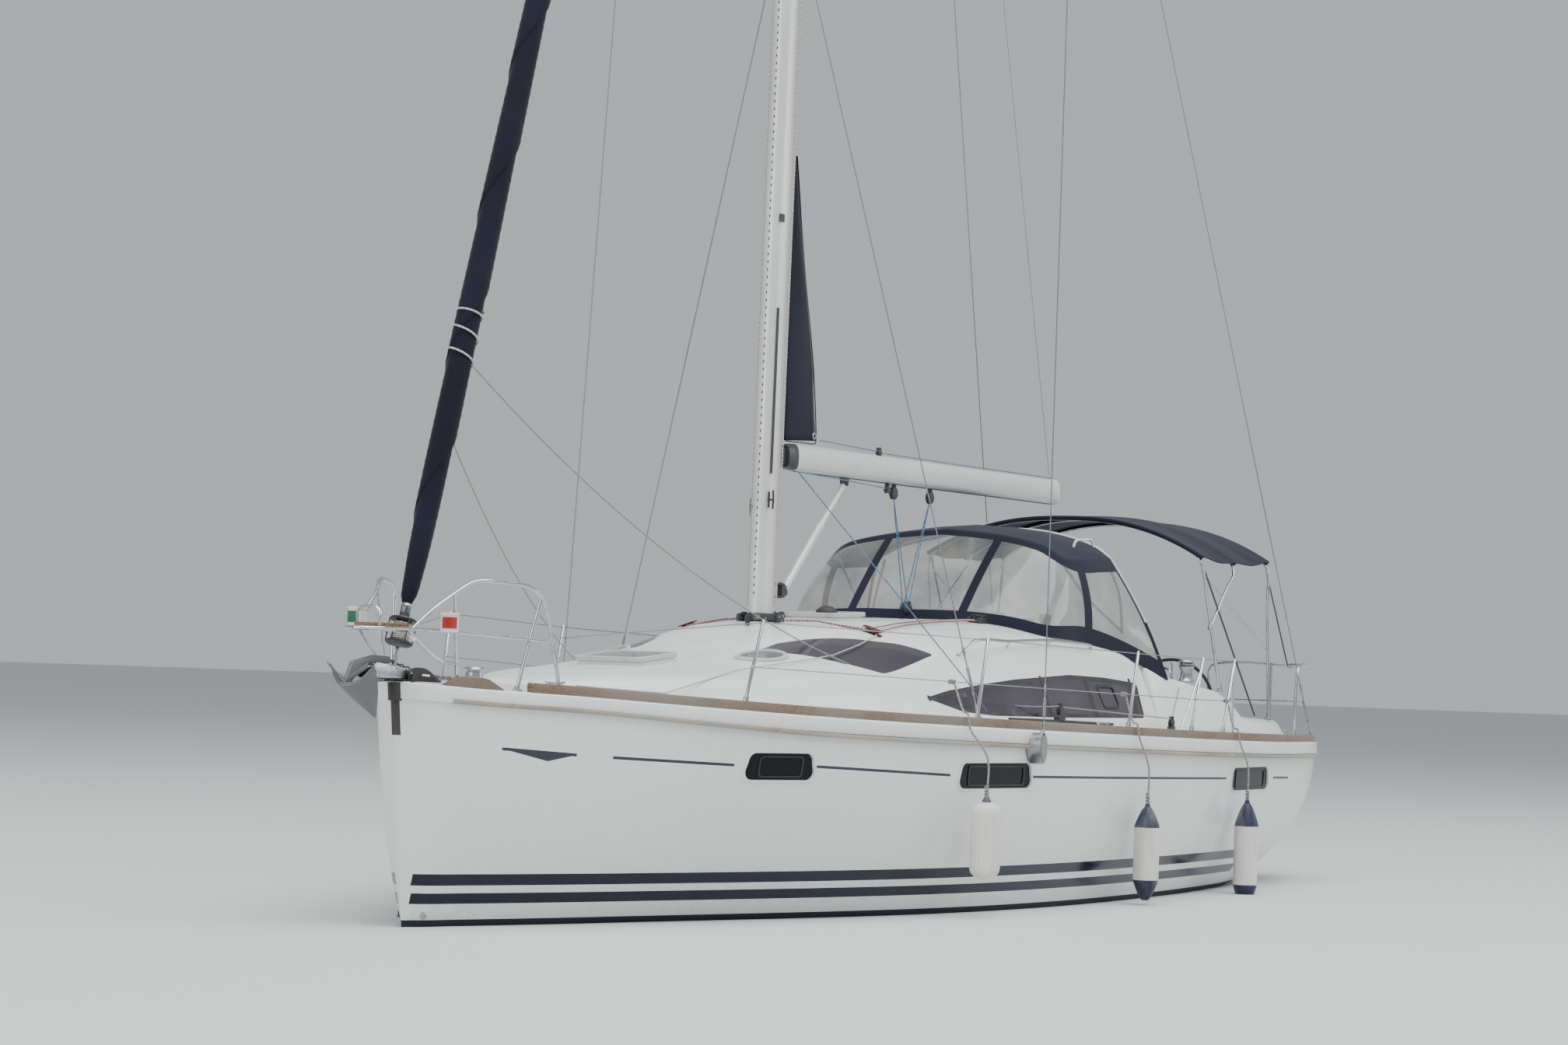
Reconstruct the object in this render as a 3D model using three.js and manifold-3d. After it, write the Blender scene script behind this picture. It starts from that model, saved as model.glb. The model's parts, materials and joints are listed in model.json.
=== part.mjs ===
// A twelve-metre deck-saloon sailing yacht afloat, in millimetres, as an assembly of named solids.
// X points forward, Y to port, Z up. The origin is on the centreline at the waterline,
// at mid length of the hull.
import * as THREE from "three";
import { ConvexGeometry } from "three/addons/geometries/ConvexGeometry.js";
import { mergeVertices } from "three/addons/utils/BufferGeometryUtils.js";
import Module from "manifold-3d";

const wasm = await Module();
wasm.setup();

// Driving dimensions of the hull
const TRANSOM_X = -6200;
const GAP = 0.4; // what two pieces that touch keep between them
const DECK_CAMBER = 0.09; // rise of the deck's middle over its edge, for each millimetre of half breadth
const FLANGE_OUT = 24; // how far the deck moulding's flange stands proud of the hull
const FLANGE_DEPTH = 85;
const FLANGE_CLEAR = 2; // between the flange's inner face and the hull
const DECK_EDGE = 22; // height of the deck moulding's edge above the sheer

// Hull stations: x, half breadth at the deck, sheer z, bottom z, fullness of the section,
// and rake, which is how far the sheer stands forward of the waterline
const STATIONS = [
  { x: TRANSOM_X, half: 1560, sheer: 1210, bottom: 60, full: 2.5, rake: 0 },
  { x: -5600, half: 1740, sheer: 1220, bottom: -30, full: 2.8, rake: 0 },
  { x: -4600, half: 1880, sheer: 1225, bottom: -180, full: 3.3, rake: 0 },
  { x: -3200, half: 2000, sheer: 1245, bottom: -380, full: 3.2, rake: 0 },
  { x: -1600, half: 2060, sheer: 1275, bottom: -540, full: 3.1, rake: 0 },
  { x: 0, half: 2045, sheer: 1310, bottom: -620, full: 3.0, rake: 0 },
  { x: 1500, half: 1910, sheer: 1345, bottom: -600, full: 2.7, rake: 0 },
  { x: 3000, half: 1600, sheer: 1390, bottom: -480, full: 2.25, rake: 10 },
  { x: 4200, half: 1165, sheer: 1445, bottom: -340, full: 2.1, rake: 50 },
  { x: 5050, half: 740, sheer: 1495, bottom: -240, full: 2.15, rake: 110 },
  { x: 5630, half: 385, sheer: 1525, bottom: -120, full: 2.2, rake: 165 },
  { x: 5930, half: 150, sheer: 1548, bottom: -40, full: 2.2, rake: 185 },
  { x: 6005, half: 40, sheer: 1556, bottom: 0, full: 2.2, rake: 190 },
];
const SECTION_STEPS = 9; // points up each side of a section

// A station between two of the table's, by linear steps of each column
function stationAt(x) {
  const last = STATIONS.length - 1;
  if (x <= STATIONS[0].x) return { ...STATIONS[0], x };
  if (x >= STATIONS[last].x) return { ...STATIONS[last], x };
  const i = STATIONS.findIndex((s) => s.x > x) - 1;
  const [a, b] = [STATIONS[i], STATIONS[i + 1]];
  const t = (x - a.x) / (b.x - a.x);
  const mix = (key) => a[key] + (b[key] - a[key]) * t;
  const mixed = Object.fromEntries(Object.keys(a).map((key) => [key, mix(key)]));
  return { ...mixed, x };
}

// The same table by the x that its sheer stands at, for what is set down on the deck
function deckStationAt(deckX) {
  let x = deckX;
  for (let i = 0; i < 8; i++) x = deckX - stationAt(x).rake;
  return stationAt(x);
}

// Solid making

function solidFrom(geometry) {
  const g = geometry.index ? geometry.toNonIndexed() : geometry.clone();
  const bare = new THREE.BufferGeometry().setAttribute("position", g.getAttribute("position"));
  const merged = mergeVertices(bare, 1e-3);
  const mesh = new wasm.Mesh({
    numProp: 3,
    vertProperties: merged.attributes.position.array,
    triVerts: new Uint32Array(merged.index.array),
  });
  return new wasm.Manifold(mesh);
}

function geometryFrom(solid) {
  const m = solid.getMesh();
  const points = new Float32Array(m.numVert * 3);
  for (let i = 0; i < m.numVert; i++) {
    points.set(m.vertProperties.subarray(i * m.numProp, i * m.numProp + 3), i * 3);
  }
  const g = new THREE.BufferGeometry().setAttribute("position", new THREE.BufferAttribute(points, 3));
  g.setIndex(new THREE.BufferAttribute(m.triVerts, 1));
  g.computeVertexNormals();
  return g;
}

// A closed solid through rings of points that go round alike; the caps are flat
function loft(rings) {
  const n = rings[0].length;
  const points = rings.flat().flat();
  const faces = [];
  for (let r = 0; r < rings.length - 1; r++) {
    for (let i = 0; i < n; i++) {
      const j = (i + 1) % n;
      const [a, b, c, d] = [r * n + i, r * n + j, (r + 1) * n + j, (r + 1) * n + i];
      faces.push(a, b, c, a, c, d);
    }
  }
  const normalAxis = capAxis(rings[0]);
  for (const [ring, offset, flip] of [
    [rings[0], 0, true],
    [rings[rings.length - 1], (rings.length - 1) * n, false],
  ]) {
    const flat = ring.map((p) => new THREE.Vector2(p[(normalAxis + 1) % 3], p[(normalAxis + 2) % 3]));
    const ccw = THREE.ShapeUtils.area(flat) > 0;
    for (const tri of THREE.ShapeUtils.triangulateShape(ccw ? flat : flat.slice().reverse(), [])) {
      const [p, q, s] = tri.map((k) => offset + (ccw ? k : n - 1 - k));
      const forward = ccw !== flip;
      faces.push(p, forward ? q : s, forward ? s : q);
    }
  }
  const g = new THREE.BufferGeometry().setAttribute("position", new THREE.Float32BufferAttribute(points, 3));
  g.setIndex(faces);
  const solid = solidFrom(g);
  if (solid.volume() >= 0) return solid;
  g.setIndex(flipFaces(faces));
  return solidFrom(g);
}

function capAxis(ring) {
  const spread = [0, 1, 2].map((k) => {
    const values = ring.map((p) => p[k]);
    return Math.max(...values) - Math.min(...values);
  });
  return spread.indexOf(Math.min(...spread));
}

function flipFaces(faces) {
  const out = [];
  for (let i = 0; i < faces.length; i += 3) out.push(faces[i], faces[i + 2], faces[i + 1]);
  return out;
}

function box(x0, x1, y0, y1, z0, z1) {
  const g = new THREE.BoxGeometry(x1 - x0, y1 - y0, z1 - z0);
  g.translate((x0 + x1) / 2, (y0 + y1) / 2, (z0 + z1) / 2);
  return solidFrom(g);
}

const v3 = (p) => new THREE.Vector3(...p);

// A straight round bar between two points
function rod(a, b, radius, sides = 8, radiusEnd = radius) {
  const [start, end] = [v3(a), v3(b)];
  const length = start.distanceTo(end);
  const g = new THREE.CylinderGeometry(radiusEnd, radius, length, sides);
  const turn = new THREE.Quaternion().setFromUnitVectors(
    new THREE.Vector3(0, 1, 0),
    end.clone().sub(start).normalize(),
  );
  g.applyQuaternion(turn);
  const middle = start.add(end).multiplyScalar(0.5);
  g.translate(middle.x, middle.y, middle.z);
  return solidFrom(g);
}

// A round tube along a smooth curve through points
function tube(points, radius, sides = 8, steps = points.length * 4, closed = false) {
  const curve = new THREE.CatmullRomCurve3(points.map(v3), closed, "centripetal");
  const section = new THREE.Shape();
  for (let i = 0; i < sides; i++) {
    const a = (i / sides) * Math.PI * 2;
    const [x, y] = [radius * Math.cos(a), radius * Math.sin(a)];
    if (i) section.lineTo(x, y);
    else section.moveTo(x, y);
  }
  section.closePath();
  return solidFrom(new THREE.ExtrudeGeometry(section, { steps, extrudePath: curve, bevelEnabled: false }));
}

// A prism from an outline of [u, v] points. Axis "y" takes u as x and v as z; axis "z" takes them as x and y;
// axis "x" takes them as y and z.
function prism(outline, axis, from, to) {
  const place = {
    x: ([u, v], w) => [w, u, v],
    y: ([u, v], w) => [u, w, v],
    z: ([u, v], w) => [u, v, w],
  }[axis];
  return loft([outline.map((p) => place(p, from)), outline.map((p) => place(p, to))]);
}

// A solid of revolution about a vertical line, from a profile of [radius, z] points
function turned(profile, x, y, sides = 12) {
  const g = new THREE.LatheGeometry(
    profile.map(([r, z]) => new THREE.Vector2(r, z)),
    sides,
  );
  g.rotateX(Math.PI / 2);
  g.translate(x, y, 0);
  const solid = solidFrom(g);
  if (solid.volume() >= 0) return solid;
  const flat = g.toNonIndexed().getAttribute("position").array;
  const out = new Float32Array(flat.length);
  for (let i = 0; i < flat.length; i += 9) {
    out.set(flat.subarray(i, i + 3), i);
    out.set(flat.subarray(i + 6, i + 9), i + 3);
    out.set(flat.subarray(i + 3, i + 6), i + 6);
  }
  return solidFrom(new THREE.BufferGeometry().setAttribute("position", new THREE.BufferAttribute(out, 3)));
}

const union = (solids) => solids.reduce((a, b) => a.add(b));
const largest = (solid) => solid.decompose().reduce((a, b) => (a.volume() > b.volume() ? a : b));
const mirrored = (points) => points.map(([x, y, z]) => [x, -y, z]);
const sided = (side, p) => [p[0], side * p[1], p[2]];

// The exported group and its finishes

const yacht = new THREE.Group();
yacht.name = "sailing_yacht";

function finish(color, roughness, metalness = 0) {
  return new THREE.MeshStandardMaterial({ color, roughness, metalness });
}
const GELCOAT = finish(0xe9ebe8, 0.25);
const ANTIFOUL = finish(0x1b2430, 0.8);
const NAVY_CANVAS = finish(0x1c2a44, 0.9);
const SAILCLOTH = finish(0x1f2c4a, 0.85);
const TEAK = finish(0x7d6a55, 0.8);
const STEEL = finish(0xc9cccf, 0.2, 1);
const SPAR = finish(0xdfe2e2, 0.35, 0.6);
const TINTED = finish(0x2a2630, 0.08);
const GALVANISED = finish(0x83888c, 0.55, 0.8);
const VINYL = finish(0xe4e4e0, 0.6);
const ENGINE_GREY = finish(0x6d7478, 0.6);

const SIDES = { port: 1, stbd: -1 };

function put(name, solid, material) {
  const mesh = new THREE.Mesh(geometryFrom(solid), material);
  mesh.name = name;
  yacht.add(mesh);
}

// Hull, as one decked solid with its saloon and cockpit bay cut out

const fullness = (u, full) => (1 - (1 - u) ** full) ** (1 / full);

// The x of a point at height z on a station, leaning forward with the stem
const rakedX = (s, z) => s.x + (s.rake * z) / s.sheer;

function halfSection(s) {
  const side = [];
  for (let i = 1; i <= SECTION_STEPS; i++) {
    const u = (i / SECTION_STEPS) ** 1.6;
    const z = s.bottom + (s.sheer - s.bottom) * u;
    side.push([rakedX(s, z), s.half * fullness(u, s.full), z]);
  }
  return side;
}

function hullRing(s) {
  const side = halfSection(s);
  return [[rakedX(s, s.bottom), 0, s.bottom], ...side, ...mirrored(side).reverse()];
}

const hullBody = loft(STATIONS.map(hullRing));

// Spaces inside the hull
const SALOON = { x0: -2600, x1: 1500, half: 1250, floor: -250 };
const FORE_CABIN = { x1: 3900, half: 500, floor: 100 };
const BAY = { x0: -5780, x1: -2780, half: 1400, deckHalf: 1520, floor: 600 };
const OVER_ALL = 4000; // higher than anything that a vertical cut passes
const COMPANIONWAY = { half: 330, sill: 1150 };
const SOLE_Z = 720;
const WALKWAY_HALF = 450;
const PLATFORM = { x1: -5950, half: 620, z: 360 };
const STOCK = { x: -5150, bore: 52, top: 260 };

const saloonCut = box(SALOON.x0, SALOON.x1, -SALOON.half, SALOON.half, SALOON.floor, OVER_ALL);
const foreCut = box(
  SALOON.x1 - 1,
  FORE_CABIN.x1,
  -FORE_CABIN.half,
  FORE_CABIN.half,
  FORE_CABIN.floor,
  OVER_ALL,
);
const entryCut = box(
  BAY.x0,
  SALOON.x0 + 10,
  -COMPANIONWAY.half,
  COMPANIONWAY.half,
  COMPANIONWAY.sill,
  OVER_ALL,
);
const walkwayCut = box(TRANSOM_X - 100, BAY.x0 + 50, -WALKWAY_HALF, WALKWAY_HALF, SOLE_Z, OVER_ALL);
const platformCut = box(TRANSOM_X - 100, PLATFORM.x1, -PLATFORM.half, PLATFORM.half, PLATFORM.z, OVER_ALL);

let hull = hullBody
  .subtract(saloonCut)
  .subtract(foreCut)
  .subtract(entryCut)
  .subtract(box(BAY.x0, BAY.x1, -BAY.half, BAY.half, BAY.floor, OVER_ALL))
  .subtract(walkwayCut)
  .subtract(platformCut)
  .subtract(rod([STOCK.x, 0, -600], [STOCK.x, 0, STOCK.top], STOCK.bore, 16));

// Hull windows, three on each side: x of the aft and fore ends, z of the foot and head
const PORTS = [
  { x0: 3270, x1: 3870, z0: 980, z1: 1165 },
  { x0: 780, x1: 1740, z0: 920, z1: 1105 },
  { x0: -4130, x1: -3130, z0: 850, z1: 1040 },
];
const PORT_DEPTH = 12;
const PORT_SLANT = 60;
const portOutline = ({ x0, x1, z0, z1 }) => [
  [x0, z0],
  [x1 - PORT_SLANT, z0],
  [x1, (z0 + z1) / 2 - 20],
  [x1 - 30, z1],
  [x0 + PORT_SLANT, z1],
];
const hullInner = loft(
  STATIONS.map((s) => hullRing(s).map(([x, y, z]) => [x, y * (1 - PORT_DEPTH / Math.max(s.half, 100)), z])),
);
for (const side of Object.values(SIDES)) {
  for (const port of PORTS) {
    const pocket = prism(portOutline(port), "y", side * 800, side * 2400);
    hull = hull.subtract(pocket.subtract(hullInner));
  }
}
put("hull", hull, GELCOAT);

// Deck moulding: a cambered lid whose flange laps over the hull's edge

const deckTopZ = (s, y) => s.sheer + DECK_EDGE + DECK_CAMBER * s.half * (1 - (y / s.half) ** 2);
const DECK_STEPS = 5;

function deckRing(s, lift = 0, overhang = FLANGE_OUT) {
  const edge = s.half + overhang;
  const foot = s.sheer - FLANGE_DEPTH;
  const fore = (z) => rakedX(s, z);
  const side = [
    [fore(s.sheer), s.half + FLANGE_CLEAR, s.sheer + GAP],
    [fore(foot), s.half + FLANGE_CLEAR, foot],
    [fore(foot), edge, foot],
    [fore(s.sheer), edge, s.sheer + DECK_EDGE + lift],
  ];
  for (let i = DECK_STEPS - 1; i >= 1; i--) {
    const y = (s.half * i) / DECK_STEPS;
    side.push([fore(s.sheer), y, deckTopZ(s, y) + lift]);
  }
  const middle = [fore(s.sheer), 0, deckTopZ(s, 0) + lift];
  return [...side, middle, ...mirrored(side).reverse()];
}

const deckLid = loft(STATIONS.map((s) => deckRing(s)));
const deckLidRaised = loft(STATIONS.map((s) => deckRing(s, GAP)));
const CABIN_CUT = { half: 1180, foreHalf: 460, x1: 2450, fore: 3850 };
let deck = deckLid
  .subtract(box(SALOON.x0, SALOON.x1, -CABIN_CUT.half, CABIN_CUT.half, 0, OVER_ALL))
  .subtract(box(SALOON.x1 - 1, CABIN_CUT.fore, -CABIN_CUT.foreHalf, CABIN_CUT.foreHalf, 0, OVER_ALL))
  .subtract(entryCut)
  .subtract(box(BAY.x0, BAY.x1, -BAY.deckHalf, BAY.deckHalf, 0, OVER_ALL))
  .subtract(walkwayCut)
  .subtract(platformCut);

// Mooring cleats, fused to the deck: x and y of each, and the length of its horns
const CLEATS = [
  { x: 5150, y: 560, length: 260 },
  { x: -5950, y: 1330, length: 260 },
  { x: -700, y: 1900, length: 240 },
];
const CLEAT = { width: 34, height: 62, foot: 22, base: 120 };
function cleat({ x, y, length }) {
  const z = deckTopZ(deckStationAt(x), Math.abs(y));
  const [reach, wide] = [length / 2, CLEAT.width / 2];
  const horn = box(x - reach, x + reach, y - wide, y + wide, z + 40, z + CLEAT.height);
  const base = box(x - CLEAT.base / 2, x + CLEAT.base / 2, y - 22, y + 22, z - 30, z + CLEAT.foot);
  const neck = box(x - 45, x + 45, y - 13, y + 13, z, z + 50);
  return union([horn, base, neck]);
}
for (const side of Object.values(SIDES)) {
  for (const c of CLEATS) deck = deck.add(cleat({ ...c, y: side * c.y }));
}
put("deck", deck, GELCOAT);

// A strip that follows the hull's edge between two x, with its section given as [out, up] from the sheer
function edgeStrip(side, xs, section) {
  const rings = xs.map((x) => {
    const s = stationAt(x);
    return section.map(([out, up]) => [rakedX(s, s.sheer + up), side * (s.half + out), s.sheer + up]);
  });
  return loft(rings);
}
const stripStations = (from, to) => {
  const inner = STATIONS.map((s) => s.x).filter((x) => x > from + 20 && x < to - 20);
  return [from, ...inner, to];
};
const TOE_RAIL = { from: -6080, to: 5310, inner: -32, outer: 8, height: 66 };
const STRAKE = { from: -6150, to: 5760, inner: 6, outer: 40, top: -FLANGE_DEPTH - GAP, bottom: -118 };
for (const [name, side] of Object.entries(SIDES)) {
  const rail = edgeStrip(side, stripStations(TOE_RAIL.from, TOE_RAIL.to), [
    [TOE_RAIL.inner, DECK_EDGE - 2],
    [TOE_RAIL.outer, DECK_EDGE - 2],
    [TOE_RAIL.outer - 4, DECK_EDGE + TOE_RAIL.height],
    [TOE_RAIL.inner + 6, DECK_EDGE + TOE_RAIL.height],
  ]);
  put("toe_rail_" + name, largest(rail.subtract(deckLidRaised)), TEAK);
  const strake = edgeStrip(side, stripStations(STRAKE.from, STRAKE.to), [
    [STRAKE.inner, STRAKE.bottom],
    [STRAKE.outer - 8, STRAKE.bottom],
    [STRAKE.outer, STRAKE.top],
    [STRAKE.inner, STRAKE.top],
  ]);
  put("rubbing_strake_" + name, strake, TEAK);
}

// Keel, saildrive, propeller, rudder and engine

// A foil section at height z: leading edge x, chord and thickness
function foil(z, lead, chord, thick) {
  const along = [0, 0.05, 0.2, 0.4, 0.7, 1];
  const wide = [0.12, 0.55, 0.95, 1, 0.6, 0.06];
  const port = along.map((a, i) => [lead - a * chord, (wide[i] * thick) / 2, z]);
  return [...port, ...mirrored(port).reverse()];
}

const hullLowered = hullBody.translate([0, 0, -GAP]);
// Keel: z, leading edge x, chord and thickness of each section
const FIN = [
  { z: -300, lead: 1250, chord: 2050, thick: 260 },
  { z: -1250, lead: 1100, chord: 1750, thick: 210 },
  { z: -1900, lead: 980, chord: 1550, thick: 190 },
];
const BULB = { x0: -1150, x1: 1350, z: -1960, half: 230, height: 205 };
function bulbRing(t) {
  const swell = Math.sin(Math.PI * Math.min(1, 0.06 + 0.9 * t) ** 0.8) ** 0.7;
  const x = BULB.x1 + (BULB.x0 - BULB.x1) * t;
  const ring = [];
  for (let i = 0; i < 10; i++) {
    const a = (i / 10) * Math.PI * 2;
    ring.push([x, BULB.half * swell * Math.cos(a), BULB.z + BULB.height * swell * Math.sin(a)]);
  }
  return ring;
}
const fin = loft(FIN.map((f) => foil(f.z, f.lead, f.chord, f.thick)));
const bulb = loft([0, 0.06, 0.2, 0.4, 0.65, 0.85, 1].map(bulbRing));
const KEEL_SOLE_Z = -2120; // the flat underside of the bulb
const keel = fin
  .add(bulb)
  .subtract(hullLowered)
  .subtract(box(-3000, 3000, -600, 600, -2600, KEEL_SOLE_Z));
put("keel", keel, ANTIFOUL);

const DRIVE = { x: -2750, top: -300, shaftZ: -905, chord: 300, thick: 110, hub: 72, back: -2990 };
const leg = loft([
  foil(DRIVE.top, DRIVE.x + 170, 360, 130),
  foil(DRIVE.shaftZ - 40, DRIVE.x + 120, DRIVE.chord, DRIVE.thick),
]);
const torpedo = rod([DRIVE.x + 150, 0, DRIVE.shaftZ], [DRIVE.back, 0, DRIVE.shaftZ], 45, 12, DRIVE.hub);
put("saildrive_leg", leg.add(torpedo).subtract(hullLowered), finish(0x8d9396, 0.5));

const PROPELLER = { radius: 225, length: 110, blades: 3, chord: 130 };
const hubFront = DRIVE.back - 6;
let propeller = rod(
  [hubFront, 0, DRIVE.shaftZ],
  [hubFront - PROPELLER.length, 0, DRIVE.shaftZ],
  DRIVE.hub - 6,
  12,
  34,
);
for (let k = 0; k < PROPELLER.blades; k++) {
  const blade = new THREE.BoxGeometry(14, PROPELLER.chord, PROPELLER.radius - 30);
  blade.translate(0, 0, (PROPELLER.radius + 30) / 2);
  blade.rotateZ(0.62);
  blade.rotateX((k * 2 * Math.PI) / PROPELLER.blades);
  blade.translate(hubFront - 55, 0, DRIVE.shaftZ);
  propeller = propeller.add(solidFrom(blade));
}
put("propeller", propeller, finish(0xa58a55, 0.35, 0.9));

const RUDDER = {
  top: -250,
  foot: -1780,
  lead: 130,
  chordTop: 640,
  chordFoot: 420,
  thickTop: 120,
  thickFoot: 70,
};
const blade = loft([
  foil(RUDDER.top, STOCK.x + RUDDER.lead, RUDDER.chordTop, RUDDER.thickTop),
  foil(RUDDER.foot, STOCK.x + RUDDER.lead - 10, RUDDER.chordFoot, RUDDER.thickFoot),
]);
const stock = rod([STOCK.x, 0, RUDDER.top - 200], [STOCK.x, 0, STOCK.top - 8], STOCK.bore - 6, 16);
put("rudder", blade.add(stock), ANTIFOUL);

const ENGINE = { x0: -2560, x1: -1750, half: 290, height: 620 };
put(
  "engine",
  box(ENGINE.x0, ENGINE.x1, -ENGINE.half, ENGINE.half, SALOON.floor + GAP, SALOON.floor + ENGINE.height),
  ENGINE_GREY,
);

// Coachroof: stations of the raised cabin top, each half section as y and z pairs
// foot on the deck, head of the window band, shoulder, crown, middle
const ROOF = [
  { x: 4900, foot: [240, 1500], head: [215, 1585], shoulder: [180, 1600], crown: [100, 1610], top: 1612 },
  { x: 4250, foot: [700, 1480], head: [640, 1590], shoulder: [560, 1640], crown: [320, 1672], top: 1682 },
  { x: 3300, foot: [1030, 1440], head: [955, 1610], shoulder: [860, 1672], crown: [500, 1728], top: 1748 },
  { x: 2600, foot: [1225, 1420], head: [1130, 1630], shoulder: [1020, 1700], crown: [600, 1800], top: 1832 },
  { x: 1500, foot: [1430, 1400], head: [1300, 1640], shoulder: [1130, 1775], crown: [640, 2020], top: 2062 },
  { x: 800, foot: [1490, 1390], head: [1340, 1690], shoulder: [1190, 1905], crown: [730, 2075], top: 2104 },
  { x: 150, foot: [1530, 1380], head: [1355, 1760], shoulder: [1235, 1955], crown: [800, 2105], top: 2134 },
  { x: -1000, foot: [1550, 1370], head: [1355, 1800], shoulder: [1265, 1995], crown: [850, 2135], top: 2170 },
  { x: -2740, foot: [1530, 1350], head: [1340, 1760], shoulder: [1250, 1965], crown: [820, 2100], top: 2130 },
];
const ROOF_WALL = 45;
const ROOF_SKIRT = 120; // how far the loft reaches below the deck before the deck cuts it

function roofRing(r, inset = 0, shift = 0) {
  const drop = inset ? inset * 1.1 : 0;
  const side = [
    [r.foot[0] - inset, r.foot[1] - ROOF_SKIRT - inset * 4],
    [r.foot[0] - inset, r.foot[1]],
    [r.head[0] - inset * 1.1, r.head[1] - drop * 0.4],
    [r.shoulder[0] - inset * 0.9, r.shoulder[1] - drop],
    [r.crown[0] - inset * 0.4, r.crown[1] - drop],
  ].map(([y, z]) => [r.x + shift, Math.max(y, 4), z]);
  return [...side, [r.x + shift, 0, r.top - drop], ...mirrored(side).reverse()];
}

const roofOuter = loft(ROOF.map((r) => roofRing(r)));
const innerRows = ROOF.slice(1).map((r, i, rows) => {
  if (i === 0) return { row: r, shift: -40 };
  if (i === rows.length - 1) return { row: r, shift: ROOF_WALL };
  return { row: r, shift: 0 };
});
const roofInner = loft(innerRows.map(({ row, shift }) => roofRing(row, ROOF_WALL, shift)));
const roofShell = largest(roofOuter.subtract(roofInner).subtract(deckLidRaised).subtract(hullBody));

// Side window of the deck saloon, as x and z
const SIDE_WINDOW = [
  [-2600, 1430],
  [700, 1440],
  [1330, 1560],
  [900, 1620],
  [-150, 1715],
  [-1200, 1765],
  [-2560, 1715],
];
// Skylight in the sloping front of the roof, as x and y
const SKYLIGHT = [
  [1500, 320],
  [2480, 560],
  [2380, 700],
  [1560, 960],
  [800, 960],
  [900, 520],
];
// Lids: x of the middle, length along x, width along y, and hinge at the fore edge
const FORE_HATCH = { x: 3330, size: 560, thick: 34 };
const ROOF_HATCH = { x: 350, size: 480, thick: 34 };
const SLIDING_HATCH = { x0: -2700, x1: -1980, half: 370, thick: 40, travel: 560 };
const PANE_CLEAR = 2;

// An outline moved inwards by a distance, corner by corner
function inset(outline, by) {
  const points = outline.map(([u, v]) => new THREE.Vector2(u, v));
  const turn = Math.sign(THREE.ShapeUtils.area(points));
  return points.map((p, i) => {
    const before = points[(i + points.length - 1) % points.length];
    const after = points[(i + 1) % points.length];
    const [n1, n2] = [p.clone().sub(before), after.clone().sub(p)].map((d) => {
      d.normalize();
      return new THREE.Vector2(-d.y * turn, d.x * turn);
    });
    const sum = n1.clone().add(n2);
    sum.multiplyScalar((2 * by) / sum.lengthSq());
    return [p.x + sum.x, p.y + sum.y];
  });
}
const paneShell = roofOuter.subtract(loft(ROOF.map((r) => roofRing(r, 14))));

let roof = roofShell;
const panes = [];
for (const [name, side] of Object.entries(SIDES)) {
  const sideCut = prism(SIDE_WINDOW, "y", side * 1100, side * 1800);
  roof = roof.subtract(sideCut);
  panes.push(["side_window_" + name, prism(inset(SIDE_WINDOW, PANE_CLEAR), "y", side * 1100, side * 1800)]);
  const light = SKYLIGHT.map(([x, y]) => [x, side * y]);
  roof = roof.subtract(prism(light, "z", 1500, 2300));
  panes.push(["skylight_" + name, prism(inset(light, PANE_CLEAR), "z", 1500, 2300)]);
}

// Height of the roof's middle line at x
function roofMiddle(x) {
  const i = ROOF.findIndex((r) => r.x <= x);
  const [a, b] = [ROOF[i - 1], ROOF[i]];
  return b.top + ((a.top - b.top) * (x - b.x)) / (a.x - b.x);
}

// A hatch: a raised coaming on the roof with its opening, and a lid over it that follows the roof's slope
function hatch({ x, size, thick }) {
  const [fore, aft] = [x + size / 2, x - size / 2];
  const slope = Math.atan2(roofMiddle(fore) - roofMiddle(aft), size);
  const middle = roofMiddle(x) + 24;
  const tilt = (g) => {
    g.rotateY(-slope);
    g.translate(x, 0, middle);
    return solidFrom(g);
  };
  const slab = (length, z0, z1) => {
    const g = new THREE.BoxGeometry(length, length, z1 - z0);
    g.translate(0, 0, (z0 + z1) / 2);
    return tilt(g);
  };
  return {
    coaming: slab(size - 30, -60, 0).subtract(slab(size - 110, -80, 20)),
    opening: slab(size - 110, -400, 20),
    lid: slab(size, 6, 6 + thick),
    slope,
  };
}
const foreHatch = hatch(FORE_HATCH);
const roofHatch = hatch(ROOF_HATCH);
roof = roof.subtract(foreHatch.opening).subtract(roofHatch.opening);
roof = roof.add(foreHatch.coaming).add(roofHatch.coaming);

// Companionway: the doorway in the aft bulkhead and the opening under the sliding hatch
const HATCH_OPENING_X1 = -2100;
roof = roof
  .subtract(box(BAY.x0, -2650, -COMPANIONWAY.half, COMPANIONWAY.half, 1000, OVER_ALL))
  .subtract(box(-2800, HATCH_OPENING_X1, -COMPANIONWAY.half, COMPANIONWAY.half, 1800, OVER_ALL));
const garageX1 = SLIDING_HATCH.x1 + SLIDING_HATCH.travel + 20;
const HATCH_BASE_Z = 2185;
const garage = box(-1960, garageX1 + 30, -430, 430, 2080, 2260)
  .subtract(box(-2000, garageX1, -395, 395, HATCH_BASE_Z - 8, 2240))
  .subtract(roofInner);
const runner = box(-2730, -1950, -395, 395, 2060, HATCH_BASE_Z - 6)
  .subtract(box(-2800, HATCH_OPENING_X1, -COMPANIONWAY.half, COMPANIONWAY.half, 1800, OVER_ALL))
  .subtract(roofInner);
roof = roof.add(garage).add(runner);
put("coachroof", roof, GELCOAT);
for (const [name, cut] of panes) put(name, paneShell.intersect(cut).subtract(deckLidRaised), TINTED);
put("fore_hatch", foreHatch.lid, TINTED);
put("roof_hatch", roofHatch.lid, TINTED);
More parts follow.
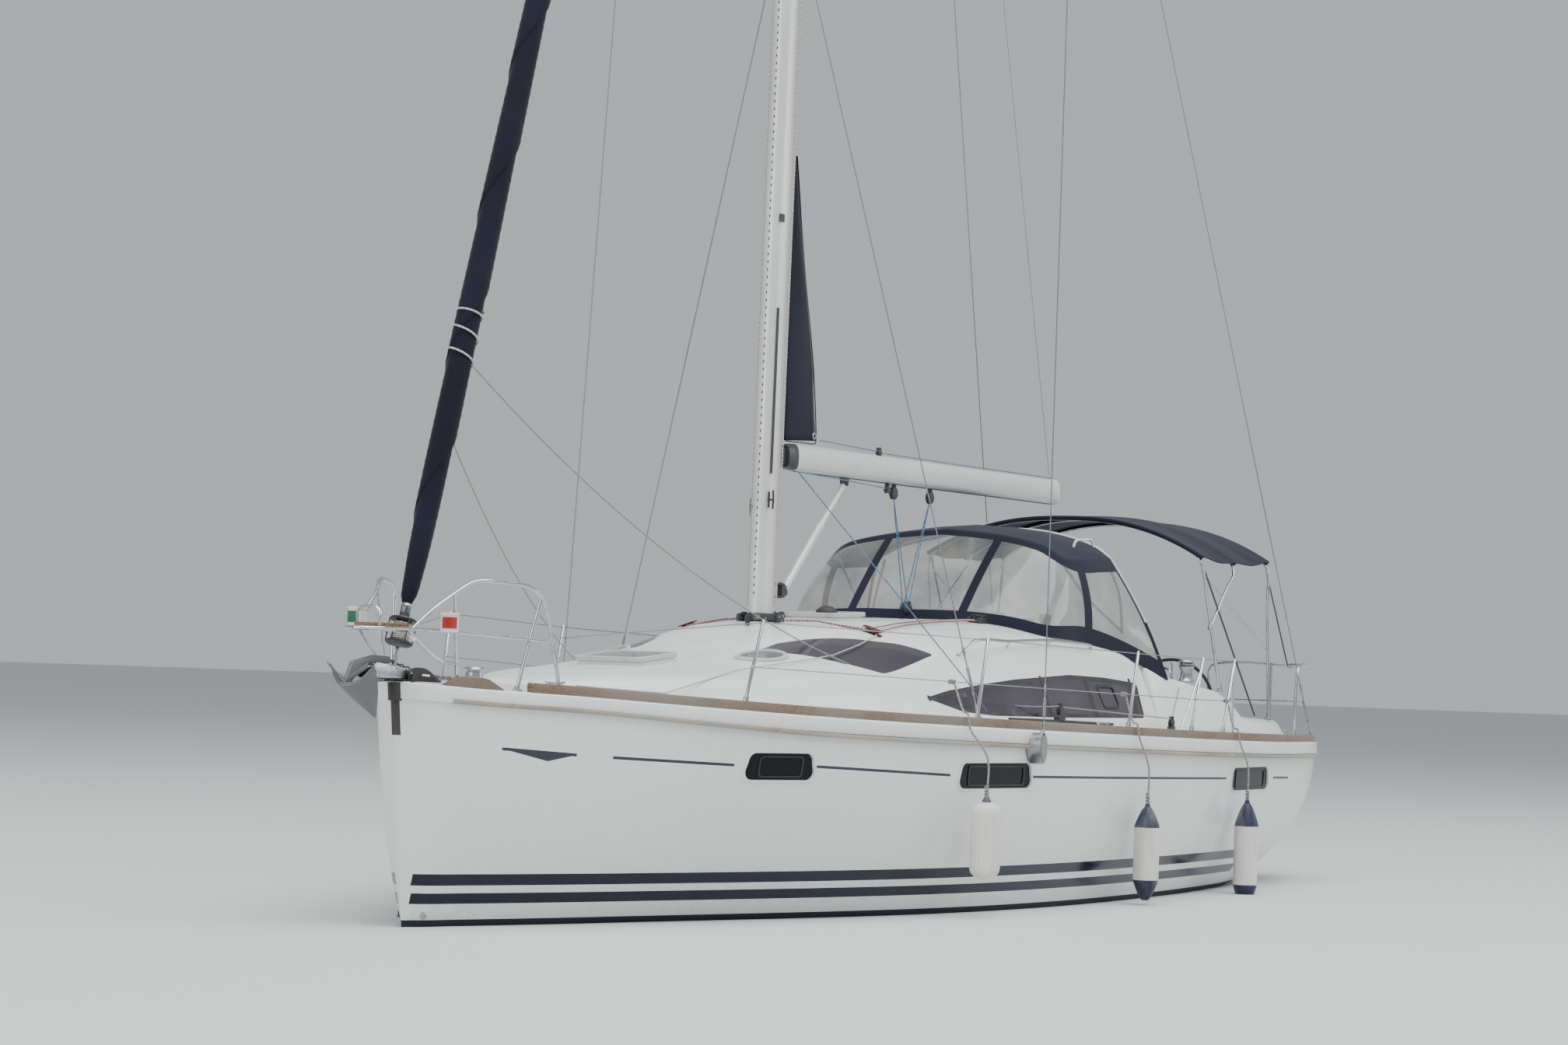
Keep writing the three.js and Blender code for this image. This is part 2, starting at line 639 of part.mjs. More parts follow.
put(
  "sliding_hatch",
  box(
    SLIDING_HATCH.x0,
    SLIDING_HATCH.x1,
    -SLIDING_HATCH.half,
    SLIDING_HATCH.half,
    HATCH_BASE_Z,
    HATCH_BASE_Z + SLIDING_HATCH.thick,
  ),
  TINTED,
);

// Companionway steps down to the saloon floor, over the engine
const STEPS = { count: 4, x0: -2560, depth: 200, half: 280, rise: 300 };
const steps = [];
for (let i = 0; i < STEPS.count; i++) {
  const z = COMPANIONWAY.sill - 100 - STEPS.rise * i;
  steps.push(box(STEPS.x0 + 30, STEPS.x0 + STEPS.depth + 130 * i, -STEPS.half, STEPS.half, z - 30, z));
}
const ENGINE_TOP = SALOON.floor + ENGINE.height + 20;
const stepSolids = steps.filter((_, i) => COMPANIONWAY.sill - 130 - STEPS.rise * i > ENGINE_TOP + 40);
const spine = box(STEPS.x0 + 8, STEPS.x0 + 40, -STEPS.half, STEPS.half, ENGINE_TOP, COMPANIONWAY.sill - 60);
put("companionway_steps", union([...stepSolids, spine]), finish(0x6b4a2f, 0.5));

// Cockpit moulding: coamings, seats, sole and helm seats
// Coaming: x, top z, y of its top and of its foot
const COAMING = [
  { x: BAY.x1 + 20, top: 1860, topHalf: 1360, footHalf: 1517 },
  { x: -3250, top: 1765, topHalf: 1410, footHalf: 1517 },
  { x: -4230, top: 1670, topHalf: 1420, footHalf: 1517 },
  { x: -4510, top: 1600, topHalf: 1420, footHalf: 1517 },
  { x: -4790, top: 1450, topHalf: 1430, footHalf: 1517 },
  { x: -5600, top: 1420, topHalf: 1430, footHalf: 1500 },
  { x: BAY.x0 + GAP, top: 1330, topHalf: 1420, footHalf: 1480 },
];
const coamingRing = ({ x, top, topHalf, footHalf }) => {
  const base = stationAt(x).sheer + 1;
  const port = [
    [x, footHalf, base],
    [x, footHalf - 8, base + 70],
    [x, topHalf, top - 30],
    [x, topHalf - 40, top],
  ];
  return [...port, ...mirrored(port).reverse()];
};
const FRONT_X = BAY.x1 - GAP;
const COCKPIT = {
  frontX: -2950,
  seatsEnd: -4300,
  seatHalf: 1170,
  seatZ: 1150,
  footwell: 500,
  helmHalf: 1250,
  helmEnd: -5350,
  helmSeatZ: 1200,
};
const upper = loft(
  COAMING.map((c, i) => coamingRing(i === 0 ? { ...c, x: FRONT_X } : c)),
);
const lower = box(BAY.x0 + GAP, FRONT_X, -BAY.half + GAP, BAY.half - GAP, BAY.floor + GAP, 1300);
const hullDeckEdge = loft(
  [BAY.x0 - 100, -4600, BAY.x1 + 100].map((x) => {
    const z = stationAt(x).sheer;
    return [
      [x, 2500, z - 400],
      [x, 2500, z + 0.5],
      [x, BAY.half - GAP, z + 0.5],
      [x, BAY.half - GAP, z - 400],
    ];
  }),
);
let cockpit = lower.add(upper).subtract(hullDeckEdge);
const { frontX, seatsEnd, seatHalf, seatZ, footwell, helmHalf, helmEnd, helmSeatZ } = COCKPIT;
cockpit = cockpit
  .subtract(box(TRANSOM_X, frontX, -footwell, footwell, SOLE_Z, helmSeatZ + 40))
  .subtract(box(TRANSOM_X, frontX, -WALKWAY_HALF, WALKWAY_HALF, SOLE_Z, OVER_ALL))
  .subtract(box(seatsEnd, frontX, -seatHalf, seatHalf, seatZ, OVER_ALL))
  .subtract(box(helmEnd, seatsEnd + 1, -helmHalf, helmHalf, SOLE_Z, OVER_ALL))
  .subtract(box(TRANSOM_X, helmEnd + 1, -helmHalf, helmHalf, helmSeatZ, OVER_ALL))
  .subtract(entryCut);
put("cockpit", cockpit, GELCOAT);

// Helm pedestals and wheels
const WHEEL = { x: -4640, y: 800, z: 1530, radius: 400, rim: 14, spokes: 5, hub: 45 };
const PEDESTAL = { x0: -4560, x1: -4400, half: 90, top: 1640 };
for (const [name, side] of Object.entries(SIDES)) {
  const y = side * WHEEL.y;
  const [y0, y1] = [y - PEDESTAL.half, y + PEDESTAL.half];
  const column = box(PEDESTAL.x0, PEDESTAL.x1, y0, y1, SOLE_Z + GAP, PEDESTAL.top);
  const pod = prism(
    [
      [PEDESTAL.x0 - 10, PEDESTAL.top - 60],
      [PEDESTAL.x1 + 30, PEDESTAL.top - 60],
      [PEDESTAL.x1 + 30, PEDESTAL.top + 60],
      [PEDESTAL.x0 + 60, PEDESTAL.top + 90],
    ],
    "y",
    y - 130,
    y + 130,
  );
  put("pedestal_" + name, column.add(pod), GELCOAT);
  const rim = new THREE.TorusGeometry(WHEEL.radius, WHEEL.rim, 6, 24);
  rim.rotateY(Math.PI / 2);
  rim.translate(WHEEL.x, y, WHEEL.z);
  let wheel = solidFrom(rim);
  for (let i = 0; i < WHEEL.spokes; i++) {
    const a = (i / WHEEL.spokes) * Math.PI * 2;
    const tip = [WHEEL.x, y + WHEEL.radius * Math.cos(a), WHEEL.z + WHEEL.radius * Math.sin(a)];
    wheel = wheel.add(rod([WHEEL.x, y, WHEEL.z], tip, 9, 6));
  }
  wheel = wheel.add(rod([WHEEL.x - 30, y, WHEEL.z], [PEDESTAL.x0 - 6, y, WHEEL.z], WHEEL.hub, 12));
  put("wheel_" + name, wheel, STEEL);
}

// Bow: roller, anchor, pulpit and seat

const ROLLER = { x0: 5950, x1: 6500, half: 62, wall: 8, z0: 1592, z1: 1680 };
const rollerBase = box(ROLLER.x0, ROLLER.x1, -ROLLER.half, ROLLER.half, ROLLER.z0, ROLLER.z0 + 10);
const cheek = (side) =>
  prism(
    [
      [ROLLER.x0 + 60, ROLLER.z0],
      [ROLLER.x1, ROLLER.z0],
      [ROLLER.x1 + 40, ROLLER.z0 + 30],
      [ROLLER.x1 - 10, ROLLER.z1 + 20],
      [ROLLER.x0 + 150, ROLLER.z1 - 20],
    ],
    "y",
    side * (ROLLER.half - ROLLER.wall),
    side * ROLLER.half,
  );
const rollerPin = rod([ROLLER.x1 - 20, -ROLLER.half, 1640], [ROLLER.x1 - 20, ROLLER.half, 1640], 16, 10);
const roller = union([rollerBase, cheek(1), cheek(-1), rollerPin])
  .subtract(deckLid.translate([0, 0, GAP]))
  .subtract(hullBody);
put("bow_roller", roller, STEEL);

const SHANK_HALF = 14;
const shank = prism(
  [
    [6262, 1690],
    [6440, 1690],
    [6560, 1660],
    [6640, 1600],
    [6690, 1545],
    [6728, 1590],
    [6668, 1700],
    [6440, 1742],
    [6262, 1735],
  ],
  "y",
  -SHANK_HALF,
  SHANK_HALF,
);
// Plough blade: two wings that meet on a keel line and come to a point below, under the shank
// Rows from the point to the crown: keel point and wing edge
const PLOUGH = [
  { keel: [6380, 0, 1350], edge: [6388, 8, 1362] },
  { keel: [6500, 0, 1425], edge: [6500, 95, 1500] },
  { keel: [6610, 0, 1490], edge: [6585, 145, 1590] },
  { keel: [6725, 0, 1555], edge: [6660, 168, 1680] },
];
const PLOUGH_THICK = 14;
const wing = (side) =>
  loft(
    PLOUGH.map(({ keel, edge }) => {
      const [k, e] = [keel, sided(side, edge)];
      return [
        [k[0], k[1] - side * PLOUGH_THICK, k[2] + PLOUGH_THICK],
        [e[0], e[1], e[2] + PLOUGH_THICK],
        e,
        [k[0], k[1] - side * PLOUGH_THICK, k[2] - PLOUGH_THICK],
      ];
    }),
  );
put("anchor", union([shank, wing(1), wing(-1)]), GALVANISED);

const TUBE = 13; // radius of the rail tubes
const railBase = (x, y) => deckTopZ(deckStationAt(x), Math.abs(y));
const onDeck = (solid) => largest(solid.subtract(deckLidRaised));
const SINK = 12; // how far a foot reaches into the deck before the deck cuts it
const PULPIT_FEET = { fore: [5880, 275], middle: [5510, 495], aft: [5225, 650] };
// The upper rail of one side, from the seat back over the rail to its aft foot on the deck
const PULPIT_RAIL = [
  [6300, 200, 1915],
  [6160, 255, 2040],
  [5990, 305, 2150],
  [5850, 375, 2235],
  [5640, 470, 2235],
  [5460, 550, 2210],
  [5375, 585, 2130],
  [...PULPIT_FEET.aft, railBase(...PULPIT_FEET.aft) - SINK],
];
const PULPIT_MIDDLE = [
  [6660, 0, 1912],
  [6580, 110, 1912],
  [6300, 200, 1915],
  [5960, 325, 1905],
  [5290, 625, 1865],
];
// The low brace of one side, from the middle rail down to the fore leg
const PULPIT_BRACE = [
  [6330, 195, 1905],
  [6180, 215, 1800],
  [6020, 245, 1715],
  [5905, 285, 1700],
];
const PULPIT_LEG_TOPS = { fore: [5985, 307, 2152], middle: [5385, 578, 2145] };
const pulpitHalf = (side) => {
  const at = (points) => points.map((p) => sided(side, p));
  const foot = (at) => [...at, railBase(...at) - SINK];
  return [
    tube(at(PULPIT_RAIL), TUBE, 6, 24),
    tube(at(PULPIT_MIDDLE), TUBE, 6, 10),
    tube(at(PULPIT_BRACE), TUBE - 2, 6, 8),
    rod(sided(side, PULPIT_LEG_TOPS.fore), sided(side, foot(PULPIT_FEET.fore)), TUBE, 6),
    rod(sided(side, PULPIT_LEG_TOPS.middle), sided(side, foot(PULPIT_FEET.middle)), TUBE, 6),
  ];
};
const SEAT = { bar: 6300, x0: 6290, x1: 6590, half: 165, noseHalf: 50, z: 1926, thick: 24 };
const seatBar = rod([SEAT.bar, -195, 1908], [SEAT.bar, 195, 1908], TUBE, 6);
put("pulpit", onDeck(union([...pulpitHalf(1), ...pulpitHalf(-1), seatBar])), STEEL);
put(
  "bow_seat",
  prism(
    [
      [SEAT.x0, -SEAT.half],
      [SEAT.x0, SEAT.half],
      [SEAT.x1 - 50, SEAT.noseHalf + 25],
      [SEAT.x1, SEAT.noseHalf],
      [SEAT.x1, -SEAT.noseHalf],
      [SEAT.x1 - 50, -SEAT.noseHalf - 25],
    ],
    "z",
    SEAT.z,
    SEAT.z + SEAT.thick,
  ),
  TEAK,
);

// Guardrails: stanchions and two wires a side, from the pulpit to the pushpit
// x and y of the foot and of the head, and z of the head
const STANCHIONS = [
  { x: 3810, y: 1235, headX: 3660, headY: 1280, z: 2060 },
  { x: 1410, y: 1830, headX: 1260, headY: 1830, z: 2010 },
  { x: -1030, y: 1965, headX: -1190, headY: 1965, z: 1960 },
  { x: -2340, y: 1950, headX: -2560, headY: 1950, z: 1935 },
  { x: -3120, y: 1905, headX: -3360, headY: 1905, z: 1935 },
];
const WIRE = 4;
const RAIL_ENDS = { fore: [5285, 645, 1890], aft: [-5430, 1640, 1900] };
const MID_WIRE = 0.47;
for (const [name, side] of Object.entries(SIDES)) {
  const feet = STANCHIONS.map((s) => [s.x, side * s.y, railBase(s.x, s.y) - SINK]);
  const heads = STANCHIONS.map((s) => [s.headX, side * s.headY, s.z]);
  const solids = feet.map((foot, i) => rod(foot, heads[i], TUBE, 6));
  for (const [i, foot] of feet.entries()) {
    solids.push(rod(foot, [foot[0] - 20, foot[1], foot[2] + 75], TUBE + 6, 6));
    if (!i) continue;
    solids.push(rod(heads[i - 1], heads[i], WIRE, 4));
    const low = (k) => v3(feet[k]).lerp(v3(heads[k]), MID_WIRE).toArray();
    solids.push(rod(low(i - 1), low(i), WIRE, 4));
  }
  const fore = sided(side, RAIL_ENDS.fore);
  const aft = sided(side, RAIL_ENDS.aft);
  solids.push(rod(heads[0], v3(heads[0]).lerp(v3(fore), 0.985).toArray(), WIRE, 4));
  solids.push(rod(heads[heads.length - 1], aft, WIRE, 4));
  put("guardrail_" + name, onDeck(union(solids)), STEEL);
}

// Pushpits: a tube hoop on each quarter
for (const [name, side] of Object.entries(SIDES)) {
  const at = (points) => points.map((p) => sided(side, p));
  const hoop = tube(
    at([
      [-5450, 1655, railBase(-5450, 1655) - SINK],
      [-5450, 1655, 1700],
      [-5500, 1650, 1890],
      [-5640, 1630, 1925],
      [-5980, 1540, 1925],
      [-6110, 1420, 1925],
      [-6120, 1150, 1925],
      [-6120, 700, 1925],
      [-6120, 560, 1880],
      [-6120, 540, 1700],
      [-6120, 540, railBase(-6120, 540) - SINK],
    ]),
    TUBE,
    6,
    30,
  );
  const corner = rod(
    sided(side, [-6120, 1150, 1925]),
    sided(side, [-6120, 1150, railBase(-6120, 1150) - SINK]),
    TUBE,
    6,
  );
  const middle = tube(
    at([
      [-5450, 1655, 1590],
      [-5900, 1530, 1590],
      [-6060, 1370, 1590],
      [-6120, 1000, 1590],
      [-6120, 540, 1590],
    ]),
    TUBE - 3,
    6,
    12,
  );
  put("pushpit_" + name, onDeck(union([hoop, corner, middle])), STEEL);
}

// Rig

const RAKE = 0.018; // aft lean of the mast for each millimetre of height
const MAST = { foot: 2072, head: 18200, x: 1400, long: 250, wide: 150 };
const mastX = (z) => MAST.x - RAKE * (z - MAST.foot);
function mastRing(z) {
  const ring = [];
  for (let i = 0; i < 12; i++) {
    const a = (i / 12) * Math.PI * 2;
    const [c, s] = [Math.cos(a), Math.sin(a)];
    const round = (t) => Math.sign(t) * Math.abs(t) ** 0.8;
    ring.push([mastX(z) + (MAST.long * round(c)) / 2, (MAST.wide * round(s)) / 2, z]);
  }
  return ring;
}
const MAST_BASE_Z = roofMiddle(MAST.x) + GAP + 4;
const mastStep = box(MAST.x - 190, MAST.x + 190, -130, 130, MAST_BASE_Z - 30, MAST_BASE_Z + 26).subtract(
  roofOuter.translate([0, 0, GAP]),
);
const spar = loft([mastRing(MAST_BASE_Z + 10), mastRing(9000), mastRing(MAST.head)]);
// Spreaders: z of the root, length out and sweep aft of each pair
const SPREADERS = [
  { z: 7500, out: 1960, sweep: 750 },
  { z: 12900, out: 1500, sweep: 570 },
];
const spreaderTip = (s, side) => [mastX(s.z) - s.sweep, side * s.out, s.z + 90];
const spreaderSolids = [];
for (const side of Object.values(SIDES)) {
  for (const s of SPREADERS) {
    const tip = spreaderTip(s, side);
    const [sx, sy, sz] = [mastX(s.z), side * 30, s.z];
    const section = (x, y, z, w, h) => [
      [x - w, y, z],
      [x, y, z + h],
      [x + w, y, z],
      [x, y, z - h],
    ];
    spreaderSolids.push(loft([section(sx, sy, sz, 60, 22), section(tip[0], tip[1], tip[2], 30, 12)]));
  }
}
const crane = prism(
  [
    [mastX(MAST.head) - 330, MAST.head - 80],
    [mastX(MAST.head) + 150, MAST.head - 80],
    [mastX(MAST.head) + 150, MAST.head - 10],
    [mastX(MAST.head) - 330, MAST.head - 10],
  ],
  "y",
  -40,
  40,
);
const vaneFoot = [mastX(MAST.head), 0, MAST.head - 20];
const vane = rod(vaneFoot, [vaneFoot[0] + 60, 0, MAST.head + 400], 5, 6);
const HOUNDS_Z = 17600;
const FORESTAY = { foot: [6215, 0, 1640], head: [1250, 0, HOUNDS_Z] };
const stayAt = (z) => {
  const t = (z - FORESTAY.foot[2]) / (FORESTAY.head[2] - FORESTAY.foot[2]);
  return v3(FORESTAY.foot).lerp(v3(FORESTAY.head), t).toArray();
};
const STAY_WIRE = 6;
const stayHead = rod(stayAt(HOUNDS_Z - 380), [mastX(HOUNDS_Z) + 60, 0, HOUNDS_Z + 30], STAY_WIRE, 6);
const mast = union([mastStep, spar, ...spreaderSolids, crane, vane, stayHead]);
put("mast", mast, SPAR);

// Shrouds and backstays
const CHAINPLATE = { x: 830, y: 2080, z: 1300 };
const LOWER_FOOT = [900, 1600];
const BACKSTAY_FOOT = [-6120, 1560];
for (const [name, side] of Object.entries(SIDES)) {
  const tips = SPREADERS.map((s) => spreaderTip(s, side));
  const clear = tips.map(([x, y, z]) => [x - 8, y + side * 16, z]);
  const foot = [CHAINPLATE.x, side * (CHAINPLATE.y + 22), CHAINPLATE.z];
  const head = [mastX(HOUNDS_Z), side * (MAST.wide / 2 + STAY_WIRE + 4), HOUNDS_Z];
  const plate = box(
    CHAINPLATE.x - 22,
    CHAINPLATE.x + 22,
    Math.min(side * CHAINPLATE.y, side * (CHAINPLATE.y + 30)),
    Math.max(side * CHAINPLATE.y, side * (CHAINPLATE.y + 30)),
    CHAINPLATE.z - 150,
    CHAINPLATE.z + 60,
  );
  const cap = union([
    plate,
    rod(foot, clear[0], STAY_WIRE, 6),
    rod(clear[0], clear[1], STAY_WIRE, 6),
    rod(clear[1], head, STAY_WIRE, 6),
    rod(foot, v3(foot).lerp(v3(clear[0]), 0.05).toArray(), 13, 8),
  ]);
  put("cap_shroud_" + name, cap, STEEL);
  const lowerFoot = [LOWER_FOOT[0], side * LOWER_FOOT[1], railBase(...LOWER_FOOT) - SINK];
  const lowerHead = [mastX(7350), side * (MAST.wide / 2 + STAY_WIRE + 4), 7350];
  const low = union([
    rod(lowerFoot, lowerHead, STAY_WIRE, 6),
    rod(lowerFoot, v3(lowerFoot).lerp(v3(lowerHead), 0.05).toArray(), 13, 8),
  ]);
  put("lower_shroud_" + name, onDeck(low), STEEL);
  const backFoot = [BACKSTAY_FOOT[0], side * BACKSTAY_FOOT[1], railBase(...BACKSTAY_FOOT) - SINK];
  const backHead = [mastX(MAST.head) - 290, side * (40 + STAY_WIRE + 2), MAST.head - 50];
  const back = union([
    rod(backFoot, backHead, STAY_WIRE, 6),
    rod(backFoot, v3(backFoot).lerp(v3(backHead), 0.03).toArray(), 13, 8),
  ]);
  put("backstay_" + name, onDeck(back), STEEL);
}

// Furled genoa on its forestay: the toggle stays, and the drum and roll turn
const stayDirection = v3(FORESTAY.head).sub(v3(FORESTAY.foot)).normalize();
const toggle = rod([6222, 0, 1615], stayAt(1795), 16, 8)
  .subtract(deckLid.translate([0, 0, GAP]))
  .subtract(rollerBase.translate([0, 0, GAP]));
put("forestay_toggle", toggle, STEEL);
// The roll's radius at each height
const ROLL = [
  { z: 2060, radius: 26 },
  { z: 2200, radius: 62 },
  { z: 3300, radius: 84 },
  { z: 6500, radius: 76 },
  { z: 11500, radius: 60 },
  { z: 16500, radius: 36 },
  { z: 17150, radius: 22 },
];
const aside = new THREE.Vector3(0, 1, 0);
const across = stayDirection.clone().cross(aside).normalize();
function stayRing(z, radius, sides = 12) {
  const centre = v3(stayAt(z));
  const ring = [];
  for (let i = 0; i < sides; i++) {
    const a = (i / sides) * Math.PI * 2;
    const p = centre
      .clone()
      .addScaledVector(aside, radius * Math.cos(a))
      .addScaledVector(across, radius * Math.sin(a));
    ring.push(p.toArray());
  }
  return ring;
}
const rings = (rows) => loft(rows.map(([z, radius]) => stayRing(z, radius)));
const drum = union([
  rings([
    [1815, 92],
    [1835, 92],
  ]),
  rings([
    [1820, 52],
    [1990, 52],
  ]),
  rings([
    [1960, 92],
    [1980, 92],
  ]),
  rings([
    [1970, 30],
    [2070, 30],
  ]),
]);
const genoa = loft(ROLL.map(({ z, radius }) => stayRing(z, radius)));
put("furled_genoa", drum.add(genoa), SAILCLOTH);

// Boom, vang and the tab of the furled mainsail
const GOOSENECK = { x: 1180, z: 3350 };
const BOOM = { x0: -3830, x1: 1130, height: 210, wide: 130 };
const boomRing = (x) => {
  const [h, w] = [BOOM.height / 2, BOOM.wide / 2];
  return [
    [x, w, GOOSENECK.z - h * 0.6],
    [x, w, GOOSENECK.z + h * 0.6],
    [x, w * 0.6, GOOSENECK.z + h],
    [x, -w * 0.6, GOOSENECK.z + h],
    [x, -w, GOOSENECK.z + h * 0.6],
    [x, -w, GOOSENECK.z - h * 0.6],
    [x, -w * 0.6, GOOSENECK.z - h],
    [x, w * 0.6, GOOSENECK.z - h],
  ];
};
const gooseneck = rod([GOOSENECK.x, 0, GOOSENECK.z - 70], [GOOSENECK.x, 0, GOOSENECK.z + 70], 24, 10);
const knuckle = box(BOOM.x1 - 20, GOOSENECK.x, -26, 26, GOOSENECK.z - 45, GOOSENECK.z + 45);
const BOOM_BLOCKS = [-720, -1370];
const vangLug = box(100, 160, -20, 20, GOOSENECK.z - 124, GOOSENECK.z - 90);
const blocks = BOOM_BLOCKS.map((x) => box(x - 45, x + 45, -28, 28, GOOSENECK.z - 260, GOOSENECK.z - 95));
const boomSpar = loft([boomRing(BOOM.x0), boomRing(BOOM.x1)]);
put("boom", union([boomSpar, gooseneck, knuckle, vangLug, ...blocks]), SPAR);

const VANG = { foot: [1060, 0, 2330], head: [130, 0, 3200] };
put("vang", rod(VANG.foot, VANG.head, 30, 12), SPAR);

const TAB = [
  [1135, 3462],
  [1105, 5650],
  [1075, 5650],
  [620, 3560],
  [600, 3480],
];
put("mainsail_tab", prism(TAB, "y", -9, 9), SAILCLOTH);

// Dodger over the companionway: pairs of points on its fore and aft edges, from the crown down to the foot
const DODGER = [
  { fore: [-1700, 0, 2930], aft: [-2780, 0, 2985] },
  { fore: [-1690, 500, 2885], aft: [-2740, 600, 2925] },
  { fore: [-1650, 900, 2800], aft: [-2660, 900, 2840] },
  { fore: [-1680, 1060, 2700], aft: [-2600, 1080, 2740] },
  { fore: [-1460, 1090, 2450], aft: [-2690, 1180, 2560] },
  { fore: [-1220, 1135, 2150], aft: [-2920, 1340, 2100] },
  { fore: [-1150, 1145, 1900], aft: [-3100, 1410, 1750] },
];
// Foot of its sloping front, on the roof
const DODGER_FRONT = [
  [-930, 0, 2120],
  [-950, 500, 2100],
  [-1000, 900, 2030],
  [-1060, 1050, 1950],
];
const DODGER_WALL = 16;
const DODGER_CENTRE = new THREE.Vector3(-2600, 0, 1900);
const DODGER_OPEN = 1.2; // how far the inside reaches past the aft edge, as a share of the length
const hollowed = (p, wall) => {
  const out = v3(p).sub(DODGER_CENTRE);
  return out.multiplyScalar(1 - wall / out.length()).add(DODGER_CENTRE);
};
function dodgerHull(wall, reach) {
  const points = DODGER_FRONT.map((p) => hollowed(p, wall));
  for (const { fore, aft } of DODGER) {
    const [a, b] = [hollowed(fore, wall), hollowed(aft, wall)];
    points.push(a, a.clone().lerp(b, reach));
  }
  const both = points.flatMap((p) => [p, new THREE.Vector3(p.x, -p.y, p.z)]);
  return solidFrom(new ConvexGeometry(both));
}
const REST_GAP = 5; // between the canvas and what it rests on
const below = roof.add(roofOuter).add(cockpit).translate([0, 0, REST_GAP]);
const DODGER_FOOT_Z = 1700;
const ROOF_END = ROOF[ROOF.length - 1].x;
const overCockpit = box(-3500, ROOF_END + 5, -1250, 1250, 0, 1900); // the dodger has no floor here
const dodger = dodgerHull(0, 1)
  .subtract(dodgerHull(DODGER_WALL, DODGER_OPEN))
  .subtract(below)
  .subtract(overCockpit)
  .subtract(box(-3500, -500, -2000, 2000, 0, DODGER_FOOT_Z));
put("dodger", largest(dodger), NAVY_CANVAS);

// Bimini over the helms: a cambered sheet on three bows
const BIMINI = { x0: -5540, x1: -4000, half: 1330, thick: 14 };
// Sheet: x, z of the middle and z of the edge
const BIMINI_ROWS = [
  { x: BIMINI.x1, middle: 3160, edge: 2825 },
  { x: -4350, middle: 3185, edge: 2805 },
  { x: -4760, middle: 3195, edge: 2800 },
  { x: -5160, middle: 3195, edge: 2810 },
  { x: BIMINI.x0, middle: 3180, edge: 2840 },
];
const biminiZ = (row, y) => row.middle - (row.middle - row.edge) * (Math.abs(y) / BIMINI.half) ** 2.4;
const biminiRing = (row) => {
  const ys = [1, 0.85, 0.65, 0.35, 0, -0.35, -0.65, -0.85, -1].map((k) => k * BIMINI.half);
  const top = ys.map((y) => [row.x, y, biminiZ(row, y)]);
  return [...top, ...top.slice().reverse().map(([x, y, z]) => [x, y * 0.99, z - BIMINI.thick])];
};
put("bimini", loft(BIMINI_ROWS.map(biminiRing)), NAVY_CANVAS);

function bow(row, x, half) {
  return [1, 0.85, 0.65, 0.35, 0, -0.35, -0.65, -0.85, -1].map((k) => {
    const y = k * half;
    return [x, y, biminiZ(row, y) - BIMINI.thick - TUBE - 18];
  });
}
const coamingTopZ = (x) => {
  const i = COAMING.findIndex((c) => c.x <= x);
  const [a, b] = [COAMING[i - 1], COAMING[i]];
  return b.top + ((a.top - b.top) * (x - b.x)) / (a.x - b.x);
};
const FRAME = { foreFoot: -4290, aftFoot: -5450, footY: 1400, half: 1270 };
const foreBow = bow(BIMINI_ROWS[0], BIMINI.x1 - 20, FRAME.half);
const aftBow = bow(BIMINI_ROWS[4], BIMINI.x0 + 20, FRAME.half);
const midBow = bow(BIMINI_ROWS[2], -4760, FRAME.half);
const biminiParts = [foreBow, midBow, aftBow].map((points) => tube(points, TUBE, 6, 12));
for (const side of Object.values(SIDES)) {
  const foreFoot = [FRAME.foreFoot, side * FRAME.footY, coamingTopZ(FRAME.foreFoot) + 6];
  const aftFoot = [FRAME.aftFoot, side * FRAME.footY, coamingTopZ(FRAME.aftFoot) + 6];
  const end = side > 0 ? 0 : 8;
  const along = (a, b, t) => v3(a).lerp(v3(b), t).toArray();
  biminiParts.push(rod(foreFoot, foreBow[end], TUBE, 6));
  biminiParts.push(rod(aftFoot, aftBow[end], TUBE, 6));
  biminiParts.push(rod(midBow[end], along(foreFoot, foreBow[end], 0.5), TUBE - 2, 6));
  biminiParts.push(rod(along(aftFoot, aftBow[end], 0.45), along(foreFoot, foreBow[end], 0.97), TUBE - 4, 6));
}
put("bimini_frame", union(biminiParts), STEEL);

// Handrails along the roof's shoulders: x and z of the rail over each of its feet, from its fore end
const HANDRAIL = {
  y: 1300,
  radius: 12,
  footZ: 1850,
  feet: [
    [450, 1985],
    [-250, 2010],
    [-1000, 2030],
    [-1750, 2010],
  ],
};
for (const [name, side] of Object.entries(SIDES)) {
  const y = side * HANDRAIL.y;
  const rail = HANDRAIL.feet.map(([x, z]) => [x, y, z]);
  const [first, last] = [rail[0], rail[rail.length - 1]];
  const path = [[first[0] + 130, y, HANDRAIL.footZ], ...rail, [last[0] - 130, y, HANDRAIL.footZ]];
  const posts = rail.slice(1, -1).map((p) => rod([p[0], y, HANDRAIL.footZ], p, HANDRAIL.radius, 6));
  const whole = union([tube(path, HANDRAIL.radius, 6, 20), ...posts]);
  put("handrail_" + name, largest(whole.subtract(roofOuter.translate([0, 0, GAP]))), STEEL);
}

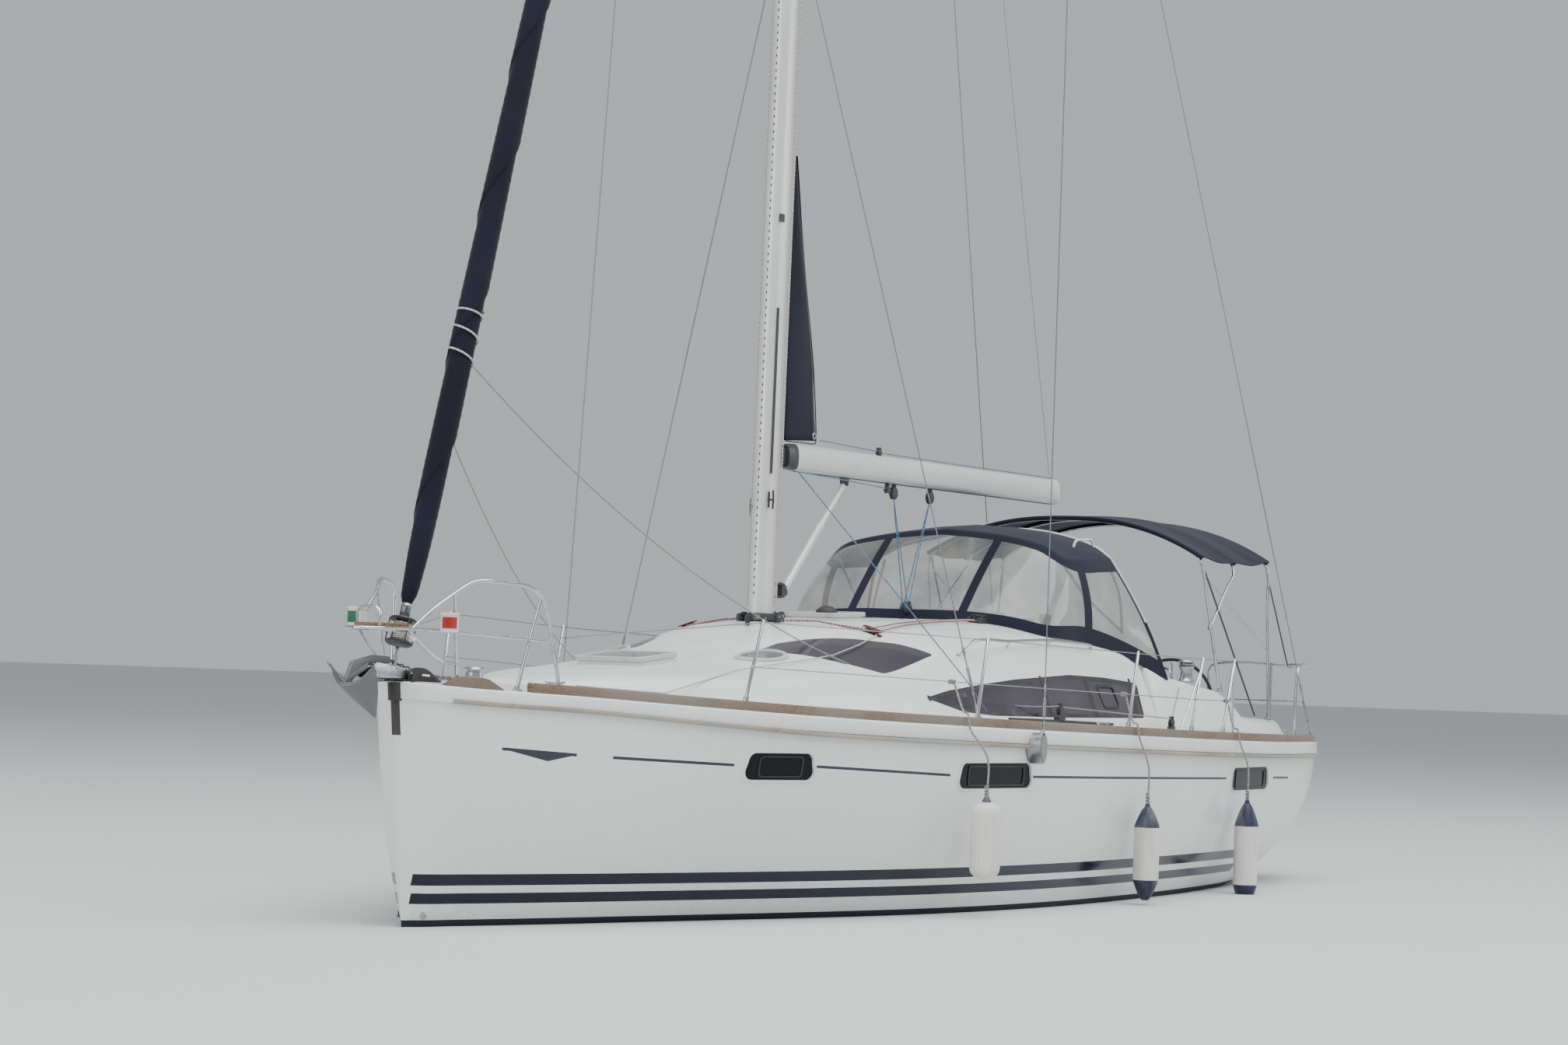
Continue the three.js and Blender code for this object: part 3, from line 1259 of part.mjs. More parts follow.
// Winches: x, y and radius of the base, with its height
const WINCH_PROFILE = [
  [0, 0],
  [1, 0],
  [1, 0.15],
  [0.8, 0.35],
  [0.78, 0.7],
  [0.9, 0.85],
  [0.9, 0.95],
  [0.4, 1],
  [0, 1],
];
const WINCHES = [
  { name: "primary", x: -3700, y: 1330, z: coamingTopZ(-3605) + 4, radius: 95, height: 190 },
  { name: "roof", x: -2300, y: 640, z: 2122, radius: 70, height: 140 },
];
for (const w of WINCHES) {
  for (const [name, side] of Object.entries(SIDES)) {
    const profile = WINCH_PROFILE.map(([r, z]) => [r * w.radius, w.z + z * w.height]);
    put("winch_" + w.name + "_" + name, turned(profile, w.x, side * w.y), STEEL);
  }
}

// Fenders hung along the port side: x, y, z of the foot and head, and radius
const FENDERS = [
  { x: 1710, y: 2075, foot: 280, head: 840, radius: 110 },
  { x: -920, y: 2200, foot: 40, head: 760, radius: 100 },
  { x: -3170, y: 2130, foot: -110, head: 750, radius: 100 },
];
FENDERS.forEach((f, i) => {
  const length = f.head - f.foot;
  const profile = [
    [0, 0],
    [0.35, 0.01],
    [0.75, 0.07],
    [1, 0.17],
    [1, 0.83],
    [0.75, 0.93],
    [0.35, 0.99],
    [0, 1],
  ].map(([r, z]) => [r * f.radius, f.foot + z * length]);
  const body = turned(profile, f.x, f.y);
  const lineTop = stationAt(f.x).sheer + 130;
  put("fender_" + (i + 1), body.add(rod([f.x, f.y, f.head - 30], [f.x, f.y - 12, lineTop], 6, 6)), VINYL);
});

export default yacht;
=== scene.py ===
# %% [markdown]
# # A twelve-metre sailing yacht, dressed for its picture
# The boat comes as a fixed frame of plain solids, in metres, with X forward, Y to port and Z up,
# and with the waterline at z = 0. This lesson keeps every solid where it is. It gives each one the surface
# of the real thing, or puts a finer piece in its place that rides on the same body.

# %% Load the frame
import json
from math import atan2, copysign, cos, pi, radians, sin, sqrt, tau
import bpy
import bmesh
import numpy as np
from mathutils import Matrix, Vector


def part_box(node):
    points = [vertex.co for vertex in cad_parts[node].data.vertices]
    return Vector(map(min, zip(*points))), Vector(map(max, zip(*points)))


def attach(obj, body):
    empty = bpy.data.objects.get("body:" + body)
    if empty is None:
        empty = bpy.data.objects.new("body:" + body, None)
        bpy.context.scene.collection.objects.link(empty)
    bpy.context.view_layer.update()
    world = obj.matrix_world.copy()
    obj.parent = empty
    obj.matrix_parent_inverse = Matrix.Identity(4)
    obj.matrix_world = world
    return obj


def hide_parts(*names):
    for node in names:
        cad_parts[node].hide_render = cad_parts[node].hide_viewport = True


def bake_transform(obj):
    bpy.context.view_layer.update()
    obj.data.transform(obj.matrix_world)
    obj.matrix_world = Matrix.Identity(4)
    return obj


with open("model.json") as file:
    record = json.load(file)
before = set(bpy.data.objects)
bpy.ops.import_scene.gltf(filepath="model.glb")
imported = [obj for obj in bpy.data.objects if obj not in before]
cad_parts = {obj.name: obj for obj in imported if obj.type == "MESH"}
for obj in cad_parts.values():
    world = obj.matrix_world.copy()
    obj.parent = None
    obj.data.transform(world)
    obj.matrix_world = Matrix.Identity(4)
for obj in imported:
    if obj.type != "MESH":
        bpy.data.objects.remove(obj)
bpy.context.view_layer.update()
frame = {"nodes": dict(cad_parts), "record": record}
SIDES = {"port": 1, "stbd": -1}

# %% [markdown]
# ## The camera
# The picture was taken from about 1.8 m over the waterline, off the port bow, with a long lens.
# A camera is three facts: where it stands, which way it looks, and how much it takes in. The numbers below
# were fitted to points of the hull and rig, so the boat fills the frame as it does in the picture.

# %% Stand the camera off the port bow
EYE = (26.189, 13.796, 1.769)
YAW, PITCH, ROLL = -2.63907, 0.03762, 0.03404
LENS_MM, SENSOR_MM = 86.66, 36.0


def make_camera():
    data = bpy.data.cameras.new("picture_camera")
    data.lens = LENS_MM
    data.sensor_width = SENSOR_MM
    data.clip_end = 1000
    camera = bpy.data.objects.new("picture_camera", data)
    bpy.context.scene.collection.objects.link(camera)
    ahead = Vector((cos(PITCH) * cos(YAW), cos(PITCH) * sin(YAW), sin(PITCH)))
    level = Vector((sin(YAW), -cos(YAW), 0))
    rise = level.cross(ahead)
    across = cos(ROLL) * level + sin(ROLL) * rise
    up = cos(ROLL) * rise - sin(ROLL) * level
    turn = Matrix((across, up, -ahead)).transposed()
    camera.matrix_world = Matrix.Translation(EYE) @ turn.to_4x4()
    bpy.context.scene.camera = camera
    return camera


camera = make_camera()
print("camera at", [round(v, 2) for v in camera.location])

# %% [markdown]
# ## Floor and light
# A pale floor stands at the waterline, so the boat looks as deep in it as it floats. The day was overcast.
# A bright even world does that, with one very large lamp overhead for soft modelling and a weaker one
# from the camera's left, so that the topsides are a little darker than the deck.

# %% Floor, world and lamps
FLOOR_RADIUS = 260


def make_floor():
    mesh = bpy.data.meshes.new("studio_floor")
    ring = [(FLOOR_RADIUS * cos(a), FLOOR_RADIUS * sin(a), 0) for a in np.linspace(0, tau, 96, endpoint=False)]
    mesh.from_pydata(ring, [], [list(range(len(ring)))])
    mesh.materials.append(bpy.data.materials.new("floor_paint"))
    mesh.materials[0].use_nodes = True
    shader = mesh.materials[0].node_tree.nodes["Principled BSDF"]
    shader.inputs["Base Color"].default_value = (0.62, 0.63, 0.63, 1)
    shader.inputs["Roughness"].default_value = 0.8
    floor = bpy.data.objects.new("studio_floor", mesh)
    bpy.context.scene.collection.objects.link(floor)
    return floor


# name, place, aim, size, watts, colour
LAMPS = [
    ("sky_lamp", (6, 10, 34), (0, 0, 2), 40, 21000, (0.96, 0.98, 1.0)),
    ("bow_lamp", (38, -6, 12), (2, 0, 4), 18, 4200, (1.0, 0.99, 0.97)),
    ("quarter_lamp", (-24, 26, 14), (-2, 0, 3), 16, 2600, (0.97, 0.98, 1.0)),
]


def make_lamp(name, place, aim, size, watts, colour):
    data = bpy.data.lights.new(name, "AREA")
    data.energy = watts
    data.size = size
    data.color = colour
    lamp = bpy.data.objects.new(name, data)
    lamp.location = place
    lamp.rotation_euler = (Vector(aim) - Vector(place)).to_track_quat("-Z", "Y").to_euler()
    bpy.context.scene.collection.objects.link(lamp)


def make_world():
    world = bpy.data.worlds.new("overcast")
    world.use_nodes = True
    sky = world.node_tree.nodes["Background"]
    sky.inputs["Color"].default_value = (0.8, 0.84, 0.87, 1)
    sky.inputs["Strength"].default_value = 0.62
    bpy.context.scene.world = world


floor = make_floor()
make_world()
for row in LAMPS:
    make_lamp(*row)
print("lamps:", len(LAMPS), "floor radius:", FLOOR_RADIUS)
# %% [markdown]
# ## Small tools for shapes
# Most of a boat is made of four kinds of form: a skin lofted through sections, a tube bent along a line,
# a plate cut to an outline, and a turned fitting. One short function makes each. All of them return plain
# lists of points and faces, so that several can be joined in one mesh before it becomes a piece.

# %% Curves and points


def fair(knots, values, x):
    """A smooth curve through a table's column, read at x. Its slope at a knot is that of the knots beside it."""
    k, v = np.asarray(knots, float), np.asarray(values, float)
    slope = np.gradient(v, k)
    i = np.clip(np.searchsorted(k, x) - 1, 0, len(k) - 2)
    span = k[i + 1] - k[i]
    t = np.clip((x - k[i]) / span, 0, 1)
    rise = v[i] * (2 * t**3 - 3 * t**2 + 1) + v[i + 1] * (3 * t**2 - 2 * t**3)
    return rise + span * (slope[i] * (t**3 - 2 * t**2 + t) + slope[i + 1] * (t**3 - t**2))


def curve_through(points, per_span=8, closed=False):
    """Points along a smooth line through the given ones, which doesn't swing out at uneven spans."""
    p = [Vector(q) for q in points]
    if closed:
        p = [p[-1], *p, p[0], p[1]]
    else:
        p = [2 * p[0] - p[1], *p, 2 * p[-1] - p[-2]]
    out = []
    for a, b, c, d in zip(p, p[1:], p[2:], p[3:]):
        da, db, dc = [max((v - u).length, 1e-6) ** 0.5 for u, v in ((a, b), (b, c), (c, d))]
        leave = ((b - a) / da - (c - a) / (da + db) + (c - b) / db) * db
        arrive = ((c - b) / db - (d - b) / (db + dc) + (d - c) / dc) * db
        for step in range(per_span):
            t = step / per_span
            keep = b * (2 * t**3 - 3 * t**2 + 1) + c * (3 * t**2 - 2 * t**3)
            out.append(keep + leave * (t**3 - 2 * t**2 + t) + arrive * (t**3 - t**2))
    if not closed:
        out.append(p[-2])
    return out


def eased_outline(corners, radius, steps=4):
    """An outline with its corners rounded. Radius is how far back from the corner the round starts."""
    out = []
    n = len(corners)
    for i in range(n):
        corner = Vector(corners[i])
        ends = []
        for other in (Vector(corners[i - 1]), Vector(corners[(i + 1) % n])):
            edge = other - corner
            ends.append(corner + edge.normalized() * min(radius, 0.45 * edge.length))
        a, b = ends
        for k in range(steps + 1):
            t = k / steps
            out.append(tuple((1 - t) ** 2 * a + 2 * t * (1 - t) * corner + t**2 * b))
    return out


def grown(outline, by):
    """A flat outline moved outwards by a distance."""
    p = [Vector(q) for q in outline]
    n = len(p)
    turn = copysign(1, sum(p[i - 1].x * p[i].y - p[i].x * p[i - 1].y for i in range(n)))
    out = []
    for i in range(n):
        before, after = (p[i] - p[i - 1]).normalized(), (p[(i + 1) % n] - p[i]).normalized()
        both = Vector((before.y + after.y, -before.x - after.x)) * turn
        out.append(tuple(p[i] + both * (2 * by / max(both.length_squared, 0.5))))
    return out


def sided(points, side):
    return [(x, side * y, z) for x, y, z in points]


def both_sides(port):
    """The whole of a line whose port half starts on the centre line."""
    return [*[Vector((p.x, -p.y, p.z)) for p in port[:0:-1]], *port]


def full_turn(count):
    return [tau * k / count for k in range(count)]


def oblong(x0, x1, y0, y1):
    return [(x0, y0), (x1, y0), (x1, y1), (x0, y1)]


print("a curve through 3 marks has", len(curve_through([(0, 0, 0), (1, 1, 0), (2, 0, 0)])), "points")

# %% Skins and bent bars


def loft(rings, caps=True, closed=True):
    """Skins rings of points that go round alike."""
    n = len(rings[0])
    points = [tuple(p) for ring in rings for p in ring]
    faces = []
    for r in range(len(rings) - 1):
        for i in range(n if closed else n - 1):
            j = (i + 1) % n
            faces.append((r * n + i, r * n + j, (r + 1) * n + j, (r + 1) * n + i))
    if caps:
        faces.append(tuple(range(n))[::-1])
        faces.append(tuple((len(rings) - 1) * n + i for i in range(n)))
    return points, faces


def grid(rows, across):
    """Faces of a net of points that is given row by row."""
    return [
        (r * across + i, r * across + i + 1, (r + 1) * across + i + 1, (r + 1) * across + i)
        for r in range(rows - 1)
        for i in range(across - 1)
    ]


def joined(*parts):
    points, faces = [], []
    for p, f in parts:
        base = len(points)
        points += p
        faces += [tuple(base + i for i in face) for face in f]
    return points, faces


def along(path, radius, sides=12, closed=False):
    """A round bar or tube that follows a path. Its radius is one number, or one for each point."""
    path = [Vector(p) for p in path]
    n = len(path)
    radii = [radius] * n if isinstance(radius, (int, float)) else list(radius)
    if closed:
        tangents = [(path[(i + 1) % n] - path[i - 1]).normalized() for i in range(n)]
    else:
        tangents = [(path[min(i + 1, n - 1)] - path[max(i - 1, 0)]).normalized() for i in range(n)]
    across = tangents[0].orthogonal().normalized()
    rings = []
    for i in range(n):
        across = (across - across.dot(tangents[i]) * tangents[i]).normalized()
        over = tangents[i].cross(across)
        rings.append([path[i] + radii[i] * (cos(a) * across + sin(a) * over) for a in full_turn(sides)])
    if closed:
        return merged(*loft([*rings, rings[0]], caps=False))
    return loft(rings)


def merged(points, faces):
    """Welds points that fall on each other."""
    keep, index, new = {}, [], []
    for p in points:
        key = tuple(round(c, 5) for c in p)
        if key not in keep:
            keep[key] = len(new)
            new.append(tuple(p))
        index.append(keep[key])
    out = []
    for face in faces:
        f = [index[i] for i in face]
        f = [v for k, v in enumerate(f) if v != f[k - 1]]
        if len(f) > 2:
            out.append(tuple(f))
    return new, out


print("two rings of four points make", len(loft([[(0, 0, 0)] * 4] * 2)[1]), "faces")

# %% Bars, plates, boxes and turned parts


def bar(a, b, radius, sides=12):
    return along([a, b], radius, sides)


def plate(outline, axis, low, high):
    """A flat plate. Axis y takes the outline as x and z, axis z as x and y, and axis x as y and z."""
    place = {
        "x": lambda u, v, w: (w, u, v),
        "y": lambda u, v, w: (u, w, v),
        "z": lambda u, v, w: (u, v, w),
    }[axis]
    return loft([[place(u, v, w) for u, v in outline] for w in (low, high)])


def block(x0, x1, y0, y1, z0, z1):
    return plate(oblong(x0, x1, y0, y1), "z", z0, z1)


def turned(profile, centre=(0, 0, 0), axis=(0, 0, 1), sides=24):
    """A turned shape from rows of radius and height along the axis."""
    axis = Vector(axis).normalized()
    across = axis.orthogonal().normalized()
    over = axis.cross(across)
    rings = []
    for r, h in profile:
        middle = Vector(centre) + h * axis
        out = max(r, 1e-5)
        rings.append([middle + out * (cos(a) * across + sin(a) * over) for a in full_turn(sides)])
    return loft(rings)


def ball(centre, radius, squash=1.0, sides=16):
    rows = [(radius * sin(a), -radius * squash * cos(a)) for a in np.linspace(0, pi, sides // 2 + 1)]
    return turned(rows, centre, sides=sides)


def rounded_box(x0, x1, y0, y1, z0, z1, r, steps=3):
    """A box whose upright edges are rounded."""
    outline = []
    for cx, cy, start in ((x1 - r, y1 - r, 0), (x0 + r, y1 - r, 1), (x0 + r, y0 + r, 2), (x1 - r, y0 + r, 3)):
        for k in range(steps + 1):
            a = pi / 2 * (start + k / steps)
            outline.append((cx + r * cos(a), cy + r * sin(a)))
    return plate(outline, "z", z0, z1)


print("a box with rounded edges has", len(rounded_box(0, 1, 0, 1, 0, 1, 0.1)[1]), "faces")

# %% [markdown]
# A piece is a mesh with a finish that rides on a body. Every one goes through the same door, which sets
# smooth shading up to a crease angle, turns the faces outwards, gives it its finish,
# and says which plain solids it stands for.

# %% Make a piece
SLOTS = [m["slot"] for m in frame["record"]["materials"]]
print("finish slots:", len(SLOTS))


def new_object(name, points, faces):
    mesh = bpy.data.meshes.new(name)
    mesh.from_pydata([tuple(p) for p in points], [], faces)
    mesh.update()
    obj = bpy.data.objects.new(name, mesh)
    bpy.context.scene.collection.objects.link(obj)
    return obj


def outwards(obj, weld=1e-5):
    work = bmesh.new()
    work.from_mesh(obj.data)
    bmesh.ops.remove_doubles(work, verts=work.verts, dist=weld)
    bmesh.ops.recalc_face_normals(work, faces=work.faces)
    work.to_mesh(obj.data)
    work.free()


def face_up(obj):
    """Turns an open sheet over if it looks down."""
    if sum(p.normal.z for p in obj.data.polygons) < 0:
        obj.data.flip_normals()


def dress(obj, finish, body="yacht", stands_for=(), crease=35):
    """Finish, shading and body of a mesh that is in its place."""
    obj.data.materials.clear()
    obj.data.materials.append(finish)
    obj.data.shade_smooth()
    obj.data.set_sharp_from_angle(angle=radians(crease))
    if body:
        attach(obj, body)
    if stands_for:
        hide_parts(*stands_for)
    return obj


def piece(name, shape, finish, body="yacht", stands_for=(), crease=35, edge=None):
    """A whole piece from one shape or a list of them, with the width and steps of its rounded edges."""
    obj = new_object(name, *(joined(*shape) if isinstance(shape, list) else shape))
    outwards(obj)
    if edge:
        bevel(obj, *edge)
    return dress(obj, finish, body, stands_for, crease)

# %% [markdown]
# Cuts are made with Boolean modifiers, and edges with Bevel. A modifier is only a plan until it is applied,
# so the evaluated mesh is copied back and the plan is dropped. What follows then works on plain meshes.

# %% Cut, round and copy


def settle(obj):
    """Turns a piece's modifiers into its mesh."""
    graph = bpy.context.evaluated_depsgraph_get()
    graph.update()
    mesh = bpy.data.meshes.new_from_object(obj.evaluated_get(graph))
    obj.modifiers.clear()
    old = obj.data
    obj.data = mesh
    bpy.data.meshes.remove(old)
    return obj


def cut(obj, shapes, how="DIFFERENCE"):
    """Cuts shapes out of a mesh. With how="INTERSECT" it keeps only what the mesh shares with them."""
    for shape in shapes:
        tool = new_object("cutter", *shape)
        outwards(tool)
        mod = obj.modifiers.new("cut", "BOOLEAN")
        mod.operation = how
        mod.solver = "EXACT"
        mod.object = tool
        settle(obj)
        bpy.data.objects.remove(tool)
    return obj


BEVEL_ANGLE = 30  # only edges sharper than this are rounded, in degrees


def bevel(obj, width, segments=3):
    mod = obj.modifiers.new("bevel", "BEVEL")
    mod.width = width
    mod.segments = segments
    mod.limit_method = "ANGLE"
    mod.angle_limit = radians(BEVEL_ANGLE)
    mod.harden_normals = False
    return settle(obj)


def eased(node, width, finish, segments=3):
    """A node's own shape with its sharp edges rounded, for a solid that needs no other change."""
    source = frame["nodes"][node]
    obj = bpy.data.objects.new(node + "_eased", source.data.copy())
    bpy.context.scene.collection.objects.link(obj)
    outwards(obj, weld=1e-4)
    work = bmesh.new()
    work.from_mesh(obj.data)
    bmesh.ops.dissolve_limit(work, angle_limit=radians(1), verts=work.verts, edges=work.edges)
    work.to_mesh(obj.data)
    work.free()
    bevel(obj, width, segments)
    return dress(obj, finish, stands_for=[node])


def thickened(obj, thick):
    mod = obj.modifiers.new("wall", "SOLIDIFY")
    mod.thickness = thick
    mod.offset = -1
    return settle(obj)


print("tools: cut, bevel, eased and thickened")
# %% [markdown]
# ## Finishes
# Every finish is a small graph of nodes around one Principled shader. Patterns are read from Object
# coordinates, and each piece's object stays at the origin, so a pattern is in real metres on the boat.
# A number that is the same everywhere is typed into the shader's own socket. What varies, such as grain,
# weather and wear, drives colour, roughness and bump.

# %% Shorthand for node graphs


class Finish:
    """A material, with short ways to add nodes to it."""

    def __init__(self, name, colour, roughness, **sockets):
        self.material = bpy.data.materials.new(name)
        self.material.use_nodes = True
        self.tree = self.material.node_tree
        self.shader = self.tree.nodes["Principled BSDF"]
        self.set("Base Color", (*colour, 1))
        self.set("Roughness", roughness)
        for socket, value in sockets.items():
            self.set(socket.replace("_", " "), value)
        self.place = self.add("ShaderNodeTexCoord").outputs["Object"]

    def set(self, socket, value):
        self.plug(self.shader.inputs[socket], value)

    def plug(self, socket, value):
        if isinstance(value, bpy.types.NodeSocket):
            self.tree.links.new(value, socket)
        else:
            socket.default_value = value

    def add(self, kind, inputs=(), **properties):
        node = self.tree.nodes.new(kind)
        for key, value in properties.items():
            setattr(node, key, value)
        for key, value in dict(inputs).items():
            self.plug(node.inputs[key], value)
        return node

    def math(self, operation, *values):
        node = self.add("ShaderNodeMath", operation=operation)
        for i, value in enumerate(values):
            self.plug(node.inputs[i], value)
        return node.outputs[0]

    def times(self, a, b):
        return self.math("MULTIPLY", a, b)

    def scaled(self, scale, rotation=(0, 0, 0)):
        inputs = {"Vector": self.place, "Scale": scale, "Rotation": rotation}
        return self.add("ShaderNodeMapping", inputs).outputs[0]

    def axis(self, name, of=None):
        return self.add("ShaderNodeSeparateXYZ", {0: of or self.place}).outputs[name]

    def noise(self, scale, detail=3.0, stretch=None, rough=0.5):
        where = self.scaled(stretch) if stretch else self.place
        inputs = {"Vector": where, "Scale": scale, "Detail": detail, "Roughness": rough}
        return self.add("ShaderNodeTexNoise", inputs).outputs["Fac"]

    def remap(self, value, low, high, to_low=0.0, to_high=1.0):
        inputs = {0: value, 1: low, 2: high, 3: to_low, 4: to_high}
        return self.add("ShaderNodeMapRange", inputs).outputs[0]

    def mix(self, factor, a, b):
        node = self.add("ShaderNodeMix", data_type="RGBA")
        for i, value in ((0, factor), (6, a), (7, b)):
            if isinstance(value, tuple) and len(value) == 3:
                value = (*value, 1)
            self.plug(node.inputs[i], value)
        return node.outputs[2]

    def between(self, value, low, high):
        """1 where the value lies between two numbers, and 0 elsewhere."""
        return self.math("COMPARE", value, (low + high) / 2, (high - low) / 2)

    def bump(self, height, strength, distance=0.001, under=None):
        inputs = {"Height": height, "Strength": strength, "Distance": distance}
        node = self.add("ShaderNodeBump", inputs)
        if under is not None:
            self.plug(node.inputs["Normal"], under)
        self.set("Normal", node.outputs[0])
        return node.outputs[0]


print("a finish starts from one Principled shader")

# %% [markdown]
# ### Gelcoat and paint
# Gelcoat is white, glossy and never quite clean: broad areas differ a little in tone, rain leaves faint
# upright runs on the topsides, and a little brown grows just over the water. The two blue bands and the fine
# line are paint, so they are colour on the same skin: each is a range of heights between two x. The hull's
# bottom is dark antifouling up to a hand's breadth over the water.

# %% Topsides
NAVY_PAINT = (0.004, 0.006, 0.02)
LINE_PAINT = (0.03, 0.036, 0.05)
BOTTOM_PAINT = (0.012, 0.017, 0.027)
WATERLINE_EDGE = 0.045
# low, high, aft end and fore end of each painted band
BANDS = [(0.15, 0.22, -3.8, 5.99), (0.27, 0.345, -3.86, 6.0)]
LINE_HALF = 0.01
# aft end, fore end and height of each run of the fine line at those ends
LINES = [
    (5.124, 5.617, 1.131, 1.163),
    (3.957, 4.876, 1.08, 1.118),
    (1.846, 3.251, 1.018, 1.075),
    (-3.0, 0.752, 0.954, 1.002),
    (-4.8, -4.3, 0.936, 0.943),
]
# the small arrow head under the foremost run: its ends and its point, as x and z
ARROW = ((5.124, 1.131), (5.617, 1.163), (5.315, 1.087))


def inside_arrow(f, x, z):
    """1 within the arrow head: on the inner side of each of its three edges."""
    inside = 1.0
    for (x0, z0), (x1, z1) in zip(ARROW, ARROW[1:] + ARROW[:1]):
        across = f.times(f.math("SUBTRACT", x, x0), z1 - z0)
        up = f.times(f.math("SUBTRACT", z, z0), x1 - x0)
        inside = f.times(f.math("GREATER_THAN", across, up), inside)
    return inside


def make_topsides():
    f = Finish(
        "topsides_gelcoat", (0.72, 0.75, 0.73), 0.2, Coat_Weight=0.1, Coat_Roughness=0.08, Specular_IOR_Level=0.3
    )
    x, z = f.axis("X"), f.axis("Z")
    tone = f.noise(0.35, 2.0)
    runs = f.noise(5.0, 4.0, (7.0, 7.0, 0.35))
    growth = f.times(f.remap(z, 0.5, 0.04), f.remap(runs, 0.35, 0.75))
    white = f.mix(f.remap(tone, 0.3, 0.7), (0.7, 0.735, 0.715), (0.76, 0.785, 0.77))
    white = f.mix(f.times(f.remap(runs, 0.45, 0.8), 0.1), white, (0.46, 0.47, 0.43))
    white = f.mix(f.times(growth, 0.16), white, (0.4, 0.37, 0.27))
    colour = white
    for low, high, aft, fore in BANDS:
        inside = f.times(f.between(z, low, high), f.between(x, aft, fore))
        colour = f.mix(inside, colour, NAVY_PAINT)
    for aft, fore, aft_z, fore_z in LINES:
        middle = f.remap(x, aft, fore, aft_z, fore_z)
        run = f.between(x, aft, fore)
        edge = f.times(f.math("COMPARE", z, middle, 2 * LINE_HALF), run)
        colour = f.mix(f.times(edge, 0.6), colour, (0.8, 0.82, 0.82))
        colour = f.mix(f.times(f.math("COMPARE", z, middle, LINE_HALF), run), colour, LINE_PAINT)
    colour = f.mix(inside_arrow(f, x, z), colour, LINE_PAINT)
    below = f.math("LESS_THAN", z, WATERLINE_EDGE)
    f.set("Base Color", f.mix(below, colour, BOTTOM_PAINT))
    shine = f.remap(f.noise(1.2, 3.0), 0.3, 0.7, 0.12, 0.26)
    f.set("Roughness", f.math("MAXIMUM", shine, f.times(below, 0.75)))
    f.bump(f.noise(1.6, 2.0), 0.25, 0.004)
    return f.material


print("painted bands:", len(BANDS), "runs of the fine line:", len(LINES))

# %% Deck and cabin
def make_deck_gelcoat():
    f = Finish("deck_gelcoat", (0.8, 0.81, 0.79), 0.3, Coat_Weight=0.25, Coat_Roughness=0.08)
    tone = f.noise(0.8, 3.0)
    marks = f.noise(14.0, 5.0, (1.0, 1.0, 0.4))
    white = f.mix(f.remap(tone, 0.3, 0.7), (0.77, 0.785, 0.765), (0.83, 0.84, 0.825))
    f.set("Base Color", f.mix(f.times(f.remap(marks, 0.56, 0.8), 0.22), white, (0.47, 0.46, 0.42)))
    f.set("Roughness", f.remap(f.noise(3.0, 3.0), 0.3, 0.7, 0.22, 0.4))
    f.bump(f.noise(220.0, 2.0), 0.06, 0.0006)
    return f.material


def make_nonskid():
    """Moulded deck grip: small pyramids in rows at 45 degrees, darker in the hollows between them."""
    f = Finish("deck_nonskid", (0.7, 0.71, 0.69), 0.62)
    turned_place = f.scaled((520.0, 520.0, 520.0), (0, 0, pi / 4))
    u, v = f.axis("X", turned_place), f.axis("Y", turned_place)
    peaks = f.times(f.math("SINE", u), f.math("SINE", v))
    dirt = f.noise(2.5, 5.0)
    tone = f.mix(f.remap(dirt, 0.35, 0.7), (0.72, 0.73, 0.71), (0.6, 0.605, 0.585))
    f.set("Base Color", f.mix(f.times(f.remap(peaks, 0.3, -0.6), 0.25), tone, (0.42, 0.42, 0.4)))
    f.bump(peaks, 0.5, 0.0012)
    return f.material


def make_antifoul():
    f = Finish("antifouling", BOTTOM_PAINT, 0.8)
    worn = f.noise(3.0, 6.0)
    f.set("Base Color", f.mix(f.remap(worn, 0.45, 0.7), (0.01, 0.015, 0.026), (0.03, 0.042, 0.055)))
    f.bump(f.noise(60.0, 4.0), 0.4, 0.001)
    return f.material


print("recipes: deck gelcoat, grip and antifouling")

# %% [markdown]
# ### Teak
# The rails and seats are teak left to the weather, so the brown has gone grey. Noise that is
# stretched along the boat gives the grain, a finer one the open pores, and every two metres a slanted dark
# line is the scarf where two lengths are glued.

# %% Weathered teak
def make_teak(name, brown, grey, scarf_every=2.1):
    f = Finish(name, brown, 0.7)
    grain = f.noise(1.0, 6.0, (6.0, 70.0, 70.0), 0.65)
    pores = f.noise(1.0, 3.0, (30.0, 420.0, 420.0))
    weather = f.noise(1.1, 4.0)
    wood = f.mix(f.remap(grain, 0.3, 0.7), brown, tuple(0.62 * c for c in brown))
    wood = f.mix(f.remap(weather, 0.35, 0.65), wood, grey)
    wood = f.mix(f.times(f.remap(pores, 0.55, 0.7), 0.5), wood, tuple(0.35 * c for c in brown))
    slant = f.math("ADD", f.axis("X"), f.times(f.axis("Z"), 1.2))
    at = f.math("ABSOLUTE", f.math("SUBTRACT", f.math("PINGPONG", slant, scarf_every), scarf_every / 2))
    seam = f.math("LESS_THAN", at, 0.0022)
    f.set("Base Color", f.mix(seam, wood, (0.02, 0.018, 0.015)))
    f.set("Roughness", f.remap(grain, 0.3, 0.7, 0.58, 0.82))
    f.bump(f.math("SUBTRACT", f.times(grain, 0.6), seam), 0.5, 0.0012)
    return f.material


print("recipe: weathered teak")

# %% [markdown]
# ### Metals
# Polished tube mirrors the pale sky and shows faint smears. The spars are anodised, so they are duller, with
# a brushed look along their length. The anchor is hot-dip galvanised: a grey skin with a flaky spangle that
# salt has stained. Bronze and engine paint are hardly seen, and are simple.

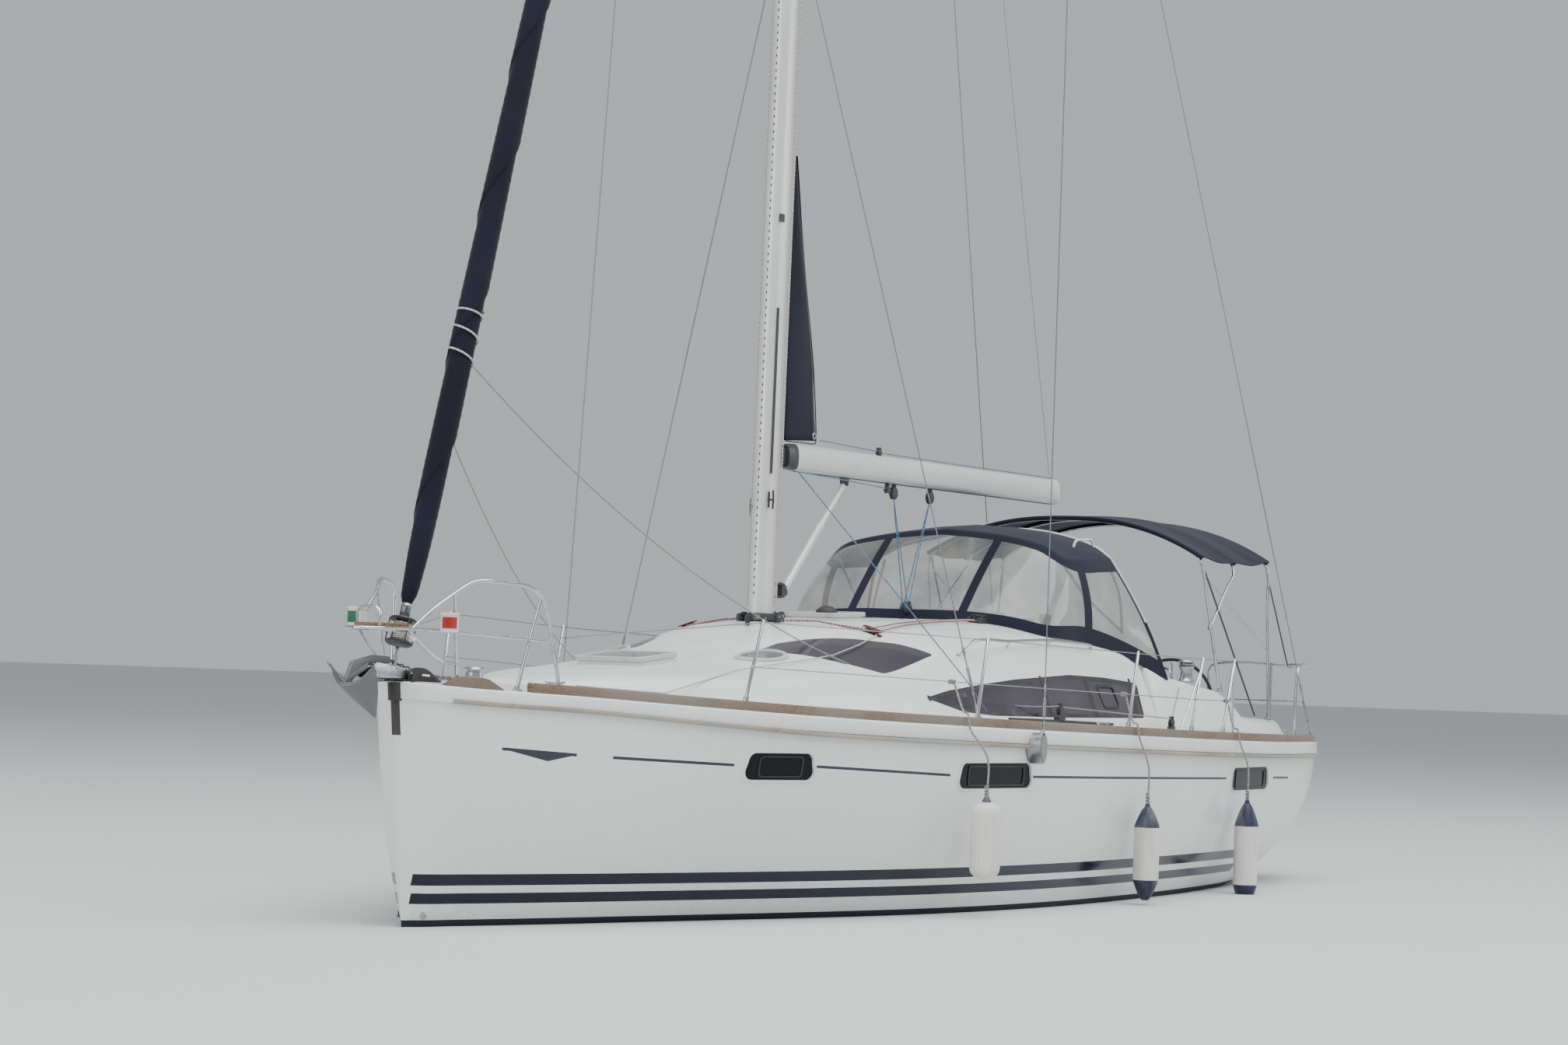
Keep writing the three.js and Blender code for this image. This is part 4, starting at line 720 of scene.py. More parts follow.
# %% Steel, spar, zinc, bronze
def make_steel(name="polished_steel", tone=(0.58, 0.59, 0.6), rough=(0.08, 0.24)):
    f = Finish(name, tone, rough[0], Metallic=1.0)
    smear = f.noise(22.0, 4.0)
    f.set("Base Color", f.mix(f.remap(smear, 0.5, 0.75), tone, tuple(0.72 * c for c in tone)))
    f.set("Roughness", f.remap(smear, 0.35, 0.7, rough[0], rough[1]))
    return f.material


def make_spar():
    f = Finish("spar_alloy", (0.66, 0.67, 0.66), 0.42, Metallic=0.35)
    streak = f.noise(1.0, 5.0, (60.0, 60.0, 1.2))
    broad = f.noise(0.5, 2.0)
    tone = f.mix(f.remap(broad, 0.3, 0.7), (0.62, 0.635, 0.62), (0.7, 0.71, 0.7))
    f.set("Base Color", f.mix(f.times(f.remap(streak, 0.5, 0.8), 0.35), tone, (0.42, 0.42, 0.4)))
    f.set("Roughness", f.remap(streak, 0.3, 0.7, 0.34, 0.5))
    f.bump(streak, 0.08, 0.0005)
    return f.material


def make_zinc():
    f = Finish("galvanised_skin", (0.3, 0.31, 0.32), 0.6, Metallic=0.55)
    cells = f.add("ShaderNodeTexVoronoi", {"Vector": f.place, "Scale": 60.0}, feature="F1").outputs["Distance"]
    stain = f.noise(9.0, 5.0)
    tone = f.mix(f.remap(cells, 0.1, 0.6), (0.13, 0.138, 0.143), (0.19, 0.195, 0.2))
    f.set("Base Color", f.mix(f.times(f.remap(stain, 0.55, 0.75), 0.5), tone, (0.2, 0.17, 0.14)))
    f.set("Roughness", f.remap(cells, 0.1, 0.6, 0.5, 0.72))
    f.bump(f.noise(45.0, 4.0), 0.35, 0.001)
    return f.material


def make_bronze():
    f = Finish("bronze", (0.42, 0.3, 0.14), 0.35, Metallic=1.0)
    stain = f.noise(12.0, 4.0)
    f.set("Base Color", f.mix(f.remap(stain, 0.45, 0.7), (0.45, 0.32, 0.15), (0.2, 0.21, 0.14)))
    f.bump(stain, 0.2, 0.001)
    return f.material


def make_paint(name, tone, rough=0.5, wear=0.25):
    """Plain paint or moulded plastic: a little uneven, and dulled where it is handled."""
    f = Finish(name, tone, rough)
    patch = f.noise(17.0, 4.0)
    f.set("Base Color", f.mix(f.times(f.remap(patch, 0.5, 0.8), wear), tone, tuple(0.5 * c for c in tone)))
    f.set("Roughness", f.remap(patch, 0.3, 0.7, rough * 0.8, min(1.0, rough * 1.25)))
    f.bump(f.noise(300.0, 2.0), 0.08, 0.0004)
    return f.material


print("recipes: steel, spar alloy, zinc, bronze and plain paint")

# %% [markdown]
# ### Cloth, clear vinyl and smoked acrylic
# The covers are navy acrylic canvas: a plain weave, faded where the sun falls, with a soft sheen at grazing
# angles. The dodger's panes are clear vinyl, slightly milky, with slow ripples. The cabin windows are smoked acrylic,
# dark and flat. Both are partly see-through by their alpha, which stays simple for a game or a viewer.

# %% Canvas, vinyl and acrylic
def make_canvas(name, tone, faded, weave=900.0):
    f = Finish(name, tone, 0.88, Sheen_Weight=0.1, Sheen_Roughness=0.4, Specular_IOR_Level=0.25)
    fade = f.noise(1.3, 4.0)
    wrinkle = f.noise(5.0, 3.0, (1.0, 0.6, 0.6))
    dust = f.noise(40.0, 4.0)
    cloth = f.mix(f.remap(fade, 0.35, 0.7), tone, faded)
    f.set("Base Color", f.mix(f.times(f.remap(dust, 0.5, 0.8), 0.3), cloth, faded))
    place = f.scaled((weave, weave, weave))
    warp = f.math("SINE", f.math("ADD", f.axis("X", place), f.axis("Z", place)))
    weft = f.math("SINE", f.math("SUBTRACT", f.axis("Y", place), f.axis("Z", place)))
    folds = f.bump(wrinkle, 0.5, 0.01)
    f.bump(f.times(warp, weft), 0.25, 0.0006, folds)
    return f.material


def make_clear_vinyl():
    f = Finish("clear_vinyl", (0.5, 0.5, 0.5), 0.12, Alpha=0.45, Coat_Weight=0.6, Coat_Roughness=0.05)
    milk = f.noise(2.6, 3.0)
    f.set("Base Color", f.mix(f.remap(milk, 0.3, 0.7), (0.1, 0.12, 0.13), (0.36, 0.35, 0.31)))
    f.set("Alpha", f.remap(milk, 0.3, 0.75, 0.62, 0.45))
    f.bump(f.noise(4.5, 2.0, (1.0, 1.0, 0.5)), 0.5, 0.012)
    return f.material


def make_smoked(name, tone, alpha, low=0.85, coat=0.5):
    f = Finish(
        name, tone, 0.06, Alpha=alpha, Coat_Weight=coat, Coat_Roughness=0.03, Specular_IOR_Level=0.15 + 0.7 * coat
    )
    film = f.noise(3.0, 3.0)
    f.set("Base Color", f.mix(f.remap(film, 0.3, 0.7), tone, tuple(1.35 * c for c in tone)))
    f.set("Alpha", f.remap(film, 0.2, 0.8, alpha * low, min(1.0, alpha * 1.1)))
    f.set("Roughness", f.remap(film, 0.3, 0.7, 0.04, 0.12))
    return f.material


def make_fender_skin(name, tone):
    f = Finish(name, tone, 0.45)
    scuff = f.noise(9.0, 5.0, (1.0, 1.0, 0.25))
    f.set("Base Color", f.mix(f.times(f.remap(scuff, 0.5, 0.75), 0.4), tone, (0.3, 0.3, 0.27)))
    f.set("Roughness", f.remap(scuff, 0.3, 0.7, 0.38, 0.6))
    f.bump(scuff, 0.15, 0.001)
    return f.material


def make_rope(name, tone, fleck, lay=260.0):
    """Braided line: short slanting strands, some of them in a second colour."""
    f = Finish(name, tone, 0.85, Sheen_Weight=0.2)
    strands = f.math("SINE", f.axis("X", f.scaled((lay, lay, lay), (0.5, 0.4, 0.7))))
    thread = f.noise(150.0, 2.0)
    colour = f.mix(f.remap(strands, -0.2, 0.6), tone, tuple(0.7 * c for c in tone))
    f.set("Base Color", f.mix(f.math("GREATER_THAN", thread, 0.62), colour, fleck))
    f.bump(strands, 0.6, 0.001)
    return f.material


print("recipes: canvas, clear vinyl, smoked acrylic, fender skin and rope")

# %% Mix the finishes
TOPSIDES = make_topsides()
DECK_WHITE = make_deck_gelcoat()
NONSKID = make_nonskid()
ANTIFOUL = make_antifoul()
TEAK = make_teak("weathered_teak", (0.2, 0.135, 0.085), (0.215, 0.18, 0.15))
PALE_TEAK = make_teak("pale_strake", (0.4, 0.34, 0.27), (0.44, 0.4, 0.34))
SEAT_TEAK = make_teak("oiled_teak", (0.24, 0.13, 0.06), (0.22, 0.15, 0.09), 0.9)
VARNISH = make_teak("varnished_joinery", (0.22, 0.1, 0.045), (0.19, 0.095, 0.05), 3.0)
STEEL = make_steel()
CHROME_DULL = make_steel("rigging_wire", (0.46, 0.47, 0.48), (0.25, 0.4))
SPAR = make_spar()
ZINC = make_zinc()
BRONZE = make_bronze()
ENGINE = make_paint("engine_paint", (0.16, 0.185, 0.2))
CANVAS = make_canvas("navy_canvas", (0.004, 0.005, 0.015), (0.01, 0.012, 0.028))
ROLL_CLOTH = make_canvas("roll_cloth", (0.0045, 0.0052, 0.014), (0.009, 0.01, 0.024))
CURTAIN = make_canvas("curtain_cloth", (0.5, 0.47, 0.52), (0.62, 0.6, 0.64))
VINYL = make_clear_vinyl()
SMOKED = make_smoked("smoked_acrylic", (0.04, 0.03, 0.046), 0.62)
DARK_GLASS = make_smoked("dark_glass", (0.005, 0.005, 0.007), 0.98, 1.0, 0.0)
FENDER_WHITE = make_fender_skin("fender_white", (0.7, 0.69, 0.64))
FENDER_NAVY = make_fender_skin("fender_navy", (0.008, 0.013, 0.045))
BLACK = make_paint("black_plastic", (0.012, 0.012, 0.013), 0.45)
BAND_GREY = make_paint("band_grey", (0.035, 0.033, 0.034), 0.5)
GREY = make_paint("grey_plastic", (0.22, 0.225, 0.22), 0.5)
WHITE_PLASTIC = make_paint("white_plastic", (0.72, 0.71, 0.68), 0.4)
RUBBER = make_paint("black_rubber", (0.018, 0.018, 0.018), 0.75)
ROPE_WHITE = make_rope("white_rope", (0.56, 0.54, 0.48), (0.3, 0.29, 0.26))
ROPE_BLUE = make_rope("blue_rope", (0.045, 0.13, 0.26), (0.4, 0.44, 0.46))
ROPE_RED = make_rope("red_rope", (0.16, 0.02, 0.018), (0.4, 0.36, 0.33))
ROPE_GREY = make_rope("grey_rope", (0.28, 0.28, 0.265), (0.1, 0.1, 0.12))
print("finishes:", len(bpy.data.materials))
# %% [markdown]
# ## Shapes that follow a rule
# Some things on a boat repeat, or wind round a path: stitches, chain links, deck slats, the strands of a
# rope, the turns of a furled sail. They are grown by Geometry Nodes. Each tree is built here once, with its
# sizes as named inputs. A piece is grown by giving a path and its sizes, and the result is kept as a plain mesh.

# %% A short way to build a tree


class Tree:
    """A geometry node tree whose sizes are named inputs."""

    def __init__(self, name, **sizes):
        self.tree = bpy.data.node_groups.new(name, "GeometryNodeTree")
        self.tree.is_modifier = True
        sockets = self.tree.interface
        sockets.new_socket("Path", in_out="INPUT", socket_type="NodeSocketGeometry")
        for label, value in sizes.items():
            kind = "NodeSocketInt" if isinstance(value, int) else "NodeSocketFloat"
            sockets.new_socket(label, in_out="INPUT", socket_type=kind).default_value = value
        sockets.new_socket("Finish", in_out="INPUT", socket_type="NodeSocketMaterial")
        sockets.new_socket("Result", in_out="OUTPUT", socket_type="NodeSocketGeometry")
        self.start = self.tree.nodes.new("NodeGroupInput").outputs
        self.end = self.tree.nodes.new("NodeGroupOutput").inputs

    def plug(self, socket, value):
        if isinstance(value, bpy.types.NodeSocket):
            self.tree.links.new(value, socket)
        else:
            socket.default_value = value

    def add(self, kind, inputs=(), **properties):
        node = self.tree.nodes.new(kind)
        for key, value in properties.items():
            setattr(node, key, value)
        for key, value in dict(inputs).items():
            self.plug(node.inputs[key], value)
        return node.outputs

    def math(self, operation, *values):
        return self.add("ShaderNodeMath", dict(enumerate(values)), operation=operation)[0]

    def times(self, a, b):
        return self.math("MULTIPLY", a, b)

    def stretched(self, vector, by):
        return self.add("ShaderNodeVectorMath", {0: vector, "Scale": by}, operation="SCALE")[0]

    def turned_each_second(self, spots, angle):
        """Rotations of points along a curve, where every second one is turned by an angle about the curve."""
        odd = self.math("MODULO", self.add("GeometryNodeInputIndex")[0], 2.0)
        spin = self.add("FunctionNodeAxisAngleToRotation", {"Axis": (0, 0, 1), "Angle": self.times(odd, angle)})[0]
        return self.add("FunctionNodeRotateRotation", {0: spots["Rotation"], 1: spin}, rotation_space="LOCAL")[0]

    def close(self, geometry):
        """Ends the tree: real geometry, with the finish that was asked for."""
        real = self.add("GeometryNodeRealizeInstances", {0: geometry})[0]
        done = self.add("GeometryNodeSetMaterial", {"Geometry": real, "Material": self.start["Finish"]})[0]
        self.plug(self.end[0], done)
        return self


def path_object(paths):
    """A mesh of bare edges for a tree to grow on."""
    points, edges = [], []
    for path in paths:
        base = len(points)
        points += [tuple(p) for p in path]
        edges += [(base + i, base + i + 1) for i in range(len(path) - 1)]
    mesh = bpy.data.meshes.new("path")
    mesh.from_pydata(points, edges, [])
    obj = bpy.data.objects.new("path", mesh)
    bpy.context.scene.collection.objects.link(obj)
    return obj


def grow(tree, name, paths, finish, **sizes):
    """Runs a tree on paths and keeps what it makes as a plain mesh object."""
    obj = path_object(paths)
    obj.name = name
    mod = obj.modifiers.new("grow", "NODES")
    mod.node_group = tree.tree
    for item in tree.tree.interface.items_tree:
        if item.in_out == "INPUT" and item.name in sizes:
            mod[item.identifier] = sizes[item.name]
        if item.in_out == "INPUT" and item.name == "Finish":
            mod[item.identifier] = finish
    return settle(obj)


print("a tree takes a path, its sizes and a finish")

# %% [markdown]
# The first tree sets an item at even steps along a path, turned to lie along it. The item is a
# short bar of six sides, because some seams have thousands of stitches. The second tree does the same with
# oval links, and turns every second one a quarter about the path, which is how the links of a chain lie.

# %% Items along a path


def items_along():
    t = Tree("items_along_path", Step=0.01, Long=0.006, Thick=0.002, Turn=0.0, Flat=1.0)
    line = t.add("GeometryNodeMeshToCurve", {0: t.start["Path"]})[0]
    spots = t.add("GeometryNodeCurveToPoints", {0: line, "Length": t.start["Step"]}, mode="LENGTH")
    bar_mesh = t.add(
        "GeometryNodeMeshCylinder", {"Vertices": 6, "Radius": t.start["Thick"], "Depth": t.start["Long"]}
    )[0]
    turn = t.turned_each_second(spots, t.start["Turn"])
    size = t.add("ShaderNodeCombineXYZ", {0: 1.0, 1: t.start["Flat"], 2: 1.0})[0]
    items = t.add(
        "GeometryNodeInstanceOnPoints",
        {"Points": spots["Points"], "Instance": bar_mesh, "Rotation": turn, "Scale": size},
    )[0]
    return t.close(items)


def links_along():
    t = Tree("chain_links", Step=0.03, Long=0.014, Thick=0.004)
    line = t.add("GeometryNodeMeshToCurve", {0: t.start["Path"]})[0]
    spots = t.add("GeometryNodeCurveToPoints", {0: line, "Length": t.start["Step"]}, mode="LENGTH")
    ring = t.add("GeometryNodeCurvePrimitiveCircle", {"Resolution": 12, "Radius": t.start["Long"]})[0]
    oval = t.add("GeometryNodeTransform", {0: ring, "Scale": (0.72, 1.45, 1.0), "Rotation": (pi / 2, 0, 0)})[0]
    wire = t.add("GeometryNodeCurvePrimitiveCircle", {"Resolution": 6, "Radius": t.start["Thick"]})[0]
    link = t.add("GeometryNodeCurveToMesh", {0: oval, 1: wire})[0]
    turn = t.turned_each_second(spots, pi / 2)
    items = t.add("GeometryNodeInstanceOnPoints", {"Points": spots["Points"], "Instance": link, "Rotation": turn})[0]
    return t.close(items)


print("two trees set items along a path")

# %% [markdown]
# The third tree lays a rope. The path is copied once for each strand, every copy is pushed off the path in a
# direction that turns as it goes along, and a round section is swept along each.

# %% Laid rope


def laid_rope():
    t = Tree("laid_rope", Radius=0.005, Pitch=0.03, Strands=3, Detail=0.004)
    line = t.add("GeometryNodeMeshToCurve", {0: t.start["Path"]})[0]
    fine = t.add("GeometryNodeResampleCurve", {0: line, "Length": t.start["Detail"]}, mode="LENGTH")[0]
    copies = t.add("GeometryNodeDuplicateElements", {0: fine, "Amount": t.start["Strands"]}, domain="SPLINE")
    along_path = t.add("GeometryNodeSplineParameter")["Length"]
    share = t.math("DIVIDE", copies["Duplicate Index"], t.start["Strands"])
    turns = t.math("ADD", t.math("DIVIDE", along_path, t.start["Pitch"]), share)
    angle = t.times(turns, tau)
    normal = t.add("GeometryNodeInputNormal")["Normal"]
    tangent = t.add("GeometryNodeInputTangent")[0]
    turned_normal = t.add("ShaderNodeVectorRotate", {"Vector": normal, "Axis": tangent, "Angle": angle})[0]
    out = t.stretched(turned_normal, t.times(t.start["Radius"], 0.5))
    laid = t.add("GeometryNodeSetPosition", {"Geometry": copies["Geometry"], "Offset": out})[0]
    section = t.add(
        "GeometryNodeCurvePrimitiveCircle", {"Resolution": 6, "Radius": t.times(t.start["Radius"], 0.56)}
    )[0]
    strands = t.add("GeometryNodeCurveToMesh", {0: laid, 1: section, "Fill Caps": True})[0]
    return t.close(strands)


ITEMS, LINKS, ROPE = items_along(), links_along(), laid_rope()


def grown_piece(tree, name, paths, finish, slot, body="yacht", **sizes):
    obj = grow(tree, name, paths, finish, **sizes)
    return dress(obj, finish, body, crease=60)


print("trees:", [g.name for g in bpy.data.node_groups])
# %% [markdown]
# ## The hull
# A yacht's hull is drawn as sections across the boat. The table has thirteen of them, from the transom to the
# stem. Between them each column is read off a smooth curve, as a boatbuilder bends a batten through
# marks, so the skin has no flats. The rake leans a section forward as it rises, which gives the stem its line.

# %% The hull's lines
# x, half breadth at the deck, sheer height, bottom height, fullness, rake
STATIONS = np.array(
    [
        (-6.2, 1.56, 1.21, 0.06, 2.5, 0.0),
        (-5.6, 1.74, 1.22, -0.03, 2.8, 0.0),
        (-4.6, 1.88, 1.225, -0.18, 3.3, 0.0),
        (-3.2, 2.0, 1.245, -0.38, 3.2, 0.0),
        (-1.6, 2.06, 1.275, -0.54, 3.1, 0.0),
        (0.0, 2.045, 1.31, -0.62, 3.0, 0.0),
        (1.5, 1.91, 1.345, -0.6, 2.7, 0.0),
        (3.0, 1.6, 1.39, -0.48, 2.25, 0.01),
        (4.2, 1.165, 1.445, -0.34, 2.1, 0.05),
        (5.05, 0.74, 1.495, -0.24, 2.15, 0.11),
        (5.63, 0.385, 1.525, -0.12, 2.2, 0.165),
        (5.93, 0.15, 1.548, -0.04, 2.2, 0.185),
        (6.005, 0.022, 1.556, 0.0, 2.2, 0.19),
    ]
)
TRANSOM_X, STEM_X = STATIONS[0, 0], STATIONS[-1, 0]
STEM_ROUND = 0.025  # length of the rounded stem
NOSE_X = STEM_X - STEM_ROUND
DECK_CAMBER = 0.09


class Section:
    """One section of the hull."""

    def __init__(self, x):
        at = min(x, STEM_X)
        columns = [fair(STATIONS[:, 0], STATIONS[:, k], at) for k in range(1, 6)]
        self.half, self.sheer, self.bottom, self.full, self.rake = [float(c) for c in columns]
        self.x = x
        if x > NOSE_X:
            self.half *= sqrt(max(0.0, 1 - ((x - NOSE_X) / STEM_ROUND) ** 2)) + 0.002

    def lean(self, z):
        return self.x + self.rake * z / self.sheer

    def breadth(self, z):
        u = min(max((z - self.bottom) / (self.sheer - self.bottom), 0.0), 1.0)
        return self.half * (1 - (1 - u) ** self.full) ** (1 / self.full)

    def skin(self, z, side=1, out=0.0):
        return (self.lean(z), side * (self.breadth(z) + out), z)

    def deck(self, y):
        """Height of the deck at y."""
        return self.sheer + 0.022 + DECK_CAMBER * self.half * (1 - (y / self.half) ** 2)


def section_over(deck_x):
    """The section whose sheer stands at an x of the deck."""
    x = deck_x
    for _ in range(8):
        x = deck_x - Section(x).rake
    return Section(x)


def deck_height(x, y):
    return section_over(x).deck(abs(y))


def hull_side(x, z, side=1, out=0.0):
    """A point of the hull's side at x and z."""
    at = x
    for _ in range(6):
        at = x - Section(at).rake * z / Section(at).sheer
    return Section(at).skin(z, side, out)


def hull_stations(spacing=0.11):
    plain = list(np.arange(TRANSOM_X, 5.0, spacing))
    fore = list(np.linspace(5.0, NOSE_X, 16))
    nose = [NOSE_X + STEM_ROUND * k for k in (0.35, 0.7, 0.9, 1.0)]
    return plain + fore + nose


UP_THE_SIDE = 30
print("hull from", TRANSOM_X, "to", STEM_X + float(STATIONS[-1, 5]))

# %% [markdown]
# The skin is a closed loft. The cabins, the cockpit's bay, the walkway and the swim platform are then cut out
# of it, as in the solid that it stands for. The six portlights are shallow pockets in the side, with a frame and
# a dark pane in each.

# %% Hull skin
OVER_ALL = 4.0
# low and high corner of each space inside the boat
HULL_SPACES = [
    (-2.6, 1.5, -1.25, 1.25, -0.25, OVER_ALL),
    (1.499, 3.9, -0.5, 0.5, 0.1, OVER_ALL),
    (-5.78, -2.59, -0.33, 0.33, 1.15, OVER_ALL),
    (-5.78, -2.78, -1.4, 1.4, 0.6, OVER_ALL),
    (-6.4, -5.73, -0.45, 0.45, 0.72, OVER_ALL),
    (-6.4, -5.95, -0.62, 0.62, 0.36, OVER_ALL),
]
# aft end, fore end, foot and head of each portlight
PORTLIGHTS = [(3.27, 3.87, 0.98, 1.165), (0.78, 1.74, 0.92, 1.105), (-4.13, -3.13, 0.85, 1.04)]
PORTLIGHT_ROUND = 0.06


def hull_ring(s):
    heights = [s.bottom + (s.sheer - s.bottom) * (k / UP_THE_SIDE) ** 1.6 for k in range(1, UP_THE_SIDE + 1)]
    side = [s.skin(z) for z in heights]
    return [(s.lean(s.bottom), 0, s.bottom), *side, *sided(side, -1)[::-1]]


def portlight_outline(x0, x1, z0, z1, grow=0.0, steps=5):
    """A rounded window with raked ends, as x and z."""
    x0, x1, z0, z1 = x0 - grow, x1 + grow, z0 - grow, z1 + grow
    r = PORTLIGHT_ROUND + grow
    slant = 0.018
    outline = []
    corners = ((x1 - r, z1 - r, 0, -slant), (x0 + r, z1 - r, 1, slant), (x0 + r, z0 + r, 2, 0), (x1 - r, z0 + r, 3, 0))
    for cx, cz, start, lean in corners:
        for k in range(steps + 1):
            a = pi / 2 * (start + k / steps)
            outline.append((cx + lean + r * cos(a), cz + r * sin(a)))
    return outline


def side_plate(outline, side, low, high):
    """A plate that lies on the hull's side between two distances out from the skin."""
    rings = [[hull_side(x, z, side, out) for x, z in outline] for out in (low, high)]
    return loft(rings)


def make_hull():
    skin = loft([hull_ring(Section(x)) for x in hull_stations()])
    obj = new_object("hull_skin", *skin)
    outwards(obj)
    cut(obj, [block(*space) for space in HULL_SPACES])
    stock_bore = bar((-5.15, 0, -0.6), (-5.15, 0, 0.26), 0.052, 24)
    pockets = [
        side_plate(portlight_outline(*port), side, -0.022, 0.05) for port in PORTLIGHTS for side in SIDES.values()
    ]
    cut(obj, [stock_bore, *pockets])
    return dress(obj, TOPSIDES, stands_for=["hull"], crease=38)


hull = make_hull()
print("hull:", len(hull.data.polygons), "faces")

# %% Portlights


def frame_ring(outline, wide, side, low, high):
    """A flat ring around an outline on the hull's side."""
    rings = []
    for grow, out in ((0.0, low), (wide, low), (wide, high), (0.0, high), (0.0, low)):
        ring = portlight_outline(*outline, grow=grow)
        rings.append([hull_side(x, z, side, out) for x, z in ring])
    return merged(*loft(rings, caps=False))


def opening_bar(x0, x1, z0, z1, side):
    """The thin black rim of the part of a portlight that opens."""
    rings = []
    for by, out in ((0.0, -0.009), (0.01, -0.009), (0.01, -0.002), (0.0, -0.002), (0.0, -0.009)):
        corners = oblong(x0 - by, x1 + by, z0 - by, z1 + by)
        rings.append([hull_side(x, z, side, out) for x, z in eased_outline(corners, 0.03)])
    return merged(*loft(rings, caps=False))


def make_portlights():
    for name, side in SIDES.items():
        frames, panes, bars = [], [], []
        for x0, x1, z0, z1 in PORTLIGHTS:
            frames.append(frame_ring((x0, x1, z0, z1), 0.016, side, -0.004, 0.007))
            panes.append(side_plate(portlight_outline(x0, x1, z0, z1, grow=-0.004), side, -0.018, -0.007))
            bars.append(opening_bar(x0 + 0.11, x1 - 0.13, z0 + 0.028, z1 - 0.03, side))
        piece("portlight_frames_" + name, frames, WHITE_PLASTIC)
        piece("portlight_panes_" + name, panes, DARK_GLASS)
        piece("portlight_bars_" + name, bars, BLACK)


make_portlights()
print("portlights:", 2 * len(PORTLIGHTS))
# %% [markdown]
# ## The deck
# The deck is a second moulding. It lies on the hull like the lid of a box, and its flange turns down over
# the hull's edge as the broad white band under the rail. The lid is lofted from sections as the hull is,
# with a rounded shoulder where it turns down. The same openings are cut out of it.

# %% Deck lid
FLANGE_OUT, FLANGE_DEPTH, FLANGE_CLEAR, DECK_EDGE = 0.024, 0.085, 0.002, 0.022
LID_NOSE = 0.04
LID_FORE = STEM_X - LID_NOSE + 0.008
SHOULDER = 0.016


def lid_edge(s):
    """How far out the flange stands at a section, rounded off at the bow."""
    wide = float(fair(STATIONS[:, 0], STATIONS[:, 1], min(s.x, STEM_X))) + FLANGE_OUT
    if s.x <= LID_FORE:
        return wide
    return wide * sqrt(max(0.0, 1 - ((s.x - LID_FORE) / LID_NOSE) ** 2)) + 0.001


def deck_ring(s):
    edge = lid_edge(s)
    inner = max(edge - FLANGE_OUT + FLANGE_CLEAR, edge * 0.3)
    shoulder = min(SHOULDER, edge * 0.5)
    fore, foot, top = s.lean(s.sheer), s.sheer - FLANGE_DEPTH, s.sheer + DECK_EDGE
    side = [(fore, inner, s.sheer + 0.0004), (s.lean(foot), inner, foot)]
    side += [(s.lean(foot), edge - 0.004, foot), (s.lean(foot), edge, foot + 0.004)]
    for k in range(5):
        a = pi / 2 * k / 4
        out = edge - shoulder * (1 - cos(a))
        side.append((fore, out, top - shoulder * (1 - sin(a))))
    span = edge - shoulder
    for k in range(1, 9):
        y = span * (1 - k / 9)
        side.append((fore, y, top + DECK_CAMBER * span * (1 - (y / span) ** 2)))
    middle = (fore, 0, top + DECK_CAMBER * span)
    return [*side, middle, *sided(side, -1)[::-1]]


DECK_OPENINGS = [
    (-2.6, 1.5, -1.18, 1.18, 0, OVER_ALL),
    (1.499, 3.85, -0.46, 0.46, 0, OVER_ALL),
    (-5.78, -2.59, -0.33, 0.33, 1.15, OVER_ALL),
    (-5.78, -2.78, -1.52, 1.52, 0, OVER_ALL),
    (-6.4, -5.73, -0.45, 0.45, 0.72, OVER_ALL),
    (-6.4, -5.95, -0.62, 0.62, 0.36, OVER_ALL),
]


def make_deck():
    nose = [LID_FORE + LID_NOSE * k for k in (0.3, 0.6, 0.85, 0.97, 1.0)]
    stations = [x for x in hull_stations() if x <= LID_FORE] + nose
    obj = new_object("deck_lid", *loft([deck_ring(Section(x)) for x in stations]))
    outwards(obj)
    cut(obj, [block(*space) for space in DECK_OPENINGS])
    return dress(obj, DECK_WHITE, stands_for=["deck"], crease=50)


deck = make_deck()
print("deck:", len(deck.data.polygons), "faces")

# %% [markdown]
# Where people walk the moulding has panels of grip, parted by smooth waterways. Each panel is a thin sheet that
# follows the deck's camber, a millimetre and a half over it.

# %% Grip panels
ROOF_FOOT_X = (-2.74, -1.0, 0.15, 0.8, 1.5, 2.6, 3.3, 4.25, 4.9)
ROOF_FOOT_Y = (1.53, 1.55, 1.53, 1.49, 1.43, 1.225, 1.03, 0.7, 0.24)
GRIP_RISE = 0.0015
# aft and fore end of each panel of the side deck
SIDE_PANELS = [(-5.3, -4.45), (-4.38, -2.9), (-2.8, -0.95), (-0.88, 0.55), (1.1, 2.6), (2.68, 3.9)]
FORE_PANELS = [(4.02, 4.62), (4.7, 5.2)]


def deck_patch(x0, x1, inner, outer, rows=12, across=6):
    """A thin panel on the deck between two x, with its edges given as functions of x."""
    points = []
    for i in range(rows + 1):
        x = x0 + (x1 - x0) * i / rows
        trim = 0.03 if i in (0, rows) else 0.0
        for k in range(across + 1):
            y = inner(x) + trim + (outer(x) - inner(x) - 2 * trim) * k / across
            rise = 0.0 if k in (0, across) or i in (0, rows) else GRIP_RISE
            points.append((x, y, deck_height(x, y) + rise))
    return points, grid(rows + 1, across + 1)


